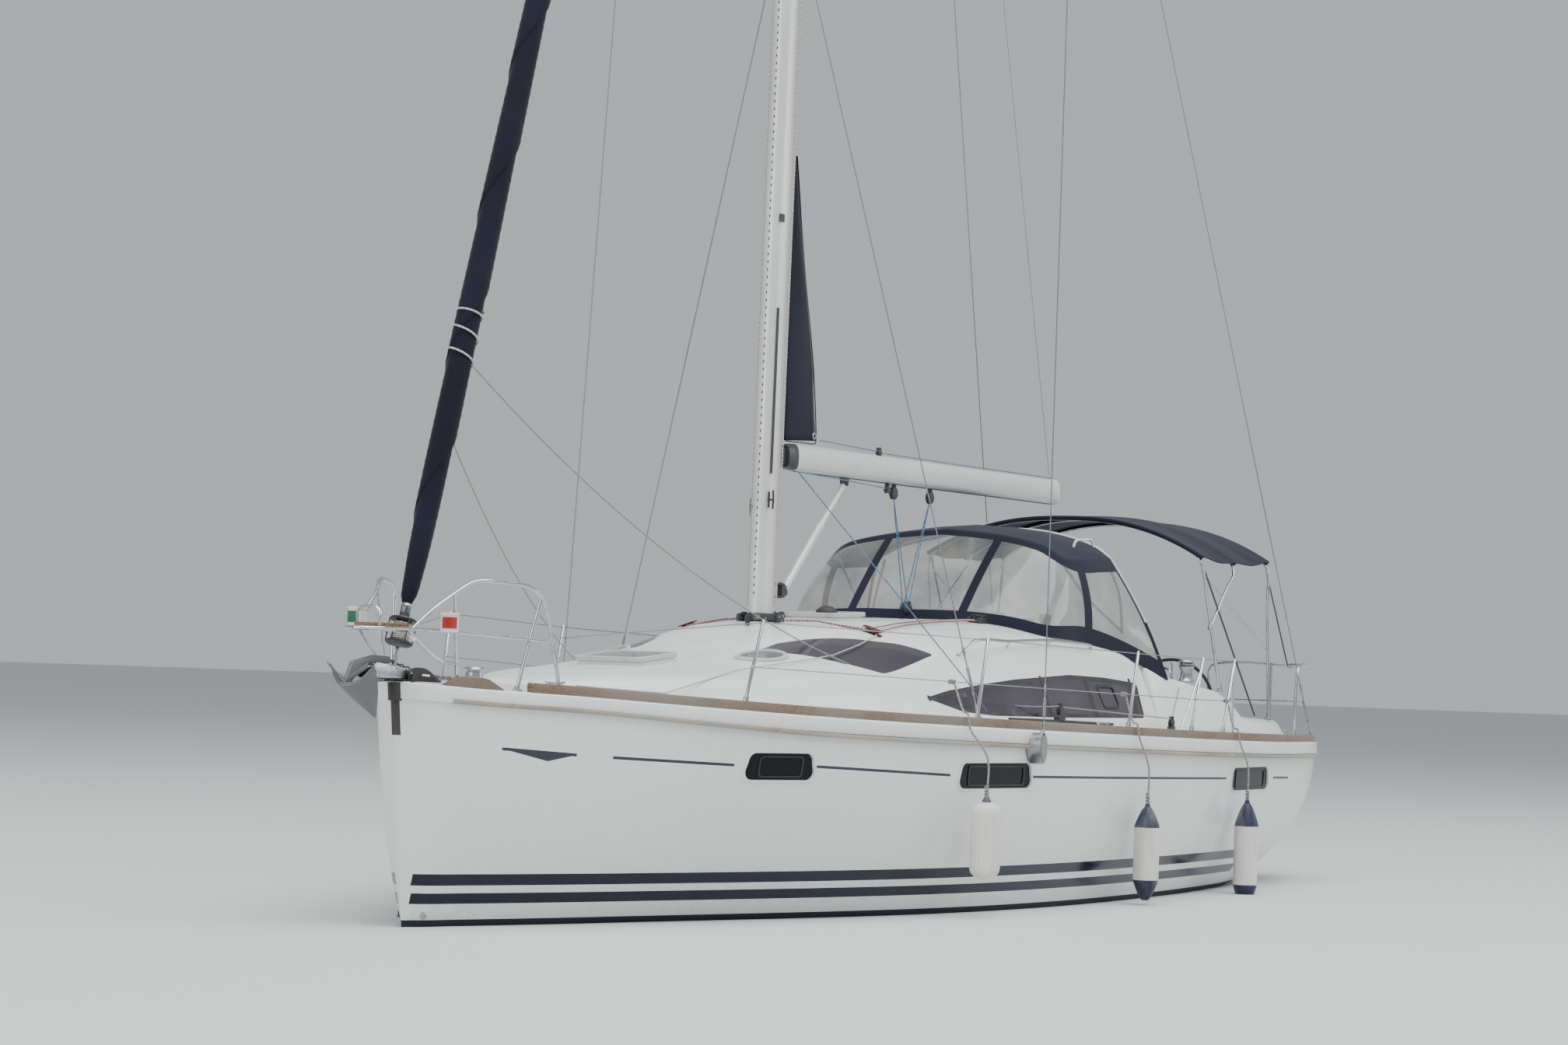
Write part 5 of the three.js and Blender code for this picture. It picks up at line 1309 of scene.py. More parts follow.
def make_grip():
    foot = lambda x: float(np.interp(x, ROOF_FOOT_X, ROOF_FOOT_Y)) + 0.07 if x > -2.7 else 1.62
    edge = lambda x: section_over(x).half - 0.11
    for name, side in SIDES.items():
        parts = [deck_patch(x0, x1, foot, edge) for x0, x1 in SIDE_PANELS]
        parts += [deck_patch(x0, x1, lambda x: 0.055 if x > 4.65 else foot(x), edge) for x0, x1 in FORE_PANELS]
        points, faces = joined(*parts)
        obj = new_object("deck_grip_" + name, sided(points, side), faces)
        face_up(obj)
        dress(obj, NONSKID)


make_grip()
print("grip panels:", 2 * len(SIDE_PANELS + FORE_PANELS))

# %% [markdown]
# ### Rails, cleats and stem
# A teak toe rail stands on the deck's edge, and a rubbing strake runs under the white band. Both are bent
# along the sheer, with a rounded section. Near the bow the rail stops for the cleat, and starts again as a
# raised chock that keeps a mooring line off the deck.

# %% Toe rails and strakes
TOE_RAIL = {"from": -6.08, "to": 5.33, "section": [(-0.032, 0.016), (0.01, 0.016), (0.009, 0.07), (0.002, 0.084)]}
TOE_RAIL["section"] += [(-0.014, 0.088), (-0.024, 0.084), (-0.03, 0.07)]
STRAKE = {"from": -6.15, "to": 5.8, "lift": 0.03}
STRAKE["section"] = [(0.003, -0.118), (0.028, -0.117), (0.037, -0.11), (0.04, -0.1), (0.038, -0.09), (0.003, -0.0865)]
CHOCK = [(5.49, 0.004), (5.53, 0.045), (5.6, 0.078), (5.68, 0.082), (5.74, 0.064), (5.79, 0.03), (5.825, 0.006)]


def edge_strip(x0, x1, side, section, rise=None, lift=0.0):
    """A strip that follows the sheer. Its section is given as out and up from the hull's edge."""
    rings = []
    for x in np.arange(x0, x1 + 1e-6, (x1 - x0) / max(2, round((x1 - x0) / 0.09))):
        s = Section(min(x, STEM_X))
        t = min(max((x - 3.0) / 2.2, 0.0), 1.0)
        raised = lift * t * t * (3 - 2 * t)
        up = [z if rise is None else min(z, DECK_EDGE + rise(x)) for _, z in section]
        rings.append(
            [(s.lean(s.sheer + z), side * (s.half + out), s.sheer + z + raised) for (out, _), z in zip(section, up)]
        )
    return loft(rings)


def make_wooden_edges():
    chock_rise = lambda x: float(np.interp(x, [c[0] for c in CHOCK], [c[1] for c in CHOCK]))
    for name, side in SIDES.items():
        main = edge_strip(TOE_RAIL["from"], TOE_RAIL["to"], side, TOE_RAIL["section"])
        piece("toe_rail_bent_" + name, main, TEAK, stands_for=["toe_rail_" + name], crease=30)
        tall = [(out, z * 1.28) for out, z in TOE_RAIL["section"]]
        chock = edge_strip(CHOCK[0][0], CHOCK[-1][0], side, tall, chock_rise)
        piece("bow_chock_" + name, chock, TEAK, crease=30)
        strake = edge_strip(STRAKE["from"], STRAKE["to"], side, STRAKE["section"], lift=STRAKE["lift"])
        piece("strake_bent_" + name, strake, PALE_TEAK, stands_for=["rubbing_strake_" + name], crease=30)


make_wooden_edges()
print("toe rail from", TOE_RAIL["from"], "to", TOE_RAIL["to"])

# %% Cleats, stem band and side fittings
# x, y and length of each mooring cleat
CLEATS = [(5.15, 0.56, 0.26), (-5.95, 1.33, 0.26), (-0.7, 1.9, 0.24)]
# drop-shaped cover over each chainplate, as x and z
COVER_DROP = [
    (0.82, 1.33), (0.868, 1.3), (0.885, 1.22), (0.86, 1.135),
    (0.82, 1.1), (0.78, 1.135), (0.76, 1.22), (0.775, 1.3),
]  # fmt: skip


def cleat(x, y, length):
    """A horn cleat: one long bent bar on two legs, on an oval foot."""
    z = deck_height(x, abs(y))
    reach = length / 2
    shares = np.linspace(-1, 1, 13)
    horn = [(x + t * reach, y, z + 0.046 + 0.014 * abs(t) ** 3) for t in shares]
    radii = [0.011 * sqrt(max(0.05, 1 - t**6)) for t in shares]
    legs = [turned([(0.018, 0), (0.012, 0.012), (0.011, 0.045)], (x + dx, y, z), sides=12) for dx in (-0.035, 0.035)]
    foot = [(x + 0.062 * cos(a), y + 0.021 * sin(a)) for a in full_turn(24)]
    return joined(along(horn, radii, 10), *legs, plate(foot, "z", z - 0.012, z + 0.008))


def stem_band(z0, z1, wide, out):
    """A strip bent round the stem between two heights."""
    rings = []
    for z in np.linspace(z0, z1, 8):
        ring = []
        for a in np.linspace(-pi / 2, pi / 2, 9):
            tip = Section(STEM_X).lean(z)
            ring.append((tip - STEM_ROUND + (STEM_ROUND + out) * cos(a), (wide + out) * sin(a), z))
        inner = [(tip - 0.04, wide * 0.8, z), (tip - 0.04, -wide * 0.8, z)]
        rings.append([*ring, *inner])
    return loft(rings)


def make_edge_fittings():
    cleats = [cleat(x, side * y, length) for side in SIDES.values() for x, y, length in CLEATS]
    piece("mooring_cleats", cleats, STEEL)
    dark = [stem_band(1.235, 1.46, 0.034, 0.005), stem_band(1.455, 1.572, 0.016, 0.01 + FLANGE_OUT)]
    piece("stem_band", dark, BAND_GREY)
    piece("stem_cap", stem_band(1.205, 1.234, 0.036, 0.008), WHITE_PLASTIC)
    covers, fittings = [], []
    outline = [(p.x, p.z) for p in curve_through([(x, 0, z) for x, z in COVER_DROP], 4, closed=True)]
    for side in SIDES.values():
        fittings.append(plate(outline, "y", *sorted((side * 2.0, side * 2.104))))
        covers.append(plate(grown(outline, -0.012), "y", *sorted((side * 2.1, side * 2.108))))
        drain = hull_side(5.895, 0.075, side, 0.0)
        fittings.append(
            turned([(0.026, 0), (0.026, 0.006), (0.012, 0.008), (0.012, 0.0)], drain, (0.1, side, 0.0), 16)
        )
    piece("chainplate_covers", covers, GREY)
    piece("side_fittings", fittings, CHROME_DULL)


make_edge_fittings()
print("cleats:", 2 * len(CLEATS))
# %% [markdown]
# ## The coachroof
# The raised roof over the saloon is what gives this kind of yacht its look: a low wedge that rises from the
# foredeck, with windows along its sides and two slanting skylights in front. It is one more loft. Each section
# is a smooth curve from the deck up the side, over the shoulder and across the crown.

# %% The roof's lines
# x, then y and z of the foot, of the window's head, of the shoulder and of the crown, and z of the middle
ROOF = np.array(
    [
        (-2.74, 1.53, 1.35, 1.34, 1.76, 1.25, 1.965, 0.82, 2.1, 2.13),
        (-1.0, 1.55, 1.37, 1.355, 1.8, 1.265, 1.995, 0.85, 2.135, 2.17),
        (0.15, 1.53, 1.38, 1.355, 1.76, 1.235, 1.955, 0.8, 2.105, 2.134),
        (0.8, 1.49, 1.39, 1.34, 1.69, 1.19, 1.905, 0.73, 2.075, 2.104),
        (1.5, 1.43, 1.4, 1.3, 1.64, 1.13, 1.775, 0.64, 2.02, 2.062),
        (2.6, 1.225, 1.42, 1.13, 1.63, 1.02, 1.7, 0.6, 1.8, 1.832),
        (3.3, 1.03, 1.44, 0.955, 1.61, 0.86, 1.672, 0.5, 1.728, 1.748),
        (4.25, 0.7, 1.48, 0.64, 1.59, 0.56, 1.64, 0.32, 1.672, 1.682),
        (4.9, 0.24, 1.5, 0.215, 1.585, 0.18, 1.6, 0.1, 1.61, 1.612),
    ]
)
ROOF_AFT, ROOF_FORE = ROOF[0, 0], ROOF[-1, 0]
ROOF_WALL = 0.045
SINK = 0.03


def roof_curve(x, inset=0.0):
    """The port half of the roof's section at x, from its foot to the middle, as y and z."""
    c = [
        float(np.interp(x, ROOF[:, 0], ROOF[:, k])) * 0.35 + 0.65 * float(fair(ROOF[:, 0], ROOF[:, k], x))
        for k in range(1, 10)
    ]
    corners = [(c[0], c[1]), (c[2], c[3]), (c[4], c[5]), (c[6], c[7])]
    mirrored = [(-y, z) for y, z in corners[::-1]]
    line = curve_through([(0, y, z) for y, z in [*corners, (0.0, c[8]), *mirrored]], 6)
    half = [(p.y, p.z) for p in line[: 4 * 6 + 1]]
    if inset:
        half = grown([*half, (0, 0), (c[0], 0)], -inset)[: len(half)]
        half[-1] = (0.0, half[-1][1])
    return half


def roof_ring(x, inset=0.0):
    half = roof_curve(x, inset)
    foot = half[0][0], min(deck_height(min(x, 5.2), half[0][0]), half[0][1]) - SINK - (0.3 if inset else 0)
    side = [(x, y, z) for y, z in [foot, *half]]
    return [*side, *sided(side[:-1], -1)[::-1]]


def roof_height(x, y):
    """Height of the roof at x and y."""
    half = roof_curve(x)[::-1]
    return float(np.interp(abs(y), [p[0] for p in half], [p[1] for p in half]))


def roof_side(x, z):
    """How far out the roof's side stands at x and z."""
    half = roof_curve(x)[:14]
    return float(np.interp(z, [p[1] for p in half], [p[0] for p in half]))


def roof_loft(inset=0.0, aft=ROOF_AFT, fore=ROOF_FORE):
    xs = np.linspace(aft, fore, 64)
    rings = [roof_ring(x, inset) for x in xs]
    if not inset:
        tip = [(ROOF_FORE + 0.09, 0.55 * y, z - 0.09) for _, y, z in rings[-1]]
        rings.append(tip)
    return loft(rings)


print("roof from", ROOF_AFT, "to", ROOF_FORE, "m")

# %% [markdown]
# The window openings are cut with upright and level prisms, and each pane is the same prism's share of a thin
# shell of the roof. So a pane follows the roof's curve exactly and leaves a hairline joint all round.

# %% Roof shell and its openings
SIDE_WINDOW = [
    (-2.45, 1.43), (-1.0, 1.428), (0.4, 1.436), (0.85, 1.462), (1.33, 1.56), (0.95, 1.618),
    (0.4, 1.672), (-0.15, 1.715), (-1.2, 1.765), (-1.9, 1.752), (-2.56, 1.715),
]  # fmt: skip
SKYLIGHT = [
    (2.077, 0.52), (2.36, 0.5), (2.38, 0.56), (2.012, 0.93), (1.638, 1.173), (0.879, 1.199), (1.084, 0.985),
    (1.393, 0.8), (1.658, 0.69),
]
# x and length of the square roof hatches
FORE_HATCH = (3.33, 0.56)
ROOF_HATCH = (0.35, 0.48)
# aft end, fore end, half breadth, foot and head
SLIDING_HATCH = (-2.7, -1.98, 0.37, 2.185, 2.225)
PANE_GAP = 0.004
window_outline = eased_outline(SIDE_WINDOW, 0.05)
skylight_outline = eased_outline(SKYLIGHT, 0.035)


def hatch_frame(hatch):
    """Where a roof hatch lies: its middle on the roof and its slope there."""
    x, size = hatch
    half = size / 2
    z0, z1 = [float(np.interp(x + d, ROOF[:, 0], ROOF[:, 9])) for d in (-half, half)]
    middle = float(np.interp(x, ROOF[:, 0], ROOF[:, 9])) + 0.024
    return Matrix.Translation((x, 0, middle)) @ Matrix.Rotation(-atan2(z1 - z0, size), 4, "Y")


def carried(shape, matrix):
    points, faces = shape
    return [tuple(matrix @ Vector(p)) for p in points], faces


def prism(outline, side, axis):
    """A cutter through the roof's side or top on one side of the boat."""
    if axis == "y":
        return plate(outline, "y", min(side * 1.05, side * 1.85), max(side * 1.05, side * 1.85))
    return plate([(x, side * y) for x, y in outline], "z", 1.45, 2.4)


def pad(size, low, high, corner):
    half = size / 2
    return rounded_box(-half, half, -half, half, low, high, corner)


def make_roof():
    obj = new_object("roof_moulding", *roof_loft())
    outwards(obj)
    hollow = roof_loft(ROOF_WALL, ROOF_AFT + ROOF_WALL, 3.95)
    cuts = [hollow, block(-5.78, -2.65, -0.33, 0.33, 1.0, OVER_ALL), block(-2.8, -2.1, -0.33, 0.33, 1.8, OVER_ALL)]
    for side in SIDES.values():
        cuts += [prism(window_outline, side, "y"), prism(skylight_outline, side, "z")]
    for hatch in (FORE_HATCH, ROOF_HATCH):
        cuts.append(carried(pad(hatch[1] - 0.11, -0.4, 0.05, 0.05), hatch_frame(hatch)))
    cut(obj, cuts)
    return dress(obj, DECK_WHITE, stands_for=["coachroof"], crease=32)


roof = make_roof()
print("roof:", len(roof.data.polygons), "faces")

# %% Panes in the roof


def make_panes():
    shell = new_object("pane_shell", *roof_loft())
    outwards(shell)
    cut(shell, [roof_loft(0.014, ROOF_AFT - 0.05, 4.2)])
    for name, side in SIDES.items():
        for kind, outline, axis in (("side_window", window_outline, "y"), ("skylight", skylight_outline, "z")):
            pane = bpy.data.objects.new(kind + "_pane_" + name, shell.data.copy())
            bpy.context.scene.collection.objects.link(pane)
            cut(pane, [prism(grown(outline, -PANE_GAP), side, axis)], "INTERSECT")
            dress(pane, SMOKED, stands_for=[kind + "_" + name], crease=30)
    bpy.data.objects.remove(shell)


make_panes()
print("panes: a side window and a skylight each side")

# %% [markdown]
# Behind the smoked side windows hang pale curtains, drawn together. They show through as soft folds, so they
# are real pleated sheets: a sine wave whose depth and pitch vary a little, from rail to hem.

# %% Curtains
CURTAIN_X, CURTAIN_FOOT, CURTAIN_ROWS = (-2.35, 0.55), 1.425, 7
PLEAT = 0.075
rng = np.random.default_rng(12)


def curtain(side):
    xs = np.linspace(*CURTAIN_X, 340)
    drift = np.interp(xs, np.linspace(*CURTAIN_X, 24), rng.uniform(-0.9, 0.9, 24))
    head_x, head_z = zip(*SIDE_WINDOW[:3:-1])
    points = []
    for row in range(CURTAIN_ROWS):
        for x, d in zip(xs, drift):
            top = float(np.interp(x, head_x, head_z))
            height = CURTAIN_FOOT + (top + 0.01 - CURTAIN_FOOT) * row / (CURTAIN_ROWS - 1)
            fold = 0.014 * sin(tau * x / PLEAT + 2.2 * d + 0.25 * row * d)
            points.append((x, side * (roof_side(x, min(height, 1.73)) - 0.075 + fold), height))
    return points, grid(CURTAIN_ROWS, len(xs))


def make_curtains():
    for name, side in SIDES.items():
        cloth = piece("saloon_curtain_" + name, curtain(side), CURTAIN, crease=80)


make_curtains()
print("pleats:", round((CURTAIN_X[1] - CURTAIN_X[0]) / PLEAT), "a side")

# %% Bars and rims on the side windows


def band_on_window(x_low, x_high, width, side, out=0.002):
    """A dark upright bar painted on the side window from its foot to its head."""
    rows = []
    for t in np.linspace(0, 1, 8):
        z = 1.44 + t * 0.31
        x = x_low + (x_high - x_low) * t
        section = oblong(-width / 2, width / 2, -0.004, out)
        rows.append([(x + d, side * (roof_side(x + d, z) + o), z) for d, o in section])
    return loft(rows)


OPENING_LIGHT = (-1.98, -1.69, 1.525, 1.672)


def ring_on_window(x0, x1, z0, z1, side, wide=0.022, out=0.009):
    rings = []
    for grow, o in ((0.0, -0.003), (wide, -0.003), (wide, out * 0.5), (wide * 0.6, out), (0.0, out), (0.0, -0.003)):
        a, b, c, d = x0 - grow, x1 + grow, z0 - grow, z1 + grow
        outline = eased_outline(oblong(a, b, c, d), 0.028 + grow)
        rings.append([(x, side * (roof_side(x, z) + o), z) for x, z in outline])
    return merged(*loft(rings, caps=False))


def rim_on_window(side, wide=0.03, out=0.0012):
    """The dark band printed round the inside of the glass's edge."""
    rings = []
    for by, o in ((-PANE_GAP, -0.002), (-PANE_GAP, out), (-wide, out), (-wide, -0.002), (-PANE_GAP, -0.002)):
        rings.append([(x, side * (roof_side(x, z) + o), z) for x, z in grown(window_outline, by)])
    return merged(*loft(rings, caps=False))


def make_window_trim():
    for name, side in SIDES.items():
        rims = [ring_on_window(*OPENING_LIGHT, side), rim_on_window(side)]
        for low, high, wide in ((-1.46, -1.5, 0.07), (-2.34, -2.42, 0.05), (-0.6, -0.63, 0.04)):
            rims.append(band_on_window(low, high, wide, side, 0.0012))
        piece("window_bars_" + name, rims, BLACK)


make_window_trim()
print("opening light:", OPENING_LIGHT)

# %% [markdown]
# ### Hatches
# A deck hatch is a thick acrylic pane glued into a rounded alloy frame, over a low moulded coaming. It hinges at
# one edge and has two handles inside. The lids are separate bodies, so frame and pane ride on them.

# %% Fore hatch and roof hatch


def tube_frame(size, low, high, wide, corner):
    """A square frame with rounded corners and a rounded top edge."""
    rings = []
    half = size / 2
    section = [(-wide, low), (0, low), (0, high - 0.008), (-0.006, high), (-wide + 0.004, high), (-wide, high - 0.004)]
    for grow, z in [*section, section[0]]:
        h = half + grow
        foot_points = rounded_box(-h, h, -h, h, 0, 0, corner + min(grow, 0) * 0.6, 6)[0][: 4 * 7]
        rings.append([(x, y, z) for x, y, _ in foot_points])
    return merged(*loft(rings, caps=False))


def make_hatch(name, hatch):
    _, size = hatch
    place = hatch_frame(hatch)
    coaming = carried(tube_frame(size - 0.03, -0.07, 0.0045, 0.045, 0.06), place)
    piece(name + "_coaming", coaming, DECK_WHITE)
    frame_shape = carried(tube_frame(size, 0.006, 0.04, 0.032, 0.065), place)
    piece(name + "_frame", frame_shape, HATCH_ALLOY, name, [name])
    pane = carried(pad(size - 0.05, 0.022, 0.034, 0.05), place)
    piece(name + "_pane", pane, SMOKED_LID, name)
    parts = []
    for y in (-0.14, 0.14):
        parts.append(carried(block(size / 2 - 0.03, size / 2 + 0.003, y - 0.02, y + 0.02, 0.012, 0.0403), place))
        parts.append(
            carried(
                turned([(0.016, 0.034), (0.016, 0.04), (0.01, 0.0405)], (-size / 2 + 0.075, y, 0), sides=16), place
            )
        )
    piece(name + "_hinges", parts, HATCH_ALLOY, name)


HATCH_ALLOY = make_paint("hatch_alloy", (0.5, 0.51, 0.5), 0.35, 0.2)
SMOKED_LID = make_smoked("hatch_acrylic", (0.1, 0.105, 0.115), 0.93)
make_hatch("fore_hatch", FORE_HATCH)
make_hatch("roof_hatch", ROOF_HATCH)
DOME = [(0.072, -0.012), (0.072, 0.004), (0.066, 0.012), (0.04, 0.026), (0.0, 0.032)]
on_lid = carried(turned([(r * 1.2, h * 1.8 + 0.034) for r, h in DOME], sides=28), hatch_frame(ROOF_HATCH))
piece("roof_hatch_vent", on_lid, BAND_GREY, "roof_hatch")
print("hatches:", FORE_HATCH, ROOF_HATCH)

# %% Sliding hatch


def make_sliding_hatch():
    x0, x1, half, z0, z1 = SLIDING_HATCH
    pane = plate(eased_outline(oblong(x0, x1, -half, half), 0.05), "z", z0 + 0.002, z1 - 0.008)
    piece("sliding_hatch_pane", pane, SMOKED_LID, "sliding_hatch", ["sliding_hatch"], edge=(0.006, 3))
    bars = [block(x, x + 0.035, -half + 0.01, half - 0.01, z1 - 0.01, z1 - 0.001) for x in (x0 + 0.01, x1 - 0.05)]
    grip = [(x0 + 0.02, y, z1 + 0.02 * (1 - (y / 0.11) ** 2) - 0.005) for y in np.linspace(-0.11, 0.11, 7)]
    piece("sliding_hatch_trim", [*bars, along(curve_through(grip, 3), 0.006, 8)], STEEL, "sliding_hatch")


make_sliding_hatch()
print("sliding hatch from", SLIDING_HATCH[0], "to", SLIDING_HATCH[1])

# %% Garage, runners and dome vents
GARAGE = (-1.96, -1.37, 0.43, 2.08, 2.26)


def make_garage():
    x0, x1, half, z0, z1 = GARAGE
    sections = []
    for x, drop in ((x0, 0.0), (x1 - 0.12, 0.0), (x1 - 0.03, 0.018), (x1, 0.075), (x1 + 0.02, 0.16)):
        top = z1 - drop
        shoulder = [(half, top - 0.035), (half - 0.01, top - 0.01), (half - 0.035, top)]
        ring = [(x, y, z) for y, z in [(half, z0), *shoulder, (half * 0.5, top + 0.006), (0, top + 0.008)]]
        sections.append([*ring, *sided(ring[:-1], -1)[::-1]])
    obj = new_object("hatch_garage", *loft(sections))
    outwards(obj)
    cut(obj, [block(-2.0, -1.4, -0.395, 0.395, 2.177, 2.24)])
    dress(obj, DECK_WHITE)
    rails = [
        rounded_box(-2.73, -1.95, side * 0.385 - 0.022, side * 0.385 + 0.022, 2.06, 2.184, 0.01)
        for side in SIDES.values()
    ]
    piece("hatch_runners", rails, DECK_WHITE)
    vents = [turned(DOME, (-1.15, y, roof_height(-1.15, y)), sides=28) for y in (0.55, -0.55)]
    piece("dome_vents", vents, GREY)


def on_roof(outline, side, lift):
    return [(x, side * y, roof_height(x, y) + lift) for x, y in outline]


def oval(long, wide, slant):
    """An oval on the roof ahead of the skylight, as x and y. Slant turns its fore end inwards."""
    return [(2.49 + long * cos(a), 0.625 + wide * sin(a) - slant * cos(a)) for a in full_turn(32)]


def make_oval_hatches():
    """A small oval opening light each side, ahead of the skylights."""
    rims, panes = [], []
    for side in SIDES.values():
        rings = []
        for g, lift in ((1.0, -0.01), (1.0, 0.016), (0.93, 0.024), (0.8, 0.022), (0.78, -0.01)):
            rings.append(on_roof(oval(0.215 * g, 0.135 * g, 0.06 * g), side, lift))
        rims.append(merged(*loft([*rings, rings[0]], caps=False)))
        panes.append(loft([on_roof(oval(0.172, 0.108, 0.048), side, lift) for lift in (0.002, 0.012)]))
    piece("oval_hatch_rims", rims, HATCH_ALLOY)
    piece("oval_hatch_panes", panes, SMOKED_LID)


make_oval_hatches()
make_garage()
print("panes, curtains and hatches are on")
# %% [markdown]
# ## The cockpit
# The cockpit is one moulding: a footwell between two long seats, coamings behind them, and a helm seat each side
# of a walkway to the stern. Its big shapes are right in the plain solid, so it is copied, welded and its
# edges rounded. Slats of teak are laid on the seats and soles, each one with dark caulking beside it.

# %% Cockpit moulding
eased("cockpit", 0.018, DECK_WHITE, segments=3)

# aft end, fore end, inner and outer edge and height of each slatted surface: port seats, then soles
SEAT_SLATS = [(-4.29, -2.96, 0.52, 1.15, 1.15), (-5.33, -4.72, 0.48, 1.18, 1.2)]
SOLE_SLATS = [
    (-5.3, -2.98, -0.485, 0.485, 0.72), (-5.93, -5.36, -0.425, 0.425, 0.72), (-6.185, -5.965, -0.6, 0.6, 0.36)
]
SLAT_WIDE, SLAT_THICK, SLAT_GAP = 0.044, 0.007, 0.005


def slat_bed(x0, x1, y0, y1, z):
    """Slats fore and aft over a rectangle, with the black bed that shows between them."""
    slats = []
    ends = (x0 + 0.004, x1 - 0.004)
    count = max(1, round((y1 - y0) / (SLAT_WIDE + SLAT_GAP)))
    pitch = (y1 - y0) / count
    for k in range(count):
        low = y0 + k * pitch
        high, top = low + pitch - SLAT_GAP, z + SLAT_THICK
        section = [
            (low, z), (high, z), (high, top - 0.001), (high - 0.0015, top), (low + 0.0015, top), (low, top - 0.001)
        ]
        slats.append(loft([[(x, y, h) for y, h in section] for x in ends]))
    bed = block(x0, x1, y0 - 0.004, y1 + 0.001, z - 0.004, z + SLAT_THICK - 0.0035)
    return slats, bed


def make_slats():
    slats, beds = [], []
    areas = [
        (x0, x1, *sorted((side * y0, side * y1)), z) for x0, x1, y0, y1, z in SEAT_SLATS for side in SIDES.values()
    ]
    for area in areas + SOLE_SLATS:
        more, bed = slat_bed(*area)
        slats += more
        beds.append(bed)
    piece("cockpit_slats", slats, SEAT_TEAK)
    piece("slat_caulking", beds, RUBBER)
    return len(slats)


print("slats:", make_slats())

# %% Lockers and the companionway's boards


def make_cockpit_fittings():
    rims, latches = [], []
    for side in SIDES.values():
        outline = grown(eased_outline(oblong(-4.1, -3.2, 0.76, 1.06), 0.05), 0.006)
        rims.append(plate(outline, "y", *sorted((side * 0.4985, side * 0.503))))
        button = [(0.02, -0.004), (0.02, 0.0), (0.014, 0.003), (0.0, 0.004)]
        latches.append(turned(button, (-3.65, side * 0.497, 1.02), (0, -side, 0), 16))
    piece("locker_fronts", rims, DECK_WHITE)
    piece("locker_latches", latches, CHROME_DULL)


def companionway_frame():
    """Two boards close the lower part of the companionway, in a steel track each side."""
    boards = []
    for k in range(2):
        low = 1.175 + 0.19 * k
        boards.append(plate(eased_outline(oblong(-0.3, 0.3, low, low + 0.183), 0.01), "x", -2.612, -2.596))
    piece("washboards", boards, VARNISH, edge=(0.003, 2))
    tracks = [block(-2.625, -2.585, side * 0.305 - 0.012, side * 0.305 + 0.012, 1.16, 1.8) for side in SIDES.values()]
    piece("washboard_tracks", tracks, STEEL)


make_cockpit_fittings()
companionway_frame()
print("lockers: 2, boards: 2")

# %% [markdown]
# ### Helms
# Each wheel has its own pedestal with a compass under a dome, a throttle on the starboard one, and an instrument
# face that is left dark. The wheel is a thin steel rim with five spokes, stitched over in leather. The steering turns
# both wheels and the rudder together, so each wheel rides on its own body.

# %% Pedestals
WHEEL_X, WHEEL_Y, WHEEL_Z, WHEEL_RADIUS = -4.64, 0.8, 1.53, 0.4
LEATHER = make_canvas("wheel_leather", (0.035, 0.033, 0.032), (0.07, 0.066, 0.062), 500.0)


# x and z of the instrument pod's side
POD = [(-4.566, 1.585), (-4.374, 1.585), (-4.374, 1.696), (-4.498, 1.724)]
COMPASS = [(0.06, 0.0), (0.058, 0.02), (0.045, 0.04), (0.024, 0.052), (0.0, 0.056)]
PEDESTAL_RAIL = [
    (-4.4, -0.1, 1.62), (-4.385, -0.1, 1.8), (-4.385, -0.06, 1.845),
    (-4.385, 0.06, 1.845), (-4.385, 0.1, 1.8), (-4.4, 0.1, 1.62),
]  # fmt: skip


def pedestal_ring(y, x0, x1, wide, z):
    return [(px, py, z) for px, py in eased_outline(oblong(x0, x1, y - wide, y + wide), 0.035)]


def make_pedestal(name, side):
    y = side * WHEEL_Y
    rings = []
    for t in np.linspace(0, 1, 7):
        z = 0.722 + 0.91 * t
        long, wide = 0.08 - 0.012 * t, 0.088 - 0.01 * t
        rings.append(pedestal_ring(y, -4.48 - long, -4.48 + long, wide, z))
    foot = [
        pedestal_ring(y, -4.575 + g, -4.395 - g, 0.095 - g, z) for z, g in ((0.72, 0.0), (0.735, 0.0), (0.742, 0.008))
    ]
    pod = plate(POD, "y", y - 0.124, y + 0.124)
    pedestal = [loft(rings), loft(foot), pod]
    piece("pedestal_column_" + name, pedestal, DECK_WHITE, stands_for=["pedestal_" + name], edge=(0.01, 3))
    slope = ((0.12, -0.105), (0.12, 0.105), (0.88, 0.105), (0.88, -0.105))
    skins = ((0.004, -0.002), (-0.0035, 0.002))
    face = loft([[(-4.56 + 0.062 * t + nx, y + w, 1.6 + 0.118 * t + nz) for t, w in slope] for nx, nz in skins])
    piece("instrument_face_" + name, face, DARK_GLASS)
    piece("compass_dome_" + name, turned(COMPASS, (-4.435, y, 1.7), sides=28), DARK_GLASS)
    ring = turned([(0.068, -0.004), (0.068, 0.008), (0.058, 0.014)], (-4.435, y, 1.698), sides=28)
    piece("compass_ring_" + name, ring, BLACK)
    rail = curve_through([(x, y + dy, z) for x, dy, z in PEDESTAL_RAIL], 6)
    piece("pedestal_rail_" + name, along(rail, 0.011, 10), STEEL)
    if side < 0:
        out = y - 0.162
        arm = [(-4.5, y - 0.158, 1.45), (-4.52, out, 1.56), (-4.53, out, 1.6)]
        hub = bar((-4.5, y - 0.13, 1.45), (-4.5, y - 0.165, 1.45), 0.026, 16)
        lever = [hub, along(arm, [0.009, 0.008, 0.008], 8), ball((-4.53, out, 1.61), 0.019)]
        piece("throttle", lever, STEEL)


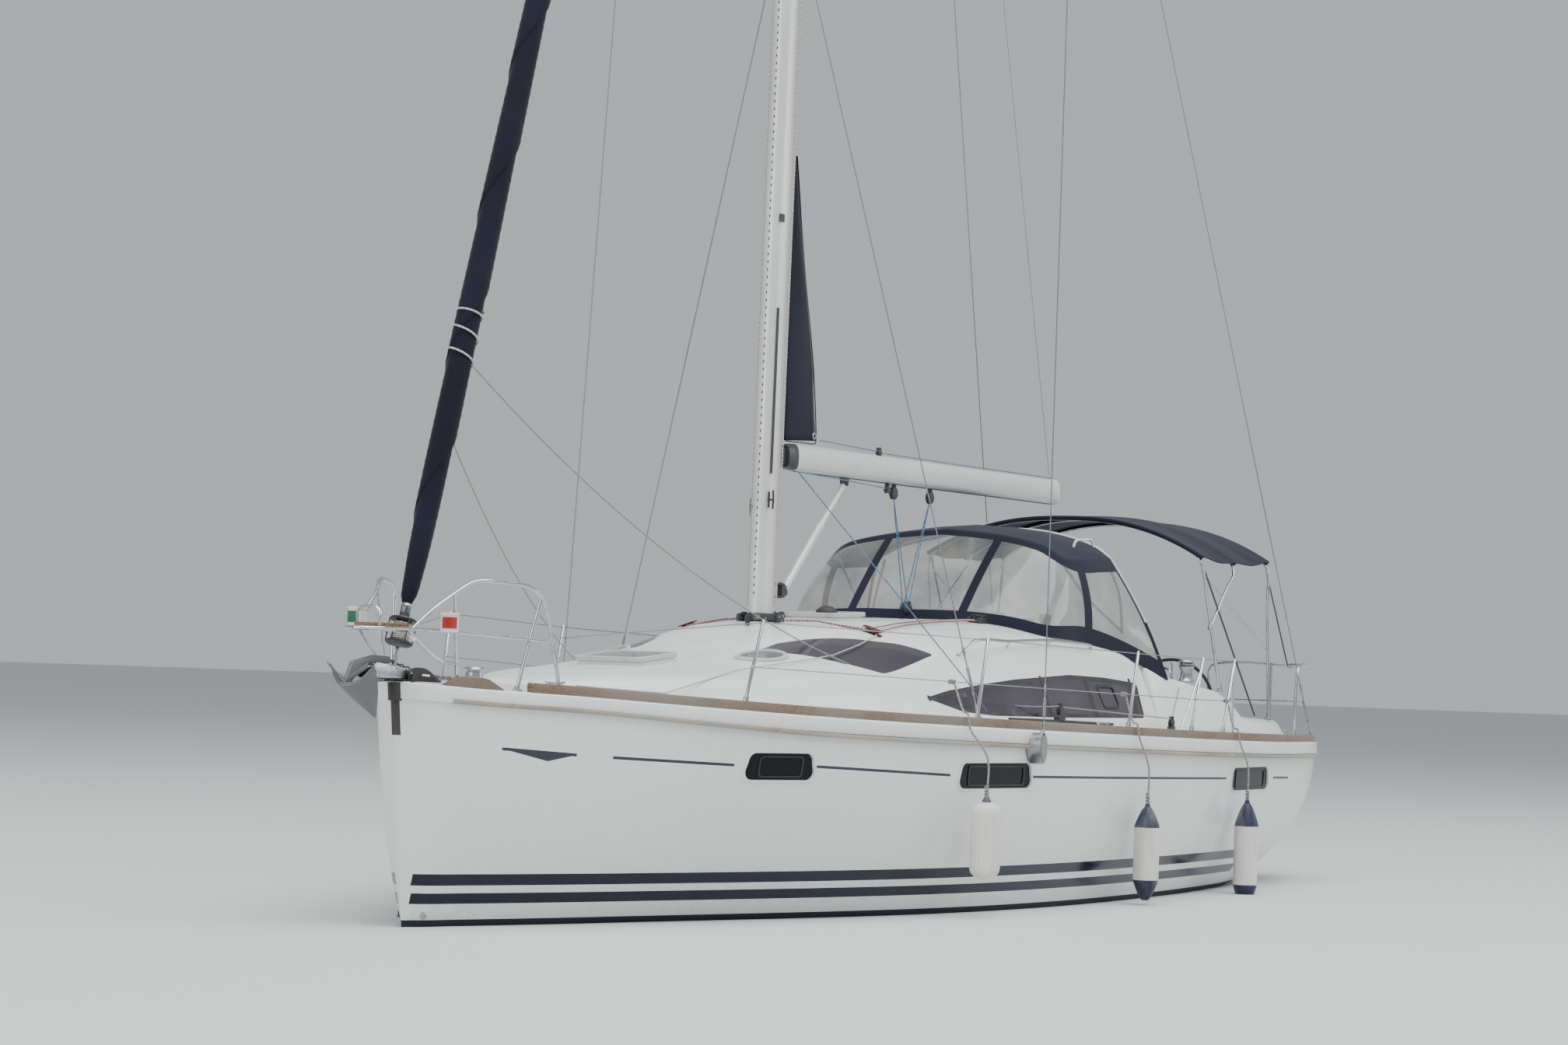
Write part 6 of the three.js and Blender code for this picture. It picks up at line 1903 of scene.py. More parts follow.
def make_wheel(name, side):
    y, body = side * WHEEL_Y, "wheel_" + name
    at = lambda r, a, dx=0.0: (WHEEL_X + dx, y + r * sin(a), WHEEL_Z + r * cos(a))
    rim = [at(WHEEL_RADIUS, a) for a in full_turn(64)]
    piece("wheel_rim_" + name, along(rim, 0.014, 12, closed=True), LEATHER, body, ["wheel_" + name])
    metal = []
    for a in full_turn(5):
        metal.append(along([at(0.03, a), at(0.2, a), at(WHEEL_RADIUS - 0.008, a)], [0.011, 0.0085, 0.0075], 10))
        outward = Vector(at(1, a)) - Vector(at(0, a))
        metal.append(turned([(0.016, -0.012), (0.0125, 0.018)], at(WHEEL_RADIUS - 0.03, a), outward, 12))
    hub = [(0.0, -0.032), (0.03, -0.03), (0.045, -0.018), (0.045, 0.02), (0.03, 0.034), (0.03, 0.07), (0.0, 0.07)]
    metal.append(turned(hub, (WHEEL_X, y, WHEEL_Z), (1, 0, 0), 28))
    piece("wheel_spokes_" + name, metal, STEEL, body)
    stitch = [at(WHEEL_RADIUS - 0.0142, a) for a in np.linspace(0, tau, 97)]
    grown_piece(
        ITEMS, "wheel_stitches_" + name, [stitch], ROPE_GREY, "tinted", body, Step=0.013, Long=0.008, Thick=0.0009
    )


for name, side in SIDES.items():
    make_pedestal(name, side)
    make_wheel(name, side)
print("helms: 2")
# %% [markdown]
# ## The bow
# At the bow a steel roller holds the anchor clear of the stem, and a tube pulpit stands over it, with a teak
# seat across its middle rail. All tubes are swept along smooth lines through the bends, in the same
# places as the plain solids, and each foot ends in a round flange on the deck.

# %% Pulpit
TUBE = 0.013
PULPIT_FEET = {"fore": (5.88, 0.275), "middle": (5.51, 0.495), "aft": (5.225, 0.65)}


def deck_foot(x, y, lift=0.002):
    return (x, y, deck_height(x, abs(y)) + lift)


PULPIT_RAIL = [
    (6.3, 0.2, 1.915), (6.16, 0.255, 2.04), (5.99, 0.305, 2.15), (5.85, 0.375, 2.235),
    (5.64, 0.47, 2.235), (5.46, 0.55, 2.21), (5.375, 0.585, 2.13), deck_foot(*PULPIT_FEET["aft"]),
]  # fmt: skip
PULPIT_MIDDLE = [
    (6.655, 0.0, 1.912), (6.64, 0.055, 1.912), (6.58, 0.11, 1.912),
    (6.3, 0.2, 1.915), (5.96, 0.325, 1.905), (5.29, 0.625, 1.865),
]  # fmt: skip
PULPIT_BRACE = [(6.33, 0.195, 1.905), (6.18, 0.215, 1.8), (6.02, 0.245, 1.715), (5.905, 0.285, 1.7)]
PULPIT_LEG_TOPS = {"fore": (5.985, 0.307, 2.152), "middle": (5.385, 0.578, 2.145)}
FLANGE = [(0.036, -0.004), (0.036, 0.004), (0.03, 0.007), (0.0175, 0.009), (0.0175, 0.028)]


def make_pulpit():
    tubes, flanges = [], []
    for side in SIDES.values():
        tubes.append(along(curve_through(sided(PULPIT_RAIL, side), 8), TUBE, 12))
        tubes.append(along(curve_through(sided(PULPIT_MIDDLE, side), 8), TUBE, 12))
        tubes.append(along(curve_through(sided(PULPIT_BRACE, side), 8), TUBE - 0.002, 12))
        for leg in ("fore", "middle"):
            foot = deck_foot(*PULPIT_FEET[leg])
            tubes.append(bar(*sided([PULPIT_LEG_TOPS[leg], foot], side), TUBE, 12))
        for x, y in PULPIT_FEET.values():
            flanges.append(turned(FLANGE, (x, side * y, deck_height(x, y)), sides=20))
    tubes.append(bar((6.3, -0.195, 1.908), (6.3, 0.195, 1.908), TUBE, 12))
    hoop = [
        (6.5, -0.085, 1.93), (6.5, -0.085, 2.02), (6.5, -0.06, 2.045), (6.5, 0.06, 2.045),
        (6.5, 0.085, 2.02), (6.5, 0.085, 1.93),
    ]
    tubes.append(along(curve_through(hoop, 5), 0.009, 10))
    piece("pulpit_tubes", tubes, STEEL, stands_for=["pulpit"])
    piece("pulpit_flanges", flanges, CHROME_DULL)


make_pulpit()
print("pulpit feet:", 2 * len(PULPIT_FEET))

# %% Bow seat


def make_bow_seat():
    outline = [(6.29, -0.165), (6.29, 0.165), (6.54, 0.075), (6.59, 0.05), (6.59, -0.05), (6.54, -0.075)]
    planks = []
    for k in range(5):
        low, high = 6.292 + 0.0595 * k, 6.292 + 0.0595 * (k + 1) - 0.006
        wide = [float(np.interp(x, [6.29, 6.54, 6.59], [0.165, 0.075, 0.05])) for x in (low, high)]
        corners = [(low, -wide[0]), (high, -wide[1]), (high, wide[1]), (low, wide[0])]
        planks.append(plate(eased_outline(corners, 0.008, 2), "z", 1.927, 1.949))
    bed = plate([(x, y * 0.5) for x, y in outline], "z", 1.9265, 1.936)
    piece("bow_seat_planks", [*planks, bed], SEAT_TEAK, stands_for=["bow_seat"], edge=(0.002, 2))


make_bow_seat()
print("the bow seat has five planks")

# %% Bow lights
# outline of a lens that wraps round the case's outer fore corner, from the lamp's middle
LENS = [
    (-0.012, 0.04), (-0.012, 0.049), (0.044, 0.049), (0.0515, 0.041),
    (0.0515, -0.022), (0.044, -0.022), (0.042, 0.038),
]  # fmt: skip
RED_LENS = make_smoked("red_lens", (0.32, 0.012, 0.01), 0.95)
GREEN_LENS = make_smoked("green_lens", (0.01, 0.12, 0.05), 0.95)


def make_bow_lights():
    """A lamp in a white case each side: the port one stands over the rail, the other beyond the seat."""
    boxes = []
    lamps = ((1, "red", RED_LENS, (6.065, 0.325, 1.905)), (-1, "green", GREEN_LENS, (6.3, -0.225, 1.925)))
    for side, colour, lens_finish, (x, y, z) in lamps:
        outline = eased_outline(oblong(x - 0.048, x + 0.048, y - 0.046, y + 0.046), 0.018)
        boxes.append(plate(outline, "z", z, z + 0.115))
        boxes.append(plate(grown(outline, 0.005), "z", z + 0.108, z + 0.124))
        lens = [(x + dx, y + side * dy) for dx, dy in LENS]
        piece("bow_lens_" + colour, plate(lens, "z", z + 0.022, z + 0.094), lens_finish)
    piece("bow_light_cases", boxes, WHITE_PLASTIC)
    tape = [
        bar((6.2, -0.24, 2.01), (6.255, -0.222, 1.965), 0.017, 12),
        bar((6.3, 0.185, 1.88), (6.27, 0.2, 1.845), 0.015, 12),
    ]
    piece("chafe_tape", tape, WHITE_PLASTIC)


make_bow_lights()
print("bow lights: red to port, green to starboard")

# %% [markdown]
# ### Roller, anchor and chain
# The anchor is a plough: two curved wings that meet along a keel, welded to a flat shank that lies in the
# roller. The wings are lofted in rows from the point to the crown. The chain's links are grown along its path.

# %% Roller
ROLLER = {"x0": 5.95, "x1": 6.5, "half": 0.062, "wall": 0.008, "z0": 1.592, "z1": 1.68}
SHANK = [
    (6.262, 1.69), (6.44, 1.69), (6.56, 1.66), (6.64, 1.6), (6.69, 1.545),
    (6.728, 1.59), (6.668, 1.7), (6.44, 1.742), (6.262, 1.735),
]  # fmt: skip
# keel point and wing edge of each row, from the point to the crown
PLOUGH = [
    ((6.38, 0, 1.35), (6.388, 0.008, 1.362)),
    ((6.44, 0, 1.388), (6.443, 0.052, 1.432)),
    ((6.5, 0, 1.425), (6.5, 0.095, 1.5)),
    ((6.61, 0, 1.49), (6.585, 0.145, 1.59)),
    ((6.725, 0, 1.555), (6.66, 0.168, 1.68)),
]


def make_roller():
    x0, x1, half, wall, z0, z1 = ROLLER.values()
    parts = [rounded_box(x0, x1, -half, half, z0, z0 + 0.01, 0.02)]
    profile = [(x0 + 0.06, z0), (x1, z0), (x1 + 0.04, z0 + 0.03), (x1 - 0.01, z1 + 0.02), (x0 + 0.15, z1 - 0.02)]
    for side in SIDES.values():
        low, high = sorted((side * (half - wall), side * half))
        parts.append(plate(eased_outline(profile, 0.035), "y", low, high))
    parts.append(bar((x1 - 0.02, -half - 0.008, 1.64), (x1 - 0.02, half + 0.008, 1.64), 0.01, 12))
    parts.append(bar((x0 + 0.3, -half - 0.006, 1.665), (x0 + 0.3, half + 0.006, 1.665), 0.008, 12))
    piece("roller_cheeks", parts, CHROME_DULL, stands_for=["bow_roller"], edge=(0.002, 2))
    wheel_rows = [
        (0.012, -0.05), (0.036, -0.05), (0.03, -0.02), (0.022, 0.0), (0.03, 0.02), (0.036, 0.05), (0.012, 0.05)
    ]
    piece("roller_wheel", turned(wheel_rows, (x1 - 0.02, 0, 1.64), (0, 1, 0), 24), BLACK)


make_roller()
print("roller reaches x =", ROLLER["x1"])

# %% Anchor, chain and windlass


def make_anchor():
    shank = plate(SHANK, "y", -0.014, 0.014)
    piece("anchor_plough", shank, ZINC, stands_for=["anchor"], edge=(0.005, 3))
    wings, fins = [], []
    for side in SIDES.values():
        rings = []
        for keel, edge in PLOUGH:
            k, e = Vector(keel), Vector((edge[0], side * edge[1], edge[2]))
            ring_top, ring_low = [], []
            for t in np.linspace(0, 1, 7):
                sag = Vector((0.35, 0, -1)).normalized() * 0.2 * (e - k).length * sin(pi * t)
                p = k.lerp(e, t) + sag
                thick = 0.013 * (1 - 0.65 * t)
                ring_top.append(p + Vector((-0.4 * thick, 0, thick)))
                ring_low.append(p - Vector((-0.4 * thick, 0, thick)))
            rings.append([*ring_top, *ring_low[::-1]])
        wings.append(loft(rings))
        flap = [
            (6.7, side * 0.15, 1.668), (6.7, side * 0.03, 1.585), (6.728, side * 0.03, 1.6),
            (6.712, side * 0.158, 1.69),
        ]
        fins.append(loft([[(x, y, z + d) for x, y, z in flap] for d in (-0.004, 0.004)]))
    piece("anchor_wings", [*wings, *fins], ZINC, crease=50)
    shackle = [
        (6.275, 0.0, 1.712), (6.235, 0.018, 1.712), (6.215, 0.0, 1.712), (6.235, -0.018, 1.712), (6.275, 0.0, 1.712)
    ]
    piece("anchor_shackle", along(curve_through(shackle, 6), 0.006, 8), ZINC)
    chain = [(6.21, 1.7), (6.05, 1.665), (5.9, 1.64), (5.7, 1.612), (5.52, 1.597), (5.44, 1.56)]
    path = curve_through([(x, 0, z) for x, z in chain], 8)
    grown_piece(LINKS, "anchor_chain", [path], ZINC, "galvanised", Step=0.034, Long=0.0145, Thick=0.0042)
    drum = [(0.095, 0), (0.095, 0.03), (0.06, 0.045), (0.055, 0.08), (0.07, 0.1), (0.06, 0.115), (0.0, 0.12)]
    z = deck_height(5.44, 0.16)
    piece("windlass", turned(drum, (5.42, 0.1, z - 0.01), sides=28), CHROME_DULL)


make_anchor()
print("anchor rows:", len(PLOUGH))

# %% Plates beside the roller


def make_bow_plates():
    """The fairleads and chafe plates each side of the roller."""
    plates, fairleads = [], []
    outline = eased_outline([(6.14, 0.045), (6.1, 0.095), (5.93, 0.165), (5.86, 0.15), (5.9, 0.075)], 0.03)
    for side in SIDES.values():
        rows = []
        for lift in (0.002, 0.03):
            heights = [deck_height(min(x, 6.17), y) + lift * (1.0 if x > 5.95 else 0.5) for x, y in outline]
            rows.append([(x, side * y, z) for (x, y), z in zip(outline, heights)])
        plates.append(loft(rows))
        fairleads.append(bar((6.1, side * 0.06, 1.625), (5.98, side * 0.125, 1.615), 0.012, 12))
    for side in SIDES.values():
        guard = eased_outline([(6.15, 1.56), (5.76, 1.56), (5.96, 1.655), (6.01, 1.668), (6.12, 1.672)], 0.03)
        plates.append(plate(guard, "y", *sorted((side * 0.098, side * 0.108))))
    piece("bow_plates", plates, BAND_GREY)
    piece("bow_fairleads", fairleads, STEEL)
    locker = eased_outline([(5.2, -0.2), (5.72, -0.13), (5.72, 0.13), (5.2, 0.2)], 0.05)
    rim = []
    for grow_by, lift in ((0.004, -0.004), (0.004, 0.004), (-0.004, 0.006), (-0.008, -0.004)):
        rim.append([(x, y, deck_height(x, abs(y)) + lift) for x, y in grown(locker, grow_by)])
    piece("chain_locker_lid", loft(rim), DECK_WHITE)


make_bow_plates()

print("bow is fitted out")

# %% [markdown]
# ## Rails round the deck
# Five stanchions a side carry two wires from the pulpit to the pushpit. A stanchion is a tapered
# tube in a cast socket with a wide foot. The wires are thin and straight, with an eye at every end.

# %% Guardrails
STANCHIONS = [
    ((3.81, 1.235), (3.66, 1.28, 2.06)),
    ((1.41, 1.83), (1.26, 1.83, 2.01)),
    ((-1.03, 1.965), (-1.19, 1.965, 1.96)),
    ((-2.34, 1.95), (-2.56, 1.95, 1.935)),
    ((-3.12, 1.905), (-3.36, 1.905, 1.935)),
]
RAIL_ENDS = {"fore": (5.285, 0.645, 1.89), "aft": (-5.43, 1.64, 1.9)}
RAIL_WIRE = 0.0035
MID_WIRE = 0.47
SOCKET = [(0.042, -0.004), (0.042, 0.005), (0.03, 0.01), (0.02, 0.016), (0.0195, 0.08), (0.016, 0.084)]


def wire_points(side, share):
    """Where a guard wire passes each stanchion: share 1 is the top wire."""
    points = []
    for (x, y), head in STANCHIONS:
        foot = Vector(deck_foot(x, y))
        points.append(foot.lerp(Vector(head), share))
    return [Vector((p.x, side * p.y, p.z)) for p in points]


def wire_at(x, side, share):
    """A point of a guard wire at x."""
    p = wire_points(side, share)[::-1]
    return [float(np.interp(x, [q.x for q in p], [q[k] for q in p])) for k in range(3)]


def make_guardrails():
    for name, side in SIDES.items():
        tubes, sockets, wires, eyes = [], [], [], []
        for k, ((x, y), head) in enumerate(STANCHIONS):
            foot, top = Vector(deck_foot(x, side * y)), Vector((head[0], side * head[1], head[2]))
            if k > 2:  # the two beside the gate have a brace
                stay = Vector(deck_foot(x + (0.24 if k == 3 else -0.24), side * y))
                tubes.append(bar(stay, foot.lerp(top, 0.86), TUBE * 0.8, 12))
                sockets.append(turned(SOCKET[:3], stay, sides=20))
            lean = (top - foot).normalized()
            tubes.append(along([foot, top, top + lean * 0.012], [TUBE, TUBE * 0.92, TUBE * 0.4], 12))
            sockets.append(turned(SOCKET[:3], foot, sides=20))
            sockets.append(turned(SOCKET[3:], foot, lean, 16))
            eyes.append(ball(foot.lerp(top, MID_WIRE), 0.017, 1.0, 10))
        top_wire, low_wire = wire_points(side, 0.985), wire_points(side, MID_WIRE)
        fore, aft = [Vector((p[0], side * p[1], p[2])) for p in RAIL_ENDS.values()]
        for line in (top_wire, low_wire):
            wires += [bar(a, b, RAIL_WIRE, 8) for a, b in zip(line, line[1:])]
        wires.append(bar(top_wire[0], top_wire[0].lerp(fore, 0.985), RAIL_WIRE, 8))
        wires.append(bar(top_wire[-1], aft, RAIL_WIRE, 8))
        for a, b in ((top_wire[0], fore), (top_wire[-1], aft)):
            wires.append(bar(a.lerp(b, 0.9), a.lerp(b, 0.96), 0.0085, 10))
        piece("stanchions_" + name, tubes, STEEL, stands_for=["guardrail_" + name])
        piece("stanchion_sockets_" + name, [*sockets, *eyes], CHROME_DULL)
        piece("guard_wires_" + name, wires, WIRE)


WIRE = make_steel("stranded_wire", (0.3, 0.31, 0.32), (0.3, 0.5))
make_guardrails()
print("stanchions:", 2 * len(STANCHIONS))

# %% Pushpits
PUSHPIT_HOOP = [
    (-5.45, 1.655, 1.7), (-5.5, 1.65, 1.89), (-5.64, 1.63, 1.925), (-5.98, 1.54, 1.925), (-6.11, 1.42, 1.925),
    (-6.12, 1.15, 1.925), (-6.12, 0.7, 1.925), (-6.12, 0.56, 1.88), (-6.12, 0.54, 1.7),
]  # fmt: skip
PUSHPIT_MIDDLE = [
    (-5.45, 1.655, 1.59), (-5.9, 1.53, 1.59), (-6.06, 1.37, 1.59), (-6.12, 1.0, 1.59), (-6.12, 0.54, 1.59)
]
PUSHPIT_FEET = [(-5.45, 1.655), (-6.12, 0.54), (-6.12, 1.15)]
HANDRAIL_Y, HANDRAIL_RADIUS = 1.3, 0.012
HANDRAIL = [(0.45, 1.985), (-0.25, 2.01), (-1.0, 2.03), (-1.75, 2.01)]


def stern_deck_height(x, y):
    return deck_height(max(x, TRANSOM_X + 0.001), abs(y))


def make_pushpits():
    for name, side in SIDES.items():
        feet = [(x, y, stern_deck_height(x, y)) for x, y in PUSHPIT_FEET]
        hoop = [feet[0], *PUSHPIT_HOOP, feet[1]]
        parts = [along(curve_through(sided(hoop, side), 8), TUBE, 12)]
        parts.append(along(curve_through(sided(PUSHPIT_MIDDLE, side), 8), TUBE - 0.003, 12))
        parts.append(bar(*sided([(-6.12, 1.15, 1.925), feet[2]], side), TUBE, 12))
        flanges = [turned(FLANGE, (x, side * y, z), sides=20) for x, y, z in feet]
        piece("pushpit_tubes_" + name, parts, STEEL, stands_for=["pushpit_" + name])
        piece("pushpit_flanges_" + name, flanges, CHROME_DULL)


make_pushpits()
print("pushpit feet:", 2 * len(PUSHPIT_FEET))

# %% Handrails on the roof


def make_handrails():
    for name, side in SIDES.items():
        y = side * HANDRAIL_Y
        rail = [(x, y, z) for x, z in HANDRAIL]
        surface = lambda x: roof_height(x, 1.245)
        ends = [(rail[0][0] + 0.13, side * 1.25, surface(0.58)), (rail[-1][0] - 0.13, side * 1.25, surface(-1.88))]
        parts = [along(curve_through([ends[0], *rail, ends[1]], 8), HANDRAIL_RADIUS, 12)]
        for x, _, z in rail[1:-1]:
            parts.append(bar((x, y, z), (x, side * 1.262, roof_height(x, 1.262)), 0.009, 10))
        piece("handrail_tube_" + name, parts, STEEL, stands_for=["handrail_" + name])


make_handrails()
print("handrails stand", HANDRAIL_Y, "m off the middle")
# %% [markdown]
# ## The mast
# The mast is an aluminium extrusion with a squarish oval section and a slot up its aft face. It is straight and
# raked a little aft, so it is one loft. Two pairs of swept spreaders hold the shrouds out.

# %% Mast
MAST_FOOT, MAST_HEAD, MAST_RAKE = 2.083, 18.2, 0.018
MAST_LONG, MAST_WIDE = 0.125, 0.075
HOUNDS = 17.6
ALLOY_BLACK = make_paint("anodised_black", (0.03, 0.031, 0.034), 0.42, 0.3)


def mast_x(z):
    return 1.4 - MAST_RAKE * (z - 2.072)


def oval_ring(x, z, long, wide, steps=36):
    ring = []
    for a in full_turn(steps):
        c, s = cos(a), sin(a)
        ring.append((x + long * copysign(abs(c) ** 0.8, c), wide * copysign(abs(s) ** 0.8, s), z))
    return ring


SPREADERS = {"lower": (7.5, 1.96, 0.75), "upper": (12.9, 1.5, 0.57)}


def spreader_tip(name, side):
    z, out, sweep = SPREADERS[name]
    return Vector((mast_x(z) - sweep, side * out, z + 0.09))


def make_mast():
    heights = np.linspace(MAST_FOOT, MAST_HEAD, 24)
    tube = loft([oval_ring(mast_x(z), z, MAST_LONG, MAST_WIDE) for z in heights])
    piece("mast_tube", tube, SPAR, stands_for=["mast"])
    aft = lambda z: mast_x(z) - MAST_LONG
    section = ((-0.003, -0.011), (-0.003, 0.011), (0.01, 0.011), (0.01, -0.011))
    slot = loft([[(aft(z) + d, w, z) for d, w in section] for z in (2.55, 18.0)])
    piece("mast_slot", slot, BLACK)
    steps = ((2.08, 0.03), (2.1, 0.03), (2.125, 0.012), (2.15, 0.003))
    collar = [oval_ring(mast_x(MAST_FOOT), z, MAST_LONG + out, MAST_WIDE + out) for z, out in steps]
    piece("mast_collar", loft(collar), ALLOY_BLACK)
    step = rounded_box(1.21, 1.59, -0.13, 0.13, 2.042, 2.082, 0.05)
    piece("mast_step", step, SPAR, edge=(0.006, 2))


make_mast()
print("mast from", MAST_FOOT, "to", MAST_HEAD)

# %% Spreaders


def make_spreaders():
    arms, caps = [], []
    for name, (z, *_) in SPREADERS.items():
        for side in SIDES.values():
            root, tip = Vector((mast_x(z) - 0.02, side * 0.03, z)), spreader_tip(name, side)
            rings = []
            for t in np.linspace(0, 1, 9):
                p, half, high = root.lerp(tip, t), 0.06 - 0.03 * t, 0.022 - 0.01 * t
                rings.append([p + Vector((half * cos(a), 0, high * sin(a))) for a in full_turn(16)])
            arms.append(loft(rings))
            caps.append(ball(tip, 0.024, 1.2, 14))
            arms.append(
                turned([(0.075, 0), (0.075, 0.004), (0.05, 0.012)], (root.x, side * 0.068, z), (0, side, 0), 18)
            )
    piece("spreaders", arms, SPAR)
    piece("spreader_ends", caps, BLACK)


make_spreaders()
print("spreaders:", 2 * len(SPREADERS))

# %% Masthead and rivets


def make_masthead():
    x = mast_x(MAST_HEAD)
    crane = rounded_box(x - 0.33, x + 0.15, -0.04, 0.04, 18.12, 18.19, 0.03)
    piece("masthead", crane, SPAR, edge=(0.006, 2))
    vane = [
        bar((x + 0.06, 0, 18.18), (x + 0.06, 0, 18.59), 0.004, 8),
        bar((x + 0.06, 0, 18.5), (x + 0.14, 0, 18.5), 0.003, 8),
    ]
    vane += [
        turned([(0.02, 0), (0.026, 0.01), (0.026, 0.05), (0.012, 0.06)], (x - 0.05, 0, 18.188), sides=16),
        ball((x + 0.06, 0, 18.59), 0.008),
    ]
    for a in full_turn(3):
        vane.append(ball((x + 0.14 + 0.03 * cos(a), 0.03 * sin(a), 18.5), 0.011, 1.0, 8))
    piece("masthead_instruments", vane, BLACK)


make_masthead()

marks = [(mast_x(z) + MAST_LONG - 0.001, 0.0, z) for z in np.linspace(2.3, 17.9, 60)]
grown_piece(ITEMS, "mast_rivets", [marks], ALLOY_BLACK, "tinted", Step=0.058, Long=0.02, Thick=0.0055)
print("rivets up the mast's fore side, from", marks[0][2], "to", marks[-1][2])

# %% Mast fittings


def make_mast_fittings():
    """Cleats, a spare track, exit boxes and the winches' blocks round the mast's foot."""
    dark, bright = [], []
    skin = MAST_WIDE + 0.004
    for z, side, ahead in ((3.0, 1, 0.095), (2.95, -1, 0.02)):
        x = mast_x(z) + ahead
        dark.append(bar((x, side * skin, z - 0.06), (x, side * skin, z + 0.06), 0.009, 8))
        dark.append(bar((x, side * (skin - 0.01), z), (x, side * (skin + 0.035), z), 0.008, 8))
        horns = [(x, side * (skin + out), z + up) for out, up in ((0.035, -0.07), (0.038, 0), (0.035, 0.07))]
        dark.append(along(horns, 0.008, 8))
    for z0, z1, width in ((3.2, 4.45, 0.01), (5.1, 5.16, 0.03)):
        section = oblong(-width, width, -0.008, 0.005)
        dark.append(loft([[(mast_x(z) + 0.066 + d, MAST_WIDE + out, z) for d, out in section] for z in (z0, z1)]))
    exit_x, exit_y, exit_z = mast_x(2.42) + 0.055, MAST_WIDE - 0.016, 2.42
    outline = eased_outline(oblong(-0.06, 0.06, -0.01, 0.01), 0.009)
    for side in SIDES.values():
        faces = [[(exit_x + v, side * (exit_y + out), exit_z + u) for u, v in outline] for out in (-0.012, 0.009)]
        dark.append(loft(faces))
    for a in full_turn(8):
        x, y = mast_x(2.1) + 0.19 * cos(a), 0.145 * sin(a)
        z = roof_height(x, abs(y)) + 0.008
        dark.append(block(x - 0.03, x + 0.03, y - 0.01, y + 0.01, z, z + 0.075))
        dark.append(bar((x, y - 0.014, z + 0.045), (x, y + 0.014, z + 0.045), 0.034, 14))
        bright.append(bar((x, y - 0.017, z + 0.045), (x, y + 0.017, z + 0.045), 0.009, 10))
    piece("mast_fittings", dark, ALLOY_BLACK)
    piece("mast_block_pins", bright, CHROME_DULL)
    lamp = turned(
        [(0.012, 0), (0.045, 0.0), (0.05, 0.03), (0.028, 0.075), (0.0, 0.085)],
        (mast_x(8.9) + 0.115, 0, 8.86),
        (0.5, 0, 0.3),
        16,
    )
    piece("steaming_light", lamp, WHITE_PLASTIC)


make_mast_fittings()
print("fittings stand", MAST_WIDE, "m off the mast's middle")

# %% [markdown]
# ### Standing rigging
# The shrouds and stays are wires under tension, so each is a straight tube between its two fittings. A
# turnbuckle takes up each lower end: a fork, a threaded body and a jaw on a plate.

# %% Wires and turnbuckles
STAY_FOOT, STAY_HEAD = Vector((6.215, 0, 1.64)), Vector((1.25, 0, 17.6))
WIRE_RADIUS = 0.0048
PORT = Vector((0, 1, 0))
# how far along and how thick, as shares: the jaw, the thread, the body, the thread and the fork
SCREW_ROWS = [
    (0.0, 0.5), (0.04, 0.9), (0.16, 0.9), (0.18, 0.45), (0.3, 0.45), (0.32, 1.0),
    (0.68, 1.0), (0.7, 0.5), (0.86, 0.5), (0.88, 0.85), (0.97, 0.75), (1.0, 0.4),
]  # fmt: skip


def stay_at(z):
    return STAY_FOOT.lerp(STAY_HEAD, (z - STAY_FOOT.z) / (STAY_HEAD.z - STAY_FOOT.z))


def turnbuckle(a, b, radius):
    """A rigging screw from a to b."""
    a, b = Vector(a), Vector(b)
    return along([a.lerp(b, t) for t, _ in SCREW_ROWS], [radius * r for _, r in SCREW_ROWS], 12)


def make_standing_rigging():
    for name, side in SIDES.items():
        foot = Vector((0.83, side * 2.102, 1.345))
        lower, upper = [spreader_tip(n, side) + Vector((-0.008, side * 0.016, 0)) for n in ("lower", "upper")]
        head = Vector((mast_x(HOUNDS), side * 0.085, HOUNDS))
        start = foot.lerp(lower, 0.052)
        cap = [bar(start, lower, WIRE_RADIUS, 8), bar(lower, upper, WIRE_RADIUS, 8), bar(upper, head, WIRE_RADIUS, 8)]
        cap.append(turnbuckle(foot, foot.lerp(lower, 0.055), 0.0125))
        piece("cap_shroud_wire_" + name, cap, WIRE, stands_for=["cap_shroud_" + name])
        chainplate = rounded_box(0.808, 0.852, *sorted((side * 2.08, side * 2.104)), 1.16, 1.355, 0.008)
        piece("cap_shroud_strap_" + name, chainplate, CHROME_DULL, edge=(0.004, 2))
        foot = Vector((0.9, side * 1.6, deck_height(0.9, 1.6) + 0.012))
        head = Vector((mast_x(7.35), side * 0.085, 7.35))
        parts = [bar(foot.lerp(head, 0.085), head, WIRE_RADIUS, 8), turnbuckle(foot, foot.lerp(head, 0.09), 0.0125)]
        parts.append(turned([(0.045, -0.012), (0.045, -0.004), (0.02, 0.002), (0.012, 0.03)], foot, sides=18))
        piece("lower_shroud_wire_" + name, parts, WIRE, stands_for=["lower_shroud_" + name])
        foot = Vector((-6.12, side * 1.56, stern_deck_height(-6.12, 1.56) + 0.01))
        head = Vector((mast_x(MAST_HEAD) - 0.29, side * 0.02, 18.15))
        parts = [bar(foot.lerp(head, 0.028), head, WIRE_RADIUS, 8), turnbuckle(foot, foot.lerp(head, 0.03), 0.0125)]
        parts.append(turned([(0.042, -0.01), (0.042, -0.002), (0.02, 0.002)], foot, sides=18))
        piece("backstay_wire_" + name, parts, WIRE, stands_for=["backstay_" + name])
    toggle = [
        turnbuckle((6.222, 0, 1.62), stay_at(1.8), 0.019), bar((6.222, -0.03, 1.62), (6.222, 0.03, 1.62), 0.011, 12)
    ]
    piece("stay_screw", toggle, STEEL, stands_for=["forestay_toggle"])


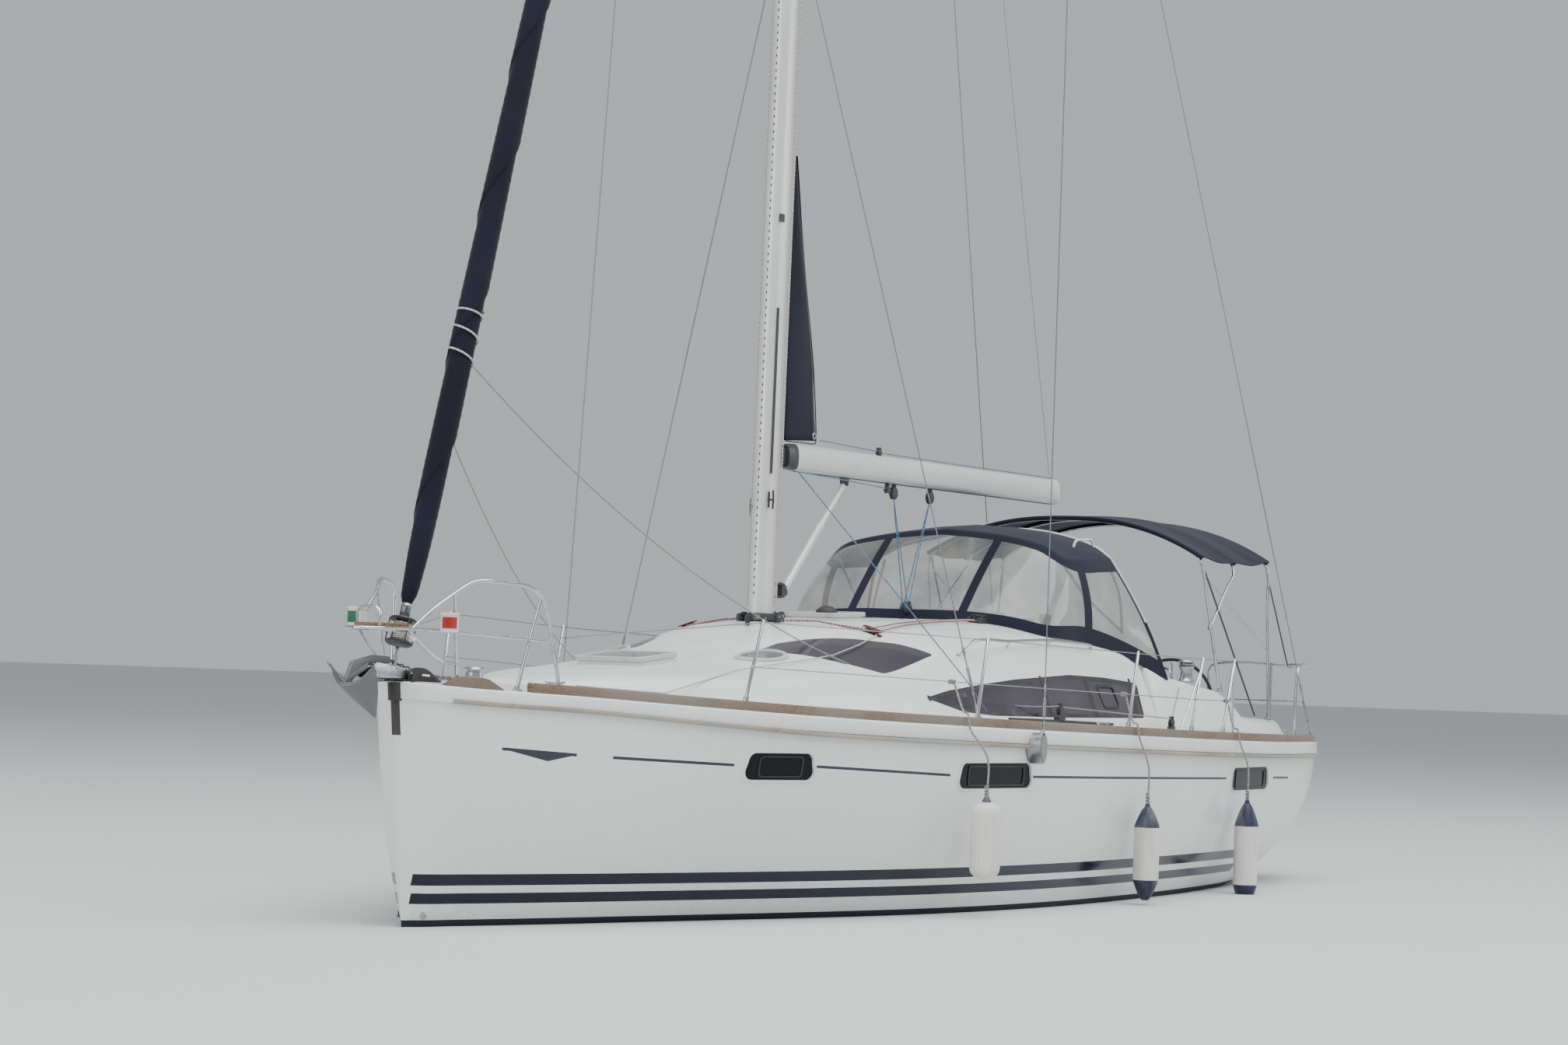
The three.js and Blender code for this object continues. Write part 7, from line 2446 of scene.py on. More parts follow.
make_standing_rigging()
print("forestay:", round((STAY_HEAD - STAY_FOOT).length, 2), "m")

# %% [markdown]
# ### The furled genoa
# The big foresail is rolled round its foil. A furled sail is a spiral, and its free edge winds up the roll as a
# long helix, so a tree grows it: a spiral section with one step in it is swept up the stay, twisted as it
# goes, and swollen in the middle by a curve. Two turns of its sheets hold it shut.

# %% Rolled sail


def rolled_sail():
    t = Tree("rolled_sail", Thick=0.08, Turns=14.0, Lap=0.16, Detail=0.08)
    line = t.add("GeometryNodeMeshToCurve", {0: t.start["Path"]})[0]
    fine = t.add("GeometryNodeResampleCurve", {0: line, "Length": t.start["Detail"]}, mode="LENGTH")[0]
    factor = t.add("GeometryNodeSplineParameter")["Factor"]
    turned_line = t.add(
        "GeometryNodeSetCurveTilt", {"Curve": fine, "Tilt": t.times(factor, t.times(t.start["Turns"], tau))}
    )[0]
    node = t.tree.nodes.new("ShaderNodeFloatCurve")
    t.plug(node.inputs["Value"], factor)
    curve = node.mapping.curves[0]
    for u, v in ((0.009, 0.62), (0.082, 0.93), (0.294, 0.92), (0.625, 0.73), (0.955, 0.46)):
        curve.points.new(u, v)
    curve.points[0].location, curve.points[-1].location = (0.0, 0.3), (1.0, 0.28)
    node.mapping.update()
    section = t.add("GeometryNodeCurvePrimitiveCircle", {"Resolution": 40, "Radius": 1.0})[0]
    around = t.math("FRACT", t.math("DIVIDE", t.add("GeometryNodeInputIndex")[0], 40.0))
    grow_by = t.times(t.math("SUBTRACT", around, 0.5), t.start["Lap"])
    place = t.add("GeometryNodeInputPosition")[0]
    spiral = t.add("GeometryNodeSetPosition", {"Geometry": section, "Offset": t.stretched(place, grow_by)})[0]
    size = t.times(node.outputs[0], t.start["Thick"])
    roll = t.add("GeometryNodeCurveToMesh", {0: turned_line, 1: spiral, "Scale": size, "Fill Caps": True})[0]
    return t.close(roll)


ROLL_SAIL = rolled_sail()
roll_path = [stay_at(z) for z in np.linspace(2.06, 17.15, 60)]
grown_piece(
    ROLL_SAIL, "furled_genoa_cloth", [roll_path], ROLL_CLOTH, "navy_canvas", "genoa_furler", Thick=0.09,
    Turns=15.0, Lap=0.14, Detail=0.07,
)


def around_stay(z0, z1, turns, radius, detail=26):
    """A helix round the forestay."""
    across = (STAY_HEAD - STAY_FOOT).normalized().cross(PORT).normalized()
    points = []
    for k in range(int(turns * detail) + 1):
        a, t = tau * k / detail, k / (turns * detail)
        points.append(stay_at(z0 + (z1 - z0) * t) + across * (radius * cos(a)) + PORT * (radius * sin(a)))
    return points


def make_furler():
    axis = (STAY_HEAD - STAY_FOOT).normalized()
    up = axis.cross(PORT).normalized()
    disc = [(0.055, -0.012), (0.086, -0.008), (0.092, 0.0), (0.086, 0.008), (0.055, 0.012)]
    drum = [turned(disc, stay_at(z), axis, 32) for z in (1.825, 1.97)]
    drum.append(turned([(0.05, 0), (0.034, 0.02), (0.034, 0.09), (0.026, 0.11)], stay_at(1.975), axis, 24))
    for a in full_turn(6):
        across = 0.088 * (cos(a) * up + sin(a) * PORT)
        drum.append(bar(stay_at(1.825) + across, stay_at(1.97) + across, 0.0045, 6))
    piece("furler_drum", drum, ALLOY_BLACK, "genoa_furler", ["furled_genoa"])
    core = along(around_stay(1.842, 1.952, 9, 0.058, 20), 0.0062, 6)
    piece("furling_line_on_drum", core, ROPE_WHITE, "genoa_furler")
    collars = [turned([(0.02, -0.05), (0.034, -0.03), (0.034, 0.03), (0.02, 0.05)], stay_at(2.045), axis, 20)]
    collars.append(turned([(0.02, -0.06), (0.038, -0.04), (0.038, 0.04), (0.016, 0.06)], stay_at(17.2), axis, 20))
    piece("furler_swivels", collars, CHROME_DULL, "genoa_furler")
    foil = bar(stay_at(17.22), Vector((mast_x(HOUNDS) + 0.06, 0, 17.63)), 0.008, 10)
    piece("stay_head", foil, WIRE)


make_furler()
WRAP_RADIUS = 0.0905
wraps = [around_stay(3.985, 4.045, 1.2, WRAP_RADIUS), around_stay(3.66, 3.92, 1.7, WRAP_RADIUS)]
grown_piece(
    ROPE, "sheet_wraps", wraps, ROPE_WHITE, "sailcloth", "genoa_furler", Radius=0.0075, Pitch=0.05, Detail=0.012
)

# %% [markdown]
# ### The boom
# The boom is a deep extrusion with rounded corners, closed by cast ends, and it swings on the gooseneck with the
# vang under it. Its section is drawn once and swept straight.

# %% Boom and gooseneck
GOOSE = Vector((1.18, 0, 3.35))
BOOM_AFT, BOOM_FORE = -3.78, 1.01
BOOM_HIGH, BOOM_WIDE = 0.105, 0.065


def boom_section(x, scale=1.0):
    ring = []
    for a in full_turn(32):
        c, s = cos(a), sin(a)
        y = BOOM_WIDE * (1 - 0.1 * max(0, s)) * copysign(abs(c) ** 0.62, c)
        ring.append((x, scale * y, GOOSE.z + scale * BOOM_HIGH * copysign(abs(s) ** 0.62, s)))
    return ring


def make_boom():
    tube = loft([boom_section(x) for x in np.linspace(BOOM_AFT + 0.06, BOOM_FORE - 0.01, 12)])
    piece("boom_tube", tube, SPAR, "boom", ["boom"])
    cap = loft([boom_section(BOOM_AFT + x, k) for x, k in ((0.065, 1.0), (0.065, 1.035), (0.0195, 1.03), (0, 0.9))])
    piece("boom_ends", cap, WHITE_PLASTIC, "boom")
    casting = loft(
        [boom_section(x, k) for x, k in ((0.985, 0.9), (1.0, 0.96), (1.075, 0.94), (1.125, 0.8), (1.13, 0.6))]
    )
    piece("boom_casting", casting, ALLOY_BLACK, "boom")
    goose = [
        plate(
            eased_outline([(1.06, 3.28), (1.185, 3.3), (1.205, 3.35), (1.185, 3.4), (1.06, 3.42)], 0.02),
            "y",
            -0.024,
            0.024,
        )
    ]
    goose.append(bar((GOOSE.x, 0, 3.275), (GOOSE.x, 0, 3.425), 0.018, 16))
    piece("gooseneck", goose, ALLOY_BLACK, "boom")
    lugs = [block(1.195, mast_x(3.35) - MAST_LONG + 0.01, -0.03, 0.03, z, z + 0.012) for z in (3.262, 3.426)]
    lugs.append(bar((GOOSE.x, 0, 3.26), (GOOSE.x, 0, 3.44), 0.011, 12))
    piece("gooseneck_bracket", lugs, ALLOY_BLACK)
    track = plate([(-3.7, -0.016), (0.95, -0.016), (0.95, 0.016), (-3.7, 0.016)], "z", 3.2405, 3.2475)
    piece("boom_track", track, ALLOY_BLACK, "boom")


make_boom()
print("boom:", round(BOOM_FORE - BOOM_AFT, 2), "m")

# %% Vang
VANG_FOOT, VANG_HEAD = Vector((1.06, 0, 2.33)), Vector((0.13, 0, 3.2))
# how far along, and the radius there: a wide tube, its collar, and the rod that slides in it
VANG_ROWS = [
    (0.0, 0.016), (0.03, 0.024), (0.05, 0.03), (0.57, 0.03), (0.575, 0.033),
    (0.6, 0.033), (0.605, 0.023), (0.95, 0.023), (0.955, 0.028), (1.0, 0.018),
]  # fmt: skip


def make_vang():
    tube = along([VANG_FOOT.lerp(VANG_HEAD, t) for t, _ in VANG_ROWS], [r for _, r in VANG_ROWS], 20)
    piece("vang_strut", tube, SPAR, "boom", ["vang"])
    dark = [
        plate([(0.085, 3.245), (0.175, 3.245), (0.155, 3.18), (0.105, 3.18)], "y", -0.022, 0.022),
        bar((0.13, -0.03, 3.2), (0.13, 0.03, 3.2), 0.01, 12),
    ]
    dark.append(plate([(1.03, 2.3), (1.12, 2.27), (1.12, 2.39), (1.03, 2.36)], "y", -0.02, 0.02))
    piece("vang_fittings", dark, ALLOY_BLACK, "boom")
    aft_face = mast_x(2.3) - MAST_LONG + 0.008
    heel = [block(1.1, aft_face, -0.035, 0.035, z, z + 0.012) for z in (2.275, 2.372)]
    piece("vang_bracket", heel, ALLOY_BLACK)


make_vang()
print("vang:", round((VANG_HEAD - VANG_FOOT).length, 2), "m")

# %% Blocks


def block_shape(x, y, z, size):
    """A sheet block: two cheeks, a sheave and a strap."""
    cheek = [(0.0, -0.004), (size * 0.9, -0.004), (size, 0.0), (size * 0.9, 0.004), (0.0, 0.006)]
    sheave = [(size * 0.86, -0.008), (size * 0.72, 0.0), (size * 0.86, 0.008)]
    head = z + size * 1.6
    parts = [turned(cheek, (x, y + side * 0.014, z), (0, side, 0), 20) for side in (-1, 1)]
    parts.append(turned(sheave, (x, y, z), (0, 1, 0), 20))
    parts.append(
        plate([(x - 0.012, z), (x + 0.012, z), (x + 0.01, head), (x - 0.01, head)], "y", y - 0.018, y + 0.018)
    )
    return joined(*parts)


SHEET_BLOCKS = [(-0.72, 0.0, 3.17), (-1.37, 0.0, 3.17)]
small_blocks = [block_shape(-0.55, 0.03, 3.19, 0.032), block_shape(-0.4, 0.02, 3.475, 0.026)]
boom_blocks = [*[block_shape(*at, 0.05) for at in SHEET_BLOCKS], *small_blocks]
piece("boom_blocks", boom_blocks, ALLOY_BLACK, "boom")
print("blocks under the boom:", len(SHEET_BLOCKS) + len(small_blocks))

# %% [markdown]
# ### The tab of the furled mainsail
# The mainsail rolls away inside the mast, and only its clew corner shows, stretched between the slot and the
# boom by the outhaul. It is heavy cloth, so it is a thin curved sheet with sewn edges and a ring at the clew.

# %% Mainsail tab
TAB_LUFF = [(1.125, 3.47), (1.118, 4.2), (1.11, 5.0), (1.098, 5.648)]
TAB_LEECH = [(0.612, 3.5), (0.69, 4.05), (0.9, 4.87), (1.062, 5.648)]


def ring_bar(x, y, z, radius, thick, steps):
    """A round bar bent to an upright ring that faces abeam."""
    ring = [(x + radius * cos(a), y, z + radius * sin(a)) for a in full_turn(steps)]
    return along(ring, thick, 8, closed=True)


def make_tab():
    us, vs = np.linspace(0, 1, 13), np.linspace(0, 1, 41)
    thirds = np.linspace(0, 1, 4)
    luff, leech = [[np.interp(vs, thirds, column) for column in zip(*edge)] for edge in (TAB_LUFF, TAB_LEECH)]
    points = []
    for i in range(len(vs)):
        for u in us:
            x, z = (luff[k][i] * (1 - u) + leech[k][i] * u for k in (0, 1))
            belly = 0.016 * sin(pi * u) * sin(pi * vs[i])
            ripple = 0.004 * sin(9 * vs[i] + 3 * u) * u
            points.append((x, belly + ripple - 0.006, z))
    tab = new_object("mainsail_tab_cloth", points, grid(len(vs), len(us)))
    dress(tab, TAB_CLOTH, "boom", ["mainsail_tab"], 60)
    thickened(tab, 0.0025)
    edge = [(x, -0.005, z) for x, z in [*TAB_LEECH[::-1], (0.62, 3.482), (0.85, 3.472), (1.095, 3.468)]]
    piece("tab_edges", along(curve_through(edge, 8), 0.0042, 6), TAB_CLOTH, "boom")
    piece("tab_ring", ring_bar(0.64, -0.005, 3.535, 0.022, 0.006, 20), CHROME_DULL, "boom")


TAB_CLOTH = make_canvas("tab_cloth", (0.005, 0.0058, 0.015), (0.012, 0.013, 0.028), 700.0)
make_tab()
print("tab:", round(TAB_LUFF[-1][1] - TAB_LUFF[0][1], 2), "m high")
seam = [
    (float(np.interp(z, [3.5, 4.1, 4.87, 5.645], [0.655, 0.735, 0.925, 1.066])), 0.006, z)
    for z in np.linspace(3.56, 5.55, 30)
]
grown_piece(
    ITEMS,
    "tab_stitches",
    [seam, [(x, y - 0.022, z) for x, y, z in seam]],
    ROPE_WHITE,
    "sailcloth",
    "boom",
    Step=0.016,
    Long=0.008,
    Thick=0.0008,
)

# %% [markdown]
# ### Running rigging
# The control lines are laid rope under load, straight between the blocks that turn them. Halyards run down the
# aft side of the mast and back over the roof to the clutches, and the mainsheet comes down in four parts.

# %% Lines under load


def taut(points):
    """A path with points close enough for the strands to wind round it."""
    path = []
    for a, b in zip(points, points[1:]):
        a, b = Vector(a), Vector(b)
        path += [a.lerp(b, t) for t in np.linspace(0, 1, max(2, int((b - a).length / 0.4)), endpoint=False)]
    return [*path, Vector(points[-1])]


SHEET_FOOT = (-0.98, 0.035)
# x and y of the middle of the clutches, and of the pulleys that lead the lines to them
CLUTCHES = (-0.9, 0.7)
ORGANISER = (1.11, 0.8)
RED_ANODISED = make_paint("red_anodised", (0.075, 0.01, 0.012), 0.35)

# %% Halyards, their guides and clutches


def make_running_rigging():
    back = lambda z, out: mast_x(z) - MAST_LONG - out
    whites, reds = [], []
    for y, z0, z1 in ((0.03, 2.2, 17.9), (-0.034, 2.2, 12.6)):
        whites.append([(back(z0, 0.02), y, z0), (back(z1, 0.02), y, z1)])
    whites.append([(mast_x(2.3) + 0.05, -0.095, 2.2), (mast_x(17.4) + 0.05, -0.095, 17.4)])
    reds.append([(back(2.2, 0.034), 0.004, 2.2), (back(17.9, 0.034), 0.004, 17.9)])
    for ropes, x, y in ((reds, -0.078, 0.084), (whites, -0.052, 0.097)):
        ropes.append([(mast_x(z) + x, y, z) for z in (2.2, 17.2)])
    for side in SIDES.values():
        for k, lines in enumerate((reds, whites, reds)):
            y1 = ORGANISER[1] - 0.035 + 0.035 * k
            spots = [(1.36, 0.1 + 0.02 * k), (1.24, 0.36 + 0.02 * k), (ORGANISER[0] + 0.02, y1)]
            spots += [
                (x, y1 + (CLUTCHES[1] - ORGANISER[1]) * t)
                for x, t in ((0.6, 0.25), (0.1, 0.5), (-0.4, 0.75), (CLUTCHES[0] + 0.08, 1.0))
            ]
            lines.append([(x, side * y, roof_height(x, y) + 0.024) for x, y in spots])
    furling = [
        (3.192, 0.814), (2.724, 0.827), (2.254, 0.885), (1.924, 0.911), (1.5, 0.895), (ORGANISER[0] + 0.05, 0.862)
    ]
    foredeck = [(x, y, deck_height(x, y) + lift) for x, y, lift in ((5.05, 0.66, 0.05), (4.2, 0.84, 0.03))]
    whites.append([*foredeck, *[(x, y, roof_height(x, y) + 0.02) for x, y in furling]])
    grown_piece(
        ROPE, "halyards_white", [taut(p) for p in whites], ROPE_WHITE, "sailcloth", Radius=0.006, Pitch=0.06,
        Detail=0.03,
    )
    grown_piece(
        ROPE, "halyards_red", [taut(p) for p in reds], ROPE_RED, "sailcloth", Radius=0.006, Pitch=0.06, Detail=0.03
    )
    clutches, handles, guides = [], [], []
    x, y = ORGANISER
    cheek = eased_outline(oblong(x - 0.03, x + 0.03, y - 0.075, y + 0.075), 0.02)
    for side in SIDES.values():
        for k in range(3):
            x, y = ORGANISER[0], side * (ORGANISER[1] - 0.035 + 0.035 * k)
            guides.append(
                turned([(0.017, -0.004), (0.017, 0.036), (0.01, 0.04)], (x, y, roof_height(x, abs(y))), sides=14)
            )
        for lifts in ((-0.004, 0.006), (0.034, 0.042)):
            guides.append(loft([on_roof(cheek, side, lift) for lift in lifts]))
        for k in range(3):
            x, y = CLUTCHES[0], side * (CLUTCHES[1] - 0.04 + 0.04 * k)
            z = roof_height(x, abs(y))
            clutches.append(rounded_box(x - 0.075, x + 0.085, y - 0.017, y + 0.017, z - 0.004, z + 0.05, 0.012))
            handles.append(bar((x - 0.06, y, z + 0.06), (x + 0.05, y, z + 0.052), 0.01, 8))
    piece("line_guides", guides, RED_ANODISED)
    piece("clutches", clutches, ALLOY_BLACK)
    piece("clutch_handles", handles, BLACK)


make_running_rigging()
print("clutches: 3 a side")

# %% Mainsheet


def make_mainsheet():
    x, y = SHEET_FOOT
    z = roof_height(x, y) + 0.075
    feet = [(x, y, z), (x - 0.05, -y, z)]
    heads = [(hx, hy, hz - 0.03) for hx, hy, hz in SHEET_BLOCKS]
    parts = [taut([(fx + 0.01, fy, fz + 0.02), head]) for fx, fy, fz in feet for head in heads]
    sheet = grown_piece(ROPE, "mainsheet", parts, ROPE_BLUE, "sailcloth", None, Radius=0.0055, Pitch=0.05, Detail=0.02)
    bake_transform(sheet)
    on_boom = [taut([(1.02, 0.055, 3.24), (0.4, 0.06, 3.225), (-0.55, 0.03, 3.2)])]
    on_boom.append(taut([(-0.4, 0.02, 3.475), (-2.0, 0.02, 3.47), (-3.65, 0.02, 3.47)]))
    on_boom.append(taut([(0.66, 0.062, 3.5), (-0.35, 0.02, 3.485)]))
    grown_piece(ROPE, "boom_lines", on_boom, ROPE_BLUE, "sailcloth", "boom", Radius=0.0055, Pitch=0.05, Detail=0.02)
    piece("mainsheet_blocks", [block_shape(*foot, 0.042) for foot in feet], ALLOY_BLACK)
    eye = [(0.04, -0.004), (0.04, 0.006), (0.018, 0.012), (0.012, 0.035)]
    pads = [turned(eye, (fx, fy, roof_height(fx, abs(fy))), sides=18) for fx, fy, _ in feet]
    piece("mainsheet_pads", pads, CHROME_DULL)


make_mainsheet()
print("mainsheet parts:", 2 * len(SHEET_BLOCKS))

# %% Topping lift


def make_topping_lift():
    path = taut([(BOOM_AFT + 0.1, 0, GOOSE.z + BOOM_HIGH + 0.02), (mast_x(18.1) - 0.28, 0, 18.115)])
    grown_piece(ROPE, "topping_lift", [path], ROPE_GREY, "sailcloth", "boom", Radius=0.0042, Pitch=0.05, Detail=0.03)
    eye = ring_bar(BOOM_AFT + 0.1, 0, GOOSE.z + BOOM_HIGH + 0.012, 0.022, 0.005, 16)
    piece("boom_eye", eye, CHROME_DULL, "boom")


make_topping_lift()
print("topping lift holds the boom at x =", BOOM_AFT + 0.1)

# %% Genoa tracks, cars and sheets


def make_genoa_gear():
    """Tracks, cars and the sheets that lead back from the rolled sail."""
    tracks, cars, sheets = [], [], []
    for side in SIDES.values():
        rail = [(x, side * 1.6, deck_height(x, 1.6) + 0.012) for x in np.linspace(0.35, -1.55, 12)]
        tracks.append(loft([[(x, y + d, z + e) for d, e in oblong(-0.016, 0.016, -0.01, 0.008)] for x, y, z in rail]))
        x, y = -0.55, side * 1.6
        z = deck_height(x, 1.6) + 0.02
        cars.append(rounded_box(x - 0.07, x + 0.07, y - 0.025, y + 0.025, z, z + 0.022, 0.015))
        cars.append(block_shape(x, y, z + 0.07, 0.036))
        lead_x, lead_y, lead_z = -2.72, side * 1.62, deck_height(-2.72, 1.62) + 0.09
        sheets.append(taut([(x - 0.01, y, z + 0.1), (lead_x, lead_y, lead_z)]))
        cars.append(block_shape(lead_x, lead_y, lead_z - 0.035, 0.034))
        foot = (lead_x - 0.05, lead_x + 0.05, lead_y - 0.02, lead_y + 0.02, lead_z - 0.094, lead_z - 0.06)
        cars.append(rounded_box(*foot, 0.015))
        sheets.append(taut([(lead_x, lead_y, lead_z - 0.01), (-3.62, side * 1.33, 1.8)]))
    piece("genoa_tracks", tracks, ALLOY_BLACK)
    piece("genoa_cars", cars, ALLOY_BLACK)
    grown_piece(ROPE, "genoa_sheets", sheets, ROPE_GREY, "sailcloth", Radius=0.0058, Pitch=0.05, Detail=0.02)


make_genoa_gear()
print("genoa tracks: one a side")

# %% Slack sheets and the preventer


def make_slack_sheets():
    """From the rolled sail to its cars the sheets hang slack, so each is a cord with its own length."""
    for name, side, z0, sag in (("port", 1, 3.66, 0.6), ("stbd", -1, 3.4, 0.75)):
        z = deck_height(-0.55, 1.6) + 0.125
        a, b = stay_at(z0) + Vector((0, side * 0.101, 0)), Vector((-0.535, side * 1.6, z))
        path = [a.lerp(b, t) - Vector((0, 0, 4 * sag * t * (1 - t))) for t in np.linspace(0, 1, 40)]
        rope = grow(ROPE, "slack_sheet_" + name, [path], ROPE_GREY, Radius=0.0058, Pitch=0.05, Detail=0.02)
        dress(rope, ROPE_GREY, crease=60)


make_slack_sheets()

blue = taut([(1.02, 0.075, 3.235), (1.335, 1.7, 1.7), (1.3, 1.86, deck_height(1.3, 1.86) + 0.1)])
preventer = grown_piece(
    ROPE, "preventer", [blue], ROPE_BLUE, "sailcloth", None, Radius=0.0058, Pitch=0.05, Detail=0.02
)
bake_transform(preventer)

# %% [markdown]
# ### Winches
# A winch is a turned drum, waisted where the rope bites, with a self-tailing jaw above. The drum's face is knurled,
# so upright ribs stand round it.

# %% Winches
# radius and height of each turning, as shares of the winch's own
WINCH_DRUM = [
    (1.0, -0.01), (1.0, 0.06), (0.9, 0.1), (0.76, 0.16), (0.7, 0.3),
    (0.7, 0.5), (0.8, 0.62), (0.98, 0.68), (0.98, 0.72), (0.8, 0.74),
]  # fmt: skip
WINCH_HEAD = [
    (0.78, 0.74), (0.97, 0.79), (0.97, 0.83), (0.74, 0.86), (0.97, 0.885),
    (0.98, 0.93), (0.9, 0.975), (0.35, 1.0), (0.33, 0.965), (0.0, 0.965),
]  # fmt: skip
WINCH_RIB = ((0.78, 0.155), (0.715, 0.3), (0.715, 0.5), (0.81, 0.615))
# x, y, foot, radius, height and node of each kind
WINCHES = {
    "primary": (-3.7, 1.33, 1.7346, 0.07, 0.19, "winch_primary_"),
    "roof": (-2.3, 0.64, 2.122, 0.055, 0.14, "winch_roof_"),
}


def make_winch(kind, name, side):
    x, y, z, r, h, node = WINCHES[kind]
    y *= side
    shape = [turned([(r * a, h * b) for a, b in rows], (x, y, z), sides=36) for rows in (WINCH_DRUM, WINCH_HEAD)]
    arm = [(x + r * 0.4, y, z + h * 0.86), (x + r, y, z + h * 0.88), (x + r * 1.02, y, z + h * 0.76)]
    shape.append(along(arm, 0.006, 8))
    piece("winch_drum_" + kind + "_" + name, shape, CHROME_DULL, stands_for=[node + name])
    ribs = []
    for a in full_turn(24):
        c, s = r * cos(a), r * sin(a)
        ribs.append([(x + q * c, y + q * s, z + h * t) for q, t in WINCH_RIB])
    grown_piece(
        ITEMS, "winch_ribs_" + kind + "_" + name, ribs, CHROME_DULL, "stainless", Step=0.012, Long=0.012, Thick=0.0022
    )


for kind in WINCHES:
    for name, side in SIDES.items():
        make_winch(kind, name, side)
print("winches:", 2 * len(WINCHES))
# %% [markdown]
# ## The dodger
# The dodger is the tent over the companionway: navy canvas with clear vinyl panes, stretched over two bent
# tubes. Its wall runs from the centre line round the corner to an aft edge that slants down to the coaming, and its
# roof panel is sewn to the wall's top. The wall is drawn as a band between two curves, the base on the cabin
# roof and the top seam. Each row of the band is measured out along its own length, so the canvas strips keep
# their width and the panes fill what lies between them.

# %% The dodger's base and top curves
# port half, from the centre line to the aft edge: x, y of the base, and x, y, z of the top seam
DODGER_BASE = [(-0.93, 0.0), (-0.95, 0.5), (-1.0, 0.9), (-1.15, 1.135), (-1.9, 1.215), (-2.6, 1.3), (-3.1, 1.41)]
DODGER_TOP = [
    (-1.7, 0.0, 2.93), (-1.69, 0.5, 2.885), (-1.65, 0.9, 2.8), (-1.72, 1.06, 2.705),
    (-1.9, 1.1, 2.7), (-2.3, 1.095, 2.728), (-2.6, 1.08, 2.74),
]  # fmt: skip
DODGER_AFT_FOOT = 1.75
AFT_ARCH = [(-2.78, 0.0, 2.985), (-2.76, 0.35, 2.968), (-2.74, 0.6, 2.925), (-2.66, 0.9, 2.84), (-2.6, 1.08, 2.74)]
BASE_STRIP = [0.105, 0.105, 0.105, 0.11, 0.125, 0.15, 0.17]
TOP_STRIP = [0.07, 0.07, 0.07, 0.085, 0.11, 0.125, 0.13]
BULGE = [0.02, 0.02, 0.03, 0.045, 0.05, 0.05, 0.05]
SEPARATORS = {1: 0.038, 4: 0.062}  # knot of each separator, and half its width
FINE = 14


def dodger_base_points():
    points = [(x, y, roof_height(x, y) + 0.006) for x, y in DODGER_BASE[:-1]]
    return [*points, (*DODGER_BASE[-1], DODGER_AFT_FOOT)]


base_line = curve_through(dodger_base_points(), FINE)
top_line = curve_through(DODGER_TOP, FINE)


def by_knot(values):
    return np.interp(np.arange(len(base_line)) / FINE, np.arange(len(values)), values)


def wall_row(share=None, from_base=0.0, from_top=0.0):
    """One level line of the port wall: a share of the height between the two strips, or a strip's edge."""
    row = []
    low, high, swell = by_knot(BASE_STRIP), by_knot(TOP_STRIP), by_knot(BULGE)
    for i, (a, b) in enumerate(zip(base_line, top_line)):
        length = (b - a).length
        lo, hi = low[i] / length, 1 - high[i] / length
        v = from_base * lo + from_top * (1 - hi) if share is None else lo + share * (hi - lo)
        v = 1 - from_top * (1 - hi) if share is None and from_top else v
        out = Vector((0.35, 1.0 if i > 2.5 * FINE else 0.0, 0.3)) if i > FINE else Vector((1, 0, 0.5))
        row.append(a.lerp(b, v) + out.normalized() * swell[i] * sin(pi * v))
    return row


def spread(row, stops):
    """Points along the whole row, port side aft round to starboard, at given stops of each panel."""
    whole = both_sides(row)
    marks = np.concatenate([[0], np.cumsum([(b - a).length for a, b in zip(whole, whole[1:])])])
    n = len(row) - 1
    knots = []
    for knot, half in SEPARATORS.items():
        for side in (-1, 1):
            middle = marks[n + side * knot * FINE]
            knots += [middle - half, middle + half]
    edge = 0.042
    cuts = sorted([marks[0], marks[0] + edge, marks[-1] - edge, marks[-1], *knots])
    at = [cuts[0]]
    for a, b, count in zip(cuts, cuts[1:], stops):
        at += [a + (b - a) * k / count for k in range(1, count + 1)]
    axes = [np.interp(at, marks, [p[k] for p in whole]) for k in range(3)]
    return [Vector(p) for p in zip(*axes)]


# points across each panel: edge, aft pane, separator, corner pane, separator, middle pane, and back again
STOPS = [1, 9, 1, 26, 1, 16, 1, 26, 1, 9, 1]
PANE_PANELS = (1, 3, 5, 7, 9)
ROWS_IN_PANES = 14


def dodger_wall():
    rows = [wall_row(from_base=k / 3) for k in range(3)]
    rows += [wall_row(share=k / ROWS_IN_PANES) for k in range(ROWS_IN_PANES + 1)]
    rows += [wall_row(from_top=1 - k / 3) for k in range(1, 3)] + [list(top_line)]
    return [spread(row, STOPS) for row in rows]


def dodger_faces(rows):
    """Faces of the wall, sorted into canvas and panes."""
    owner = [panel for panel, count in enumerate(STOPS) for _ in range(count)]
    canvas, panes = [], []
    for k, face in enumerate(grid(len(rows), len(rows[0]))):
        row, i = divmod(k, len(owner))
        clear = owner[i] in PANE_PANELS and 3 <= row < 3 + ROWS_IN_PANES
        (panes if clear else canvas).append(face)
    return canvas, panes


def only_used(points, faces):
    """Leaves out the points that no face needs."""
    used = sorted({i for f in faces for i in f})
    new = {old: k for k, old in enumerate(used)}
    return [points[i] for i in used], [tuple(new[i] for i in f) for f in faces]


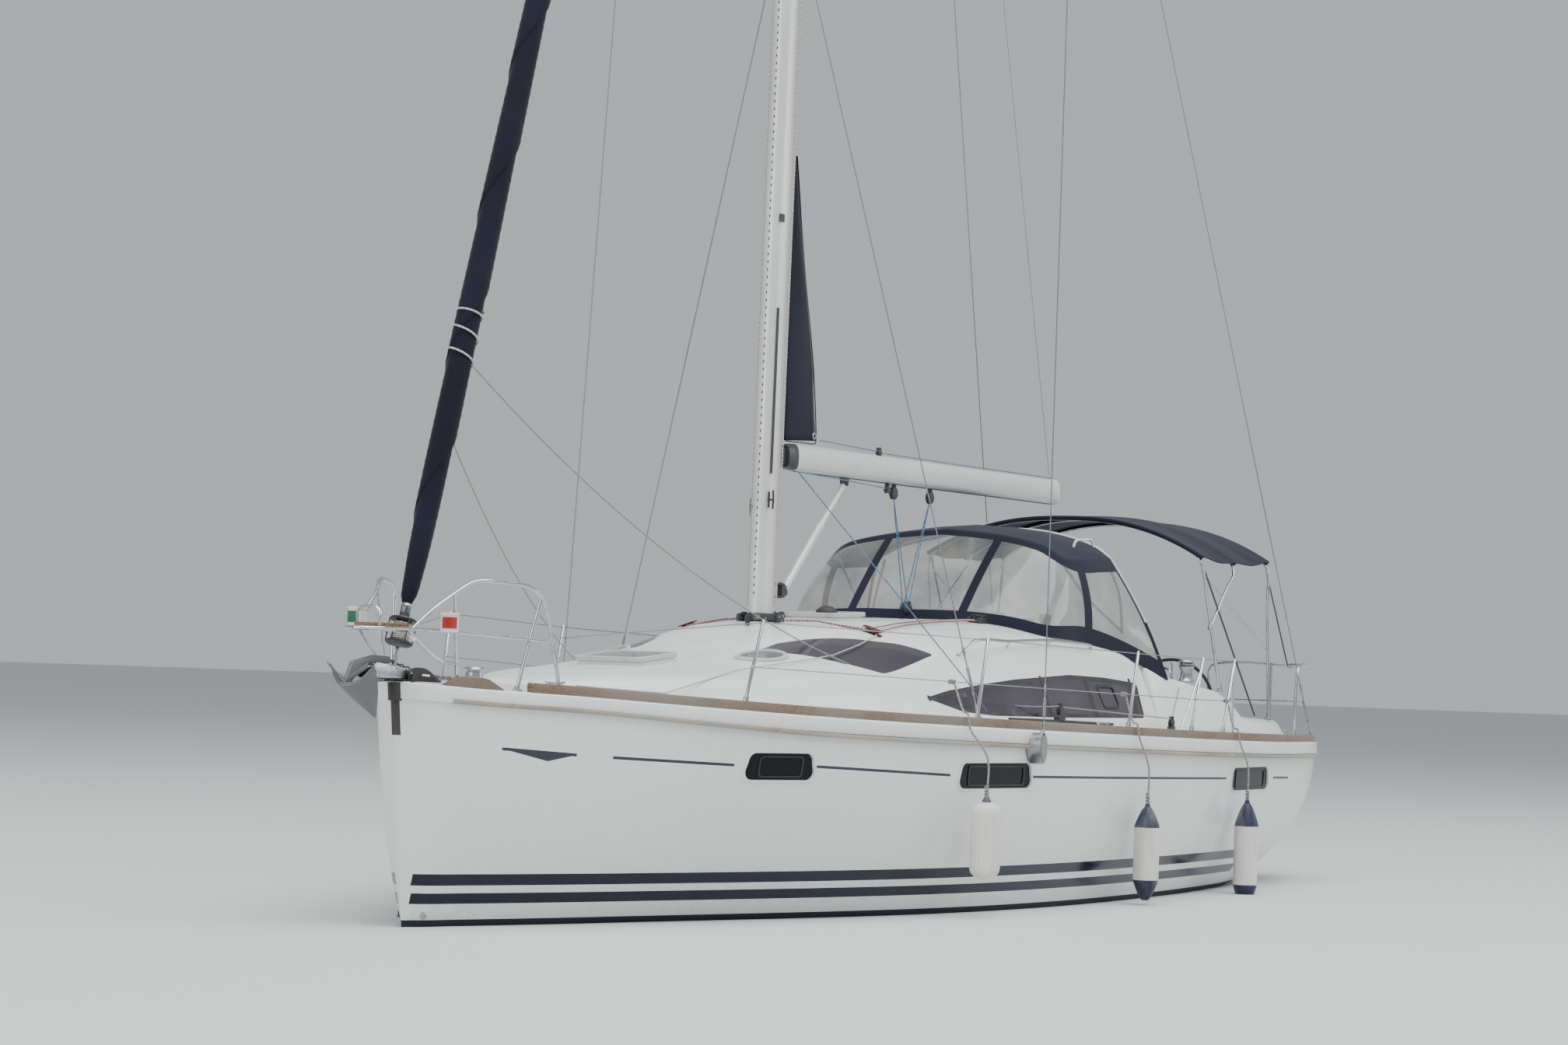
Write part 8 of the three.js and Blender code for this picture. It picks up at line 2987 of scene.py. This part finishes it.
def dodger_roof(rows=16):
    """The roof panel between the wall's top seam and the aft arch, with a slow fold along each bow."""
    seam = spread(list(top_line), STOPS)
    whole = both_sides(curve_through(AFT_ARCH, FINE))
    marks = np.linspace(0, 1, len(whole))
    share = np.concatenate([[0], np.cumsum([(b - a).length for a, b in zip(seam, seam[1:])])])
    share = share / share[-1]
    at = [Vector([np.interp(s, marks, [p[k] for p in whole]) for k in range(3)]) for s in share]
    points = []
    for t in np.linspace(0, 1, rows + 1):
        for i, (a, b) in enumerate(zip(seam, at)):
            long = (b - a).length
            crown = 0.03 * long * sin(pi * t)
            fold = 0.004 * sin(9 * t + 5 * share[i]) * sin(pi * t) * min(1, long)
            points.append(a.lerp(b, t) + Vector((0, 0, crown + fold)))
    return points, grid(rows + 1, len(seam))


def make_dodger():
    rows = dodger_wall()
    points = [p for row in rows for p in row]
    canvas, panes = dodger_faces(rows)
    roof_points, roof_faces = dodger_roof()
    shape = joined(only_used(points, canvas), (roof_points, roof_faces))
    cloth = new_object("dodger_canvas", *shape)
    outwards(cloth, weld=1e-4)
    thickened(cloth, 0.003)
    dress(cloth, CANVAS, stands_for=["dodger"], crease=45)
    clear = new_object("dodger_panes", *only_used(points, panes))
    outwards(clear, weld=1e-4)
    dress(clear, VINYL, crease=60)
    return rows


dodger_rows = make_dodger()

# %% Piping, bows and grab rails of the dodger
DODGER_TUBE = 0.0125
GRAB_LOOP = [
    (-2.18, 0.93, 2.815), (-2.22, 0.93, 2.865), (-2.4, 0.93, 2.885), (-2.56, 0.92, 2.885), (-2.6, 0.92, 2.835)
]
PIPING = make_paint("white_piping", (0.68, 0.68, 0.66), 0.6, 0.15)


def make_dodger_edges():
    arch = both_sides(curve_through(AFT_ARCH, FINE))
    front = both_sides(top_line[: 3 * FINE])
    edge = [row[-1] for row in dodger_rows]
    n = len(edge)
    black = []
    white = [along([p + Vector((-0.004, 0, 0.004)) for p in arch], 0.011, 8)]
    bows = [along([p + Vector((0.02, 0, -0.028)) for p in arch], DODGER_TUBE, 10)]
    bows.append(along([p + Vector((-0.03, 0, -0.03)) for p in front], DODGER_TUBE, 10))
    for side in SIDES.values():
        upper = [Vector((p.x - 0.004, side * p.y, p.z)) for p in edge[: n // 2 - 2 : -1]]
        lower = [Vector((p.x - 0.004, side * p.y, p.z)) for p in edge[: n // 2]]
        white.append(along(upper, 0.011, 8))
        black.append(along(lower, 0.009, 8))
        leg = [(-2.63, side * 1.04, 2.7), (-2.68, side * 1.13, 2.45), (-2.66, side * 1.18, 2.12)]
        bows.append(along(curve_through(leg, 6), DODGER_TUBE, 10))
        brace = [(-1.74, side * 1.02, 2.68), (-2.15, side * 1.08, 2.4), (-2.66, side * 1.17, 2.14)]
        bows.append(along(curve_through(brace, 6), DODGER_TUBE, 10))
        white.append(along(curve_through(sided(GRAB_LOOP, side), 6), 0.01, 8))
    piece("dodger_piping", white, PIPING)
    piece("dodger_edge_binding", black, BLACK)
    piece("dodger_bows", bows, STEEL)


make_dodger_edges()
print("dodger tubes:", 2 * DODGER_TUBE, "m thick")

# %% [markdown]
# ## The bimini
# The bimini is the sun roof over the helms. One sheet of the same canvas is drawn over three bent tubes, so it
# is high over each tube and a little lower between them, and its ends are hemmed. The sheet is a grid whose
# heights are the mean curve plus that slow wave.

# %% Bimini sheet
BIMINI_HALF = 1.33
# x, height in the middle and at the edge
BIMINI_ROWS = np.array(
    [(-5.54, 3.18, 2.84), (-5.16, 3.195, 2.81), (-4.76, 3.195, 2.8), (-4.35, 3.185, 2.805), (-4.0, 3.16, 2.825)]
)
BOWS_X = (-5.52, -4.76, -4.02)


def bimini_height(x, y):
    middle, edge = [float(fair(BIMINI_ROWS[:, 0], BIMINI_ROWS[:, k], x)) for k in (1, 2)]
    t = abs(y) / BIMINI_HALF
    sag = min(abs(x - b) for b in BOWS_X)
    dip = 0.022 * sin(min(1.0, sag / 0.38) * pi / 2) ** 2
    return middle - (middle - edge) * t**2.4 - dip * (1 - 0.3 * t)


def make_bimini():
    xs = np.linspace(BIMINI_ROWS[0, 0], BIMINI_ROWS[-1, 0], 44)
    ys = np.linspace(-1, 1, 61)
    points = []
    for x in xs:
        for t in ys:
            y = BIMINI_HALF * copysign(abs(t) ** 0.9, t)
            crease = 0.003 * sin(23 * x + 4 * t) * abs(t) ** 2
            points.append((x, y, bimini_height(x, y) + crease - 0.002))
    sheet = new_object("bimini_canvas", points, grid(len(xs), len(ys)))
    outwards(sheet)
    face_up(sheet)
    thickened(sheet, 0.003)
    dress(sheet, CANVAS, stands_for=["bimini"], crease=50)
    hems = []
    for x in (BIMINI_ROWS[0, 0] + 0.004, -4.76, BIMINI_ROWS[-1, 0] - 0.004):
        hem = [(x, y, bimini_height(x, y) - 0.022) for y in np.linspace(-BIMINI_HALF + 0.01, BIMINI_HALF - 0.01, 41)]
        hems.append(along(hem, 0.019, 8))
    for side in SIDES.values():
        hem = [(x, side * (BIMINI_HALF - 0.004), bimini_height(x, BIMINI_HALF) - 0.004) for x in xs]
        hems.append(along(hem, 0.007, 8))
    piece("bimini_sleeves", hems, CANVAS)


make_bimini()

# %% Bimini frame
FRAME_FEET = {"fore": (-4.29, 1.4, 1.667), "aft": (-5.45, 1.4, 1.436)}
FRAME_SOCKET = [(0.034, -0.004), (0.034, 0.006), (0.02, 0.012), (0.018, 0.06)]
# upper and lower end of each port strap
STRAPS = [((-4.04, 1.3, 2.775), (-5.02, 1.44, 1.46)), ((-5.54, 1.3, 2.77), (-5.74, 1.46, 1.9))]


def strap(start, end, half, thick):
    """A straight flat band that faces abeam."""
    start, end = Vector(start), Vector(end)
    flat = Vector((0, 1, 0))
    wide = (end - start).cross(flat).normalized()
    return loft([[p + a * wide + b * flat for a, b in oblong(-half, half, -thick, thick)] for p in (start, end)])


def make_bimini_frame():
    tubes, joints = [], []
    for x, foot in ((-4.02, "fore"), (-4.76, None), (-5.52, "aft")):
        top = [(x, y, bimini_height(x, y) - 0.03) for y in np.linspace(-1.24, 1.24, 21)]
        for side in SIDES.values():
            end, before = (top[-1], top[-3]) if side > 0 else (top[0], top[2])
            if foot:
                fx, fy, fz = FRAME_FEET[foot]
                knee = Vector((end[0] - 0.02 * (x < -5), side * 1.312, end[2] - 0.1))
                path = curve_through([before, end, knee, knee.lerp(Vector((fx, side * fy, fz)), 0.25)], 6)
                tubes.append(along([*path, (fx, side * fy, fz + 0.004)], 0.0135, 12))
                joints.append(turned(FRAME_SOCKET, (fx, side * fy, fz), sides=16))
            else:
                fx, fy, fz = FRAME_FEET["fore"]
                hinge = Vector((fx, side * fy, fz)).lerp(Vector((-4.02, side * 1.3, 2.76)), 0.5)
                knee = Vector((x, side * 1.305, end[2] - 0.12))
                tubes.append(along(curve_through([before, end, knee, knee.lerp(hinge, 0.3), hinge], 6), 0.0115, 12))
                joints.append(ball(hinge, 0.024, 1.2))
        tubes.append(along(top, 0.0135, 12))
    for side in SIDES.values():
        a = Vector((-5.45, side * 1.395, 1.44)).lerp(Vector((-5.54, side * 1.31, 2.75)), 0.45)
        b = Vector((-4.29, side * 1.39, 1.67)).lerp(Vector((-4.03, side * 1.3, 2.72)), 0.97)
        tubes.append(bar(a, b, 0.009))
    piece("bimini_tubes", tubes, STEEL, stands_for=["bimini_frame"])
    piece("bimini_hinges", joints, CHROME_DULL)
    straps = [strap(*sided(ends, side), 0.013, 0.0015) for side in SIDES.values() for ends in STRAPS]
    piece("bimini_straps", straps, BLACK)


make_bimini_frame()
print("bimini bows:", len(BOWS_X))
# %% [markdown]
# ## Fenders
# Three inflated fenders hang from the rail on the port side. The foremost is a ribbed white cylinder, and the
# other two are smooth with navy cones at both ends. A fender has its eye moulded at the top, and its lanyard is a
# thin line with a knot at the eye and a hitch round the guard wire, pulled straight by the weight.

# %% Fenders and their lanyards
# node, x, y, foot, head, radius, ribbed
FENDERS = [
    ("fender_1", 1.71, 2.075, 0.28, 0.84, 0.11, True),
    ("fender_2", -0.92, 2.2, 0.04, 0.76, 0.1, False),
    ("fender_3", -3.17, 2.13, -0.11, 0.75, 0.1, False),
]
RIBS = 18
CONE = 7  # rings of the smooth fenders that are navy at each end


def fender_skin(x, y, foot, head, radius, ribbed):
    """Rings of a fender, with upright ribs if it has them."""
    length = head - foot
    rings = []
    for t in np.linspace(0, 1, 29 if ribbed else 33):
        if ribbed:
            end = min(t, 1 - t) / 0.17
            r = max(0.012, radius * sqrt(max(0.0, 1 - (1 - min(1.0, end)) ** 2.6)))
        else:
            end = min(t, 1 - t) / 0.21
            r = radius * min(1.0, 0.26 + 0.74 * min(1.0, end) ** 0.75)
        rib = min(1.0, max(0.0, end - 0.4)) if ribbed else 0.0
        ring = []
        for a in full_turn(RIBS * 6 if ribbed else 48):
            groove = 0.05 * rib * (abs(sin(RIBS * a / 2)) ** 0.35 - 0.85)
            out = r * (1 + groove)
            ring.append((x + out * cos(a), y + out * sin(a), foot + length * t))
        rings.append(ring)
    return rings


def make_fenders():
    lines, eyes = [], []
    for node, x, y, foot, head, radius, ribbed in FENDERS:
        rings = fender_skin(x, y, foot, head, radius, ribbed)
        if ribbed:
            piece(node + "_skin", loft(rings), FENDER_WHITE, stands_for=[node], crease=50)
            eye = [(0.03, -0.012), (0.034, 0.0), (0.024, 0.018), (0.012, 0.038)]
        else:
            piece(node + "_skin", loft(rings[CONE:-CONE]), FENDER_WHITE, stands_for=[node], crease=50)
            ends = [loft(rings[: CONE + 1]), loft(rings[-CONE - 1 :])]
            piece(node + "_cones", ends, FENDER_NAVY, crease=50)
            eye = [(0.024, -0.01), (0.022, 0.01), (0.012, 0.035)]
        eyes.append(turned(eye, (x, y, head), sides=16))
        rail_y = hull_side(x, Section(x).sheer)[1]
        top = deck_height(x, rail_y - 0.03) + 0.085
        low_wire = Vector(wire_at(x - 0.06, 1, MID_WIRE))
        hang = [(x, y, head + 0.02), (x, y - 0.003, (head + top) / 2), (x, rail_y + 0.05, top - 0.11)]
        over_rail = [(x - 0.01, rail_y + 0.02, top), (x - 0.03, rail_y - 0.02, top + 0.012)]
        lines.append(along(curve_through([*hang, *over_rail, low_wire], 8), 0.008, 8))
        turns = np.linspace(0, 3 * tau, 40)
        knot = [(x + 0.012 * cos(a), y + 0.012 * sin(a), head + 0.03 + 0.004 * a) for a in turns]
        hitch = [low_wire + Vector((0.004 * a, 0.011 * cos(a), 0.011 * sin(a))) for a in turns]
        lines += [along(knot, 0.008, 6), along(hitch, 0.008, 6)]
    piece("fender_lanyards", lines, ROPE_GREY)
    piece("fender_eyes", eyes, FENDER_NAVY)


make_fenders()
print("fenders:", len(FENDERS))
# %% [markdown]
# ## Under the water
# The keel is a cast iron fin with a bulb, painted with the bottom. The rudder hangs on its stock, and ahead of
# it the engine's leg comes down through the hull with a three-bladed propeller. All are foil sections, so
# they are lofted from one function that draws a foil.

# %% Keel and rudder


def foil(lead, chord, thick, z, steps=16, blunt=0.0):
    """A symmetric foil section that lies level: lead is its foremost x."""
    ring = []
    for k in range(steps + 1):
        t = (1 - cos(pi * k / steps)) / 2
        half = thick * 5 * (0.2969 * sqrt(t) - 0.126 * t - 0.3516 * t**2 + 0.2843 * t**3 - 0.1015 * t**4)
        ring.append((lead - chord * t, max(half, blunt * t), z))
    return ring + sided(ring, -1)[-2:0:-1]


# z, fore edge, chord and thickness of the fin, from its root down
KEEL_ROWS = [(-0.3, 1.25, 2.05, 0.26), (-1.25, 1.1, 1.75, 0.21), (-1.9, 0.98, 1.55, 0.19)]
BULB = {"fore": 1.35, "aft": -1.15, "z": -1.96, "half": 0.23, "high": 0.205, "sole": -2.12}


def make_keel():
    rows = np.array(KEEL_ROWS)
    rings = []
    for z in np.linspace(-0.3, -1.96, 12):
        lead, chord, thick = (float(np.interp(-z, -rows[:, 0], rows[:, k])) for k in (1, 2, 3))
        rings.append(foil(lead, chord, thick / 2, z, blunt=0.006))
    bulb = []
    long = BULB["fore"] - BULB["aft"]
    for k in range(29):
        t = (1 - cos(pi * k / 28)) / 2
        r = min(max(2.6 * sqrt(t) * (1 - t) ** 0.75 / 1.245, 0.004), 1.0)
        ring = []
        for a in full_turn(28):
            z = BULB["z"] + BULB["high"] * r * sin(a)
            ring.append((BULB["fore"] - long * t, BULB["half"] * r * cos(a), max(z, BULB["sole"])))
        bulb.append(ring)
    piece("keel_fin", loft(rings), ANTIFOUL, stands_for=["keel"], crease=50)
    piece("keel_bulb", loft(bulb), ANTIFOUL, crease=50)


def make_rudder():
    rings = []
    for t in [*np.linspace(0, 0.92, 10), 0.94, 0.96, 0.975, 0.99, 1.0]:
        z = -0.25 - 1.53 * t
        lead = -5.02 - 0.03 * t
        chord, thick = 0.64 - 0.22 * t, 0.06 - 0.025 * t
        shrink = 1.0 if t < 0.93 else 1 - 0.55 * ((t - 0.93) / 0.07) ** 2
        rings.append(foil(lead - chord * (1 - shrink) / 2, chord * shrink, thick * shrink, z, blunt=0.004))
    piece("rudder_blade", loft(rings), ANTIFOUL, "rudder", ["rudder"], crease=50)
    stock = [
        bar((-5.15, 0, -0.3), (-5.15, 0, 0.25), 0.045, 28),
        turned([(0.058, 0), (0.058, 0.02), (0.046, 0.03)], (-5.15, 0, -0.268), sides=24),
    ]
    piece("rudder_stock", stock, STEEL, "rudder")


make_keel()
make_rudder()
print("keel down to", BULB["sole"], "m")

# %% Engine leg, propeller, engine and steps
eased("saildrive_leg", 0.02, ANTIFOUL, segments=3)
SHAFT = Vector((-2.996, 0, -0.905))
PROP_RADIUS, BLADES = 0.225, 3
# radius and height of the turned hub, with the anode at its end
HUB = [
    (0.0, 0.0), (0.052, 0.0), (0.056, 0.03), (0.056, 0.085), (0.046, 0.11),
    (0.04, 0.115), (0.03, 0.15), (0.012, 0.172), (0.0, 0.175),
]  # fmt: skip


def make_propeller():
    """Three twisted blades on a turned hub with an anode behind."""
    low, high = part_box("propeller")
    span = high[0] - low[0]
    scale = span / HUB[-1][1]
    half_section = [(u, 1) for u in np.linspace(-0.5, 0.5, 8)]
    section = half_section + [(u, -1) for u, _ in half_section[-2:0:-1]]
    blades = []
    for around in full_turn(BLADES):
        c, s = cos(around), sin(around)
        rings = []
        for t in np.linspace(0, 1, 9):
            r = 0.046 + (PROP_RADIUS - 0.048) * t
            chord = 0.13 * (0.55 + 0.95 * t - 0.92 * t**3) * (0.35 if t > 0.97 else 1.0)
            pitch = radians(64 - 42 * t)
            thick = 0.0085 * (1 - 0.75 * t) + 0.0015
            ring = []
            for share, face in section:
                u, h = share * chord, face * thick * sqrt(max(0.0, 1 - (2 * share) ** 2))
                x = (u * sin(pitch) + h * cos(pitch)) * min(1.0, span / 0.16)
                y = u * cos(pitch) - h * sin(pitch)
                ring.append((SHAFT.x - span / 2 + x, y * c - r * s, SHAFT.z + y * s + r * c))
            rings.append(ring)
        blades.append(loft(rings))
    body = turned([(r, h * scale) for r, h in HUB], SHAFT, (-1, 0, 0), 28)
    piece("propeller_bronze", joined(body, *blades), BRONZE, "propeller", ["propeller"], crease=50)


make_propeller()
eased("engine", 0.03, ENGINE, segments=3)


def make_engine_details():
    """Ribs and a filler cap on the plain block of the engine."""
    low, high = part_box("engine")
    ribs = []
    for k in range(7):
        x, z = low[0] + 0.12 + 0.095 * k, high[2] + 0.001
        ribs.append(bar((x, low[1] + 0.06, z), (x, high[1] - 0.06, z), 0.008, 8))
    cap = [(0.035, -0.005), (0.035, 0.015), (0.025, 0.02), (0.0, 0.02)]
    ribs.append(turned(cap, (low[0] + 0.65, 0.0, high[2] - 0.004), sides=20))
    piece("engine_ribs", ribs, BLACK)


def make_steps():
    treads = []
    for x0, x1, z in ((-2.528, -2.362, 1.05), (-2.528, -2.232, 0.75)):
        for k in range(3):
            pitch = (x1 - x0 - 0.008) / 3
            low = x0 + 0.004 + k * pitch
            treads.append(rounded_box(low, low + pitch - 0.008, -0.27, 0.27, z + 0.0005, z + 0.004, 0.01))
    piece("step_grips", treads, NONSKID)


eased("companionway_steps", 0.006, VARNISH)
make_engine_details()
make_steps()
print("under the water: keel, rudder, leg and propeller")
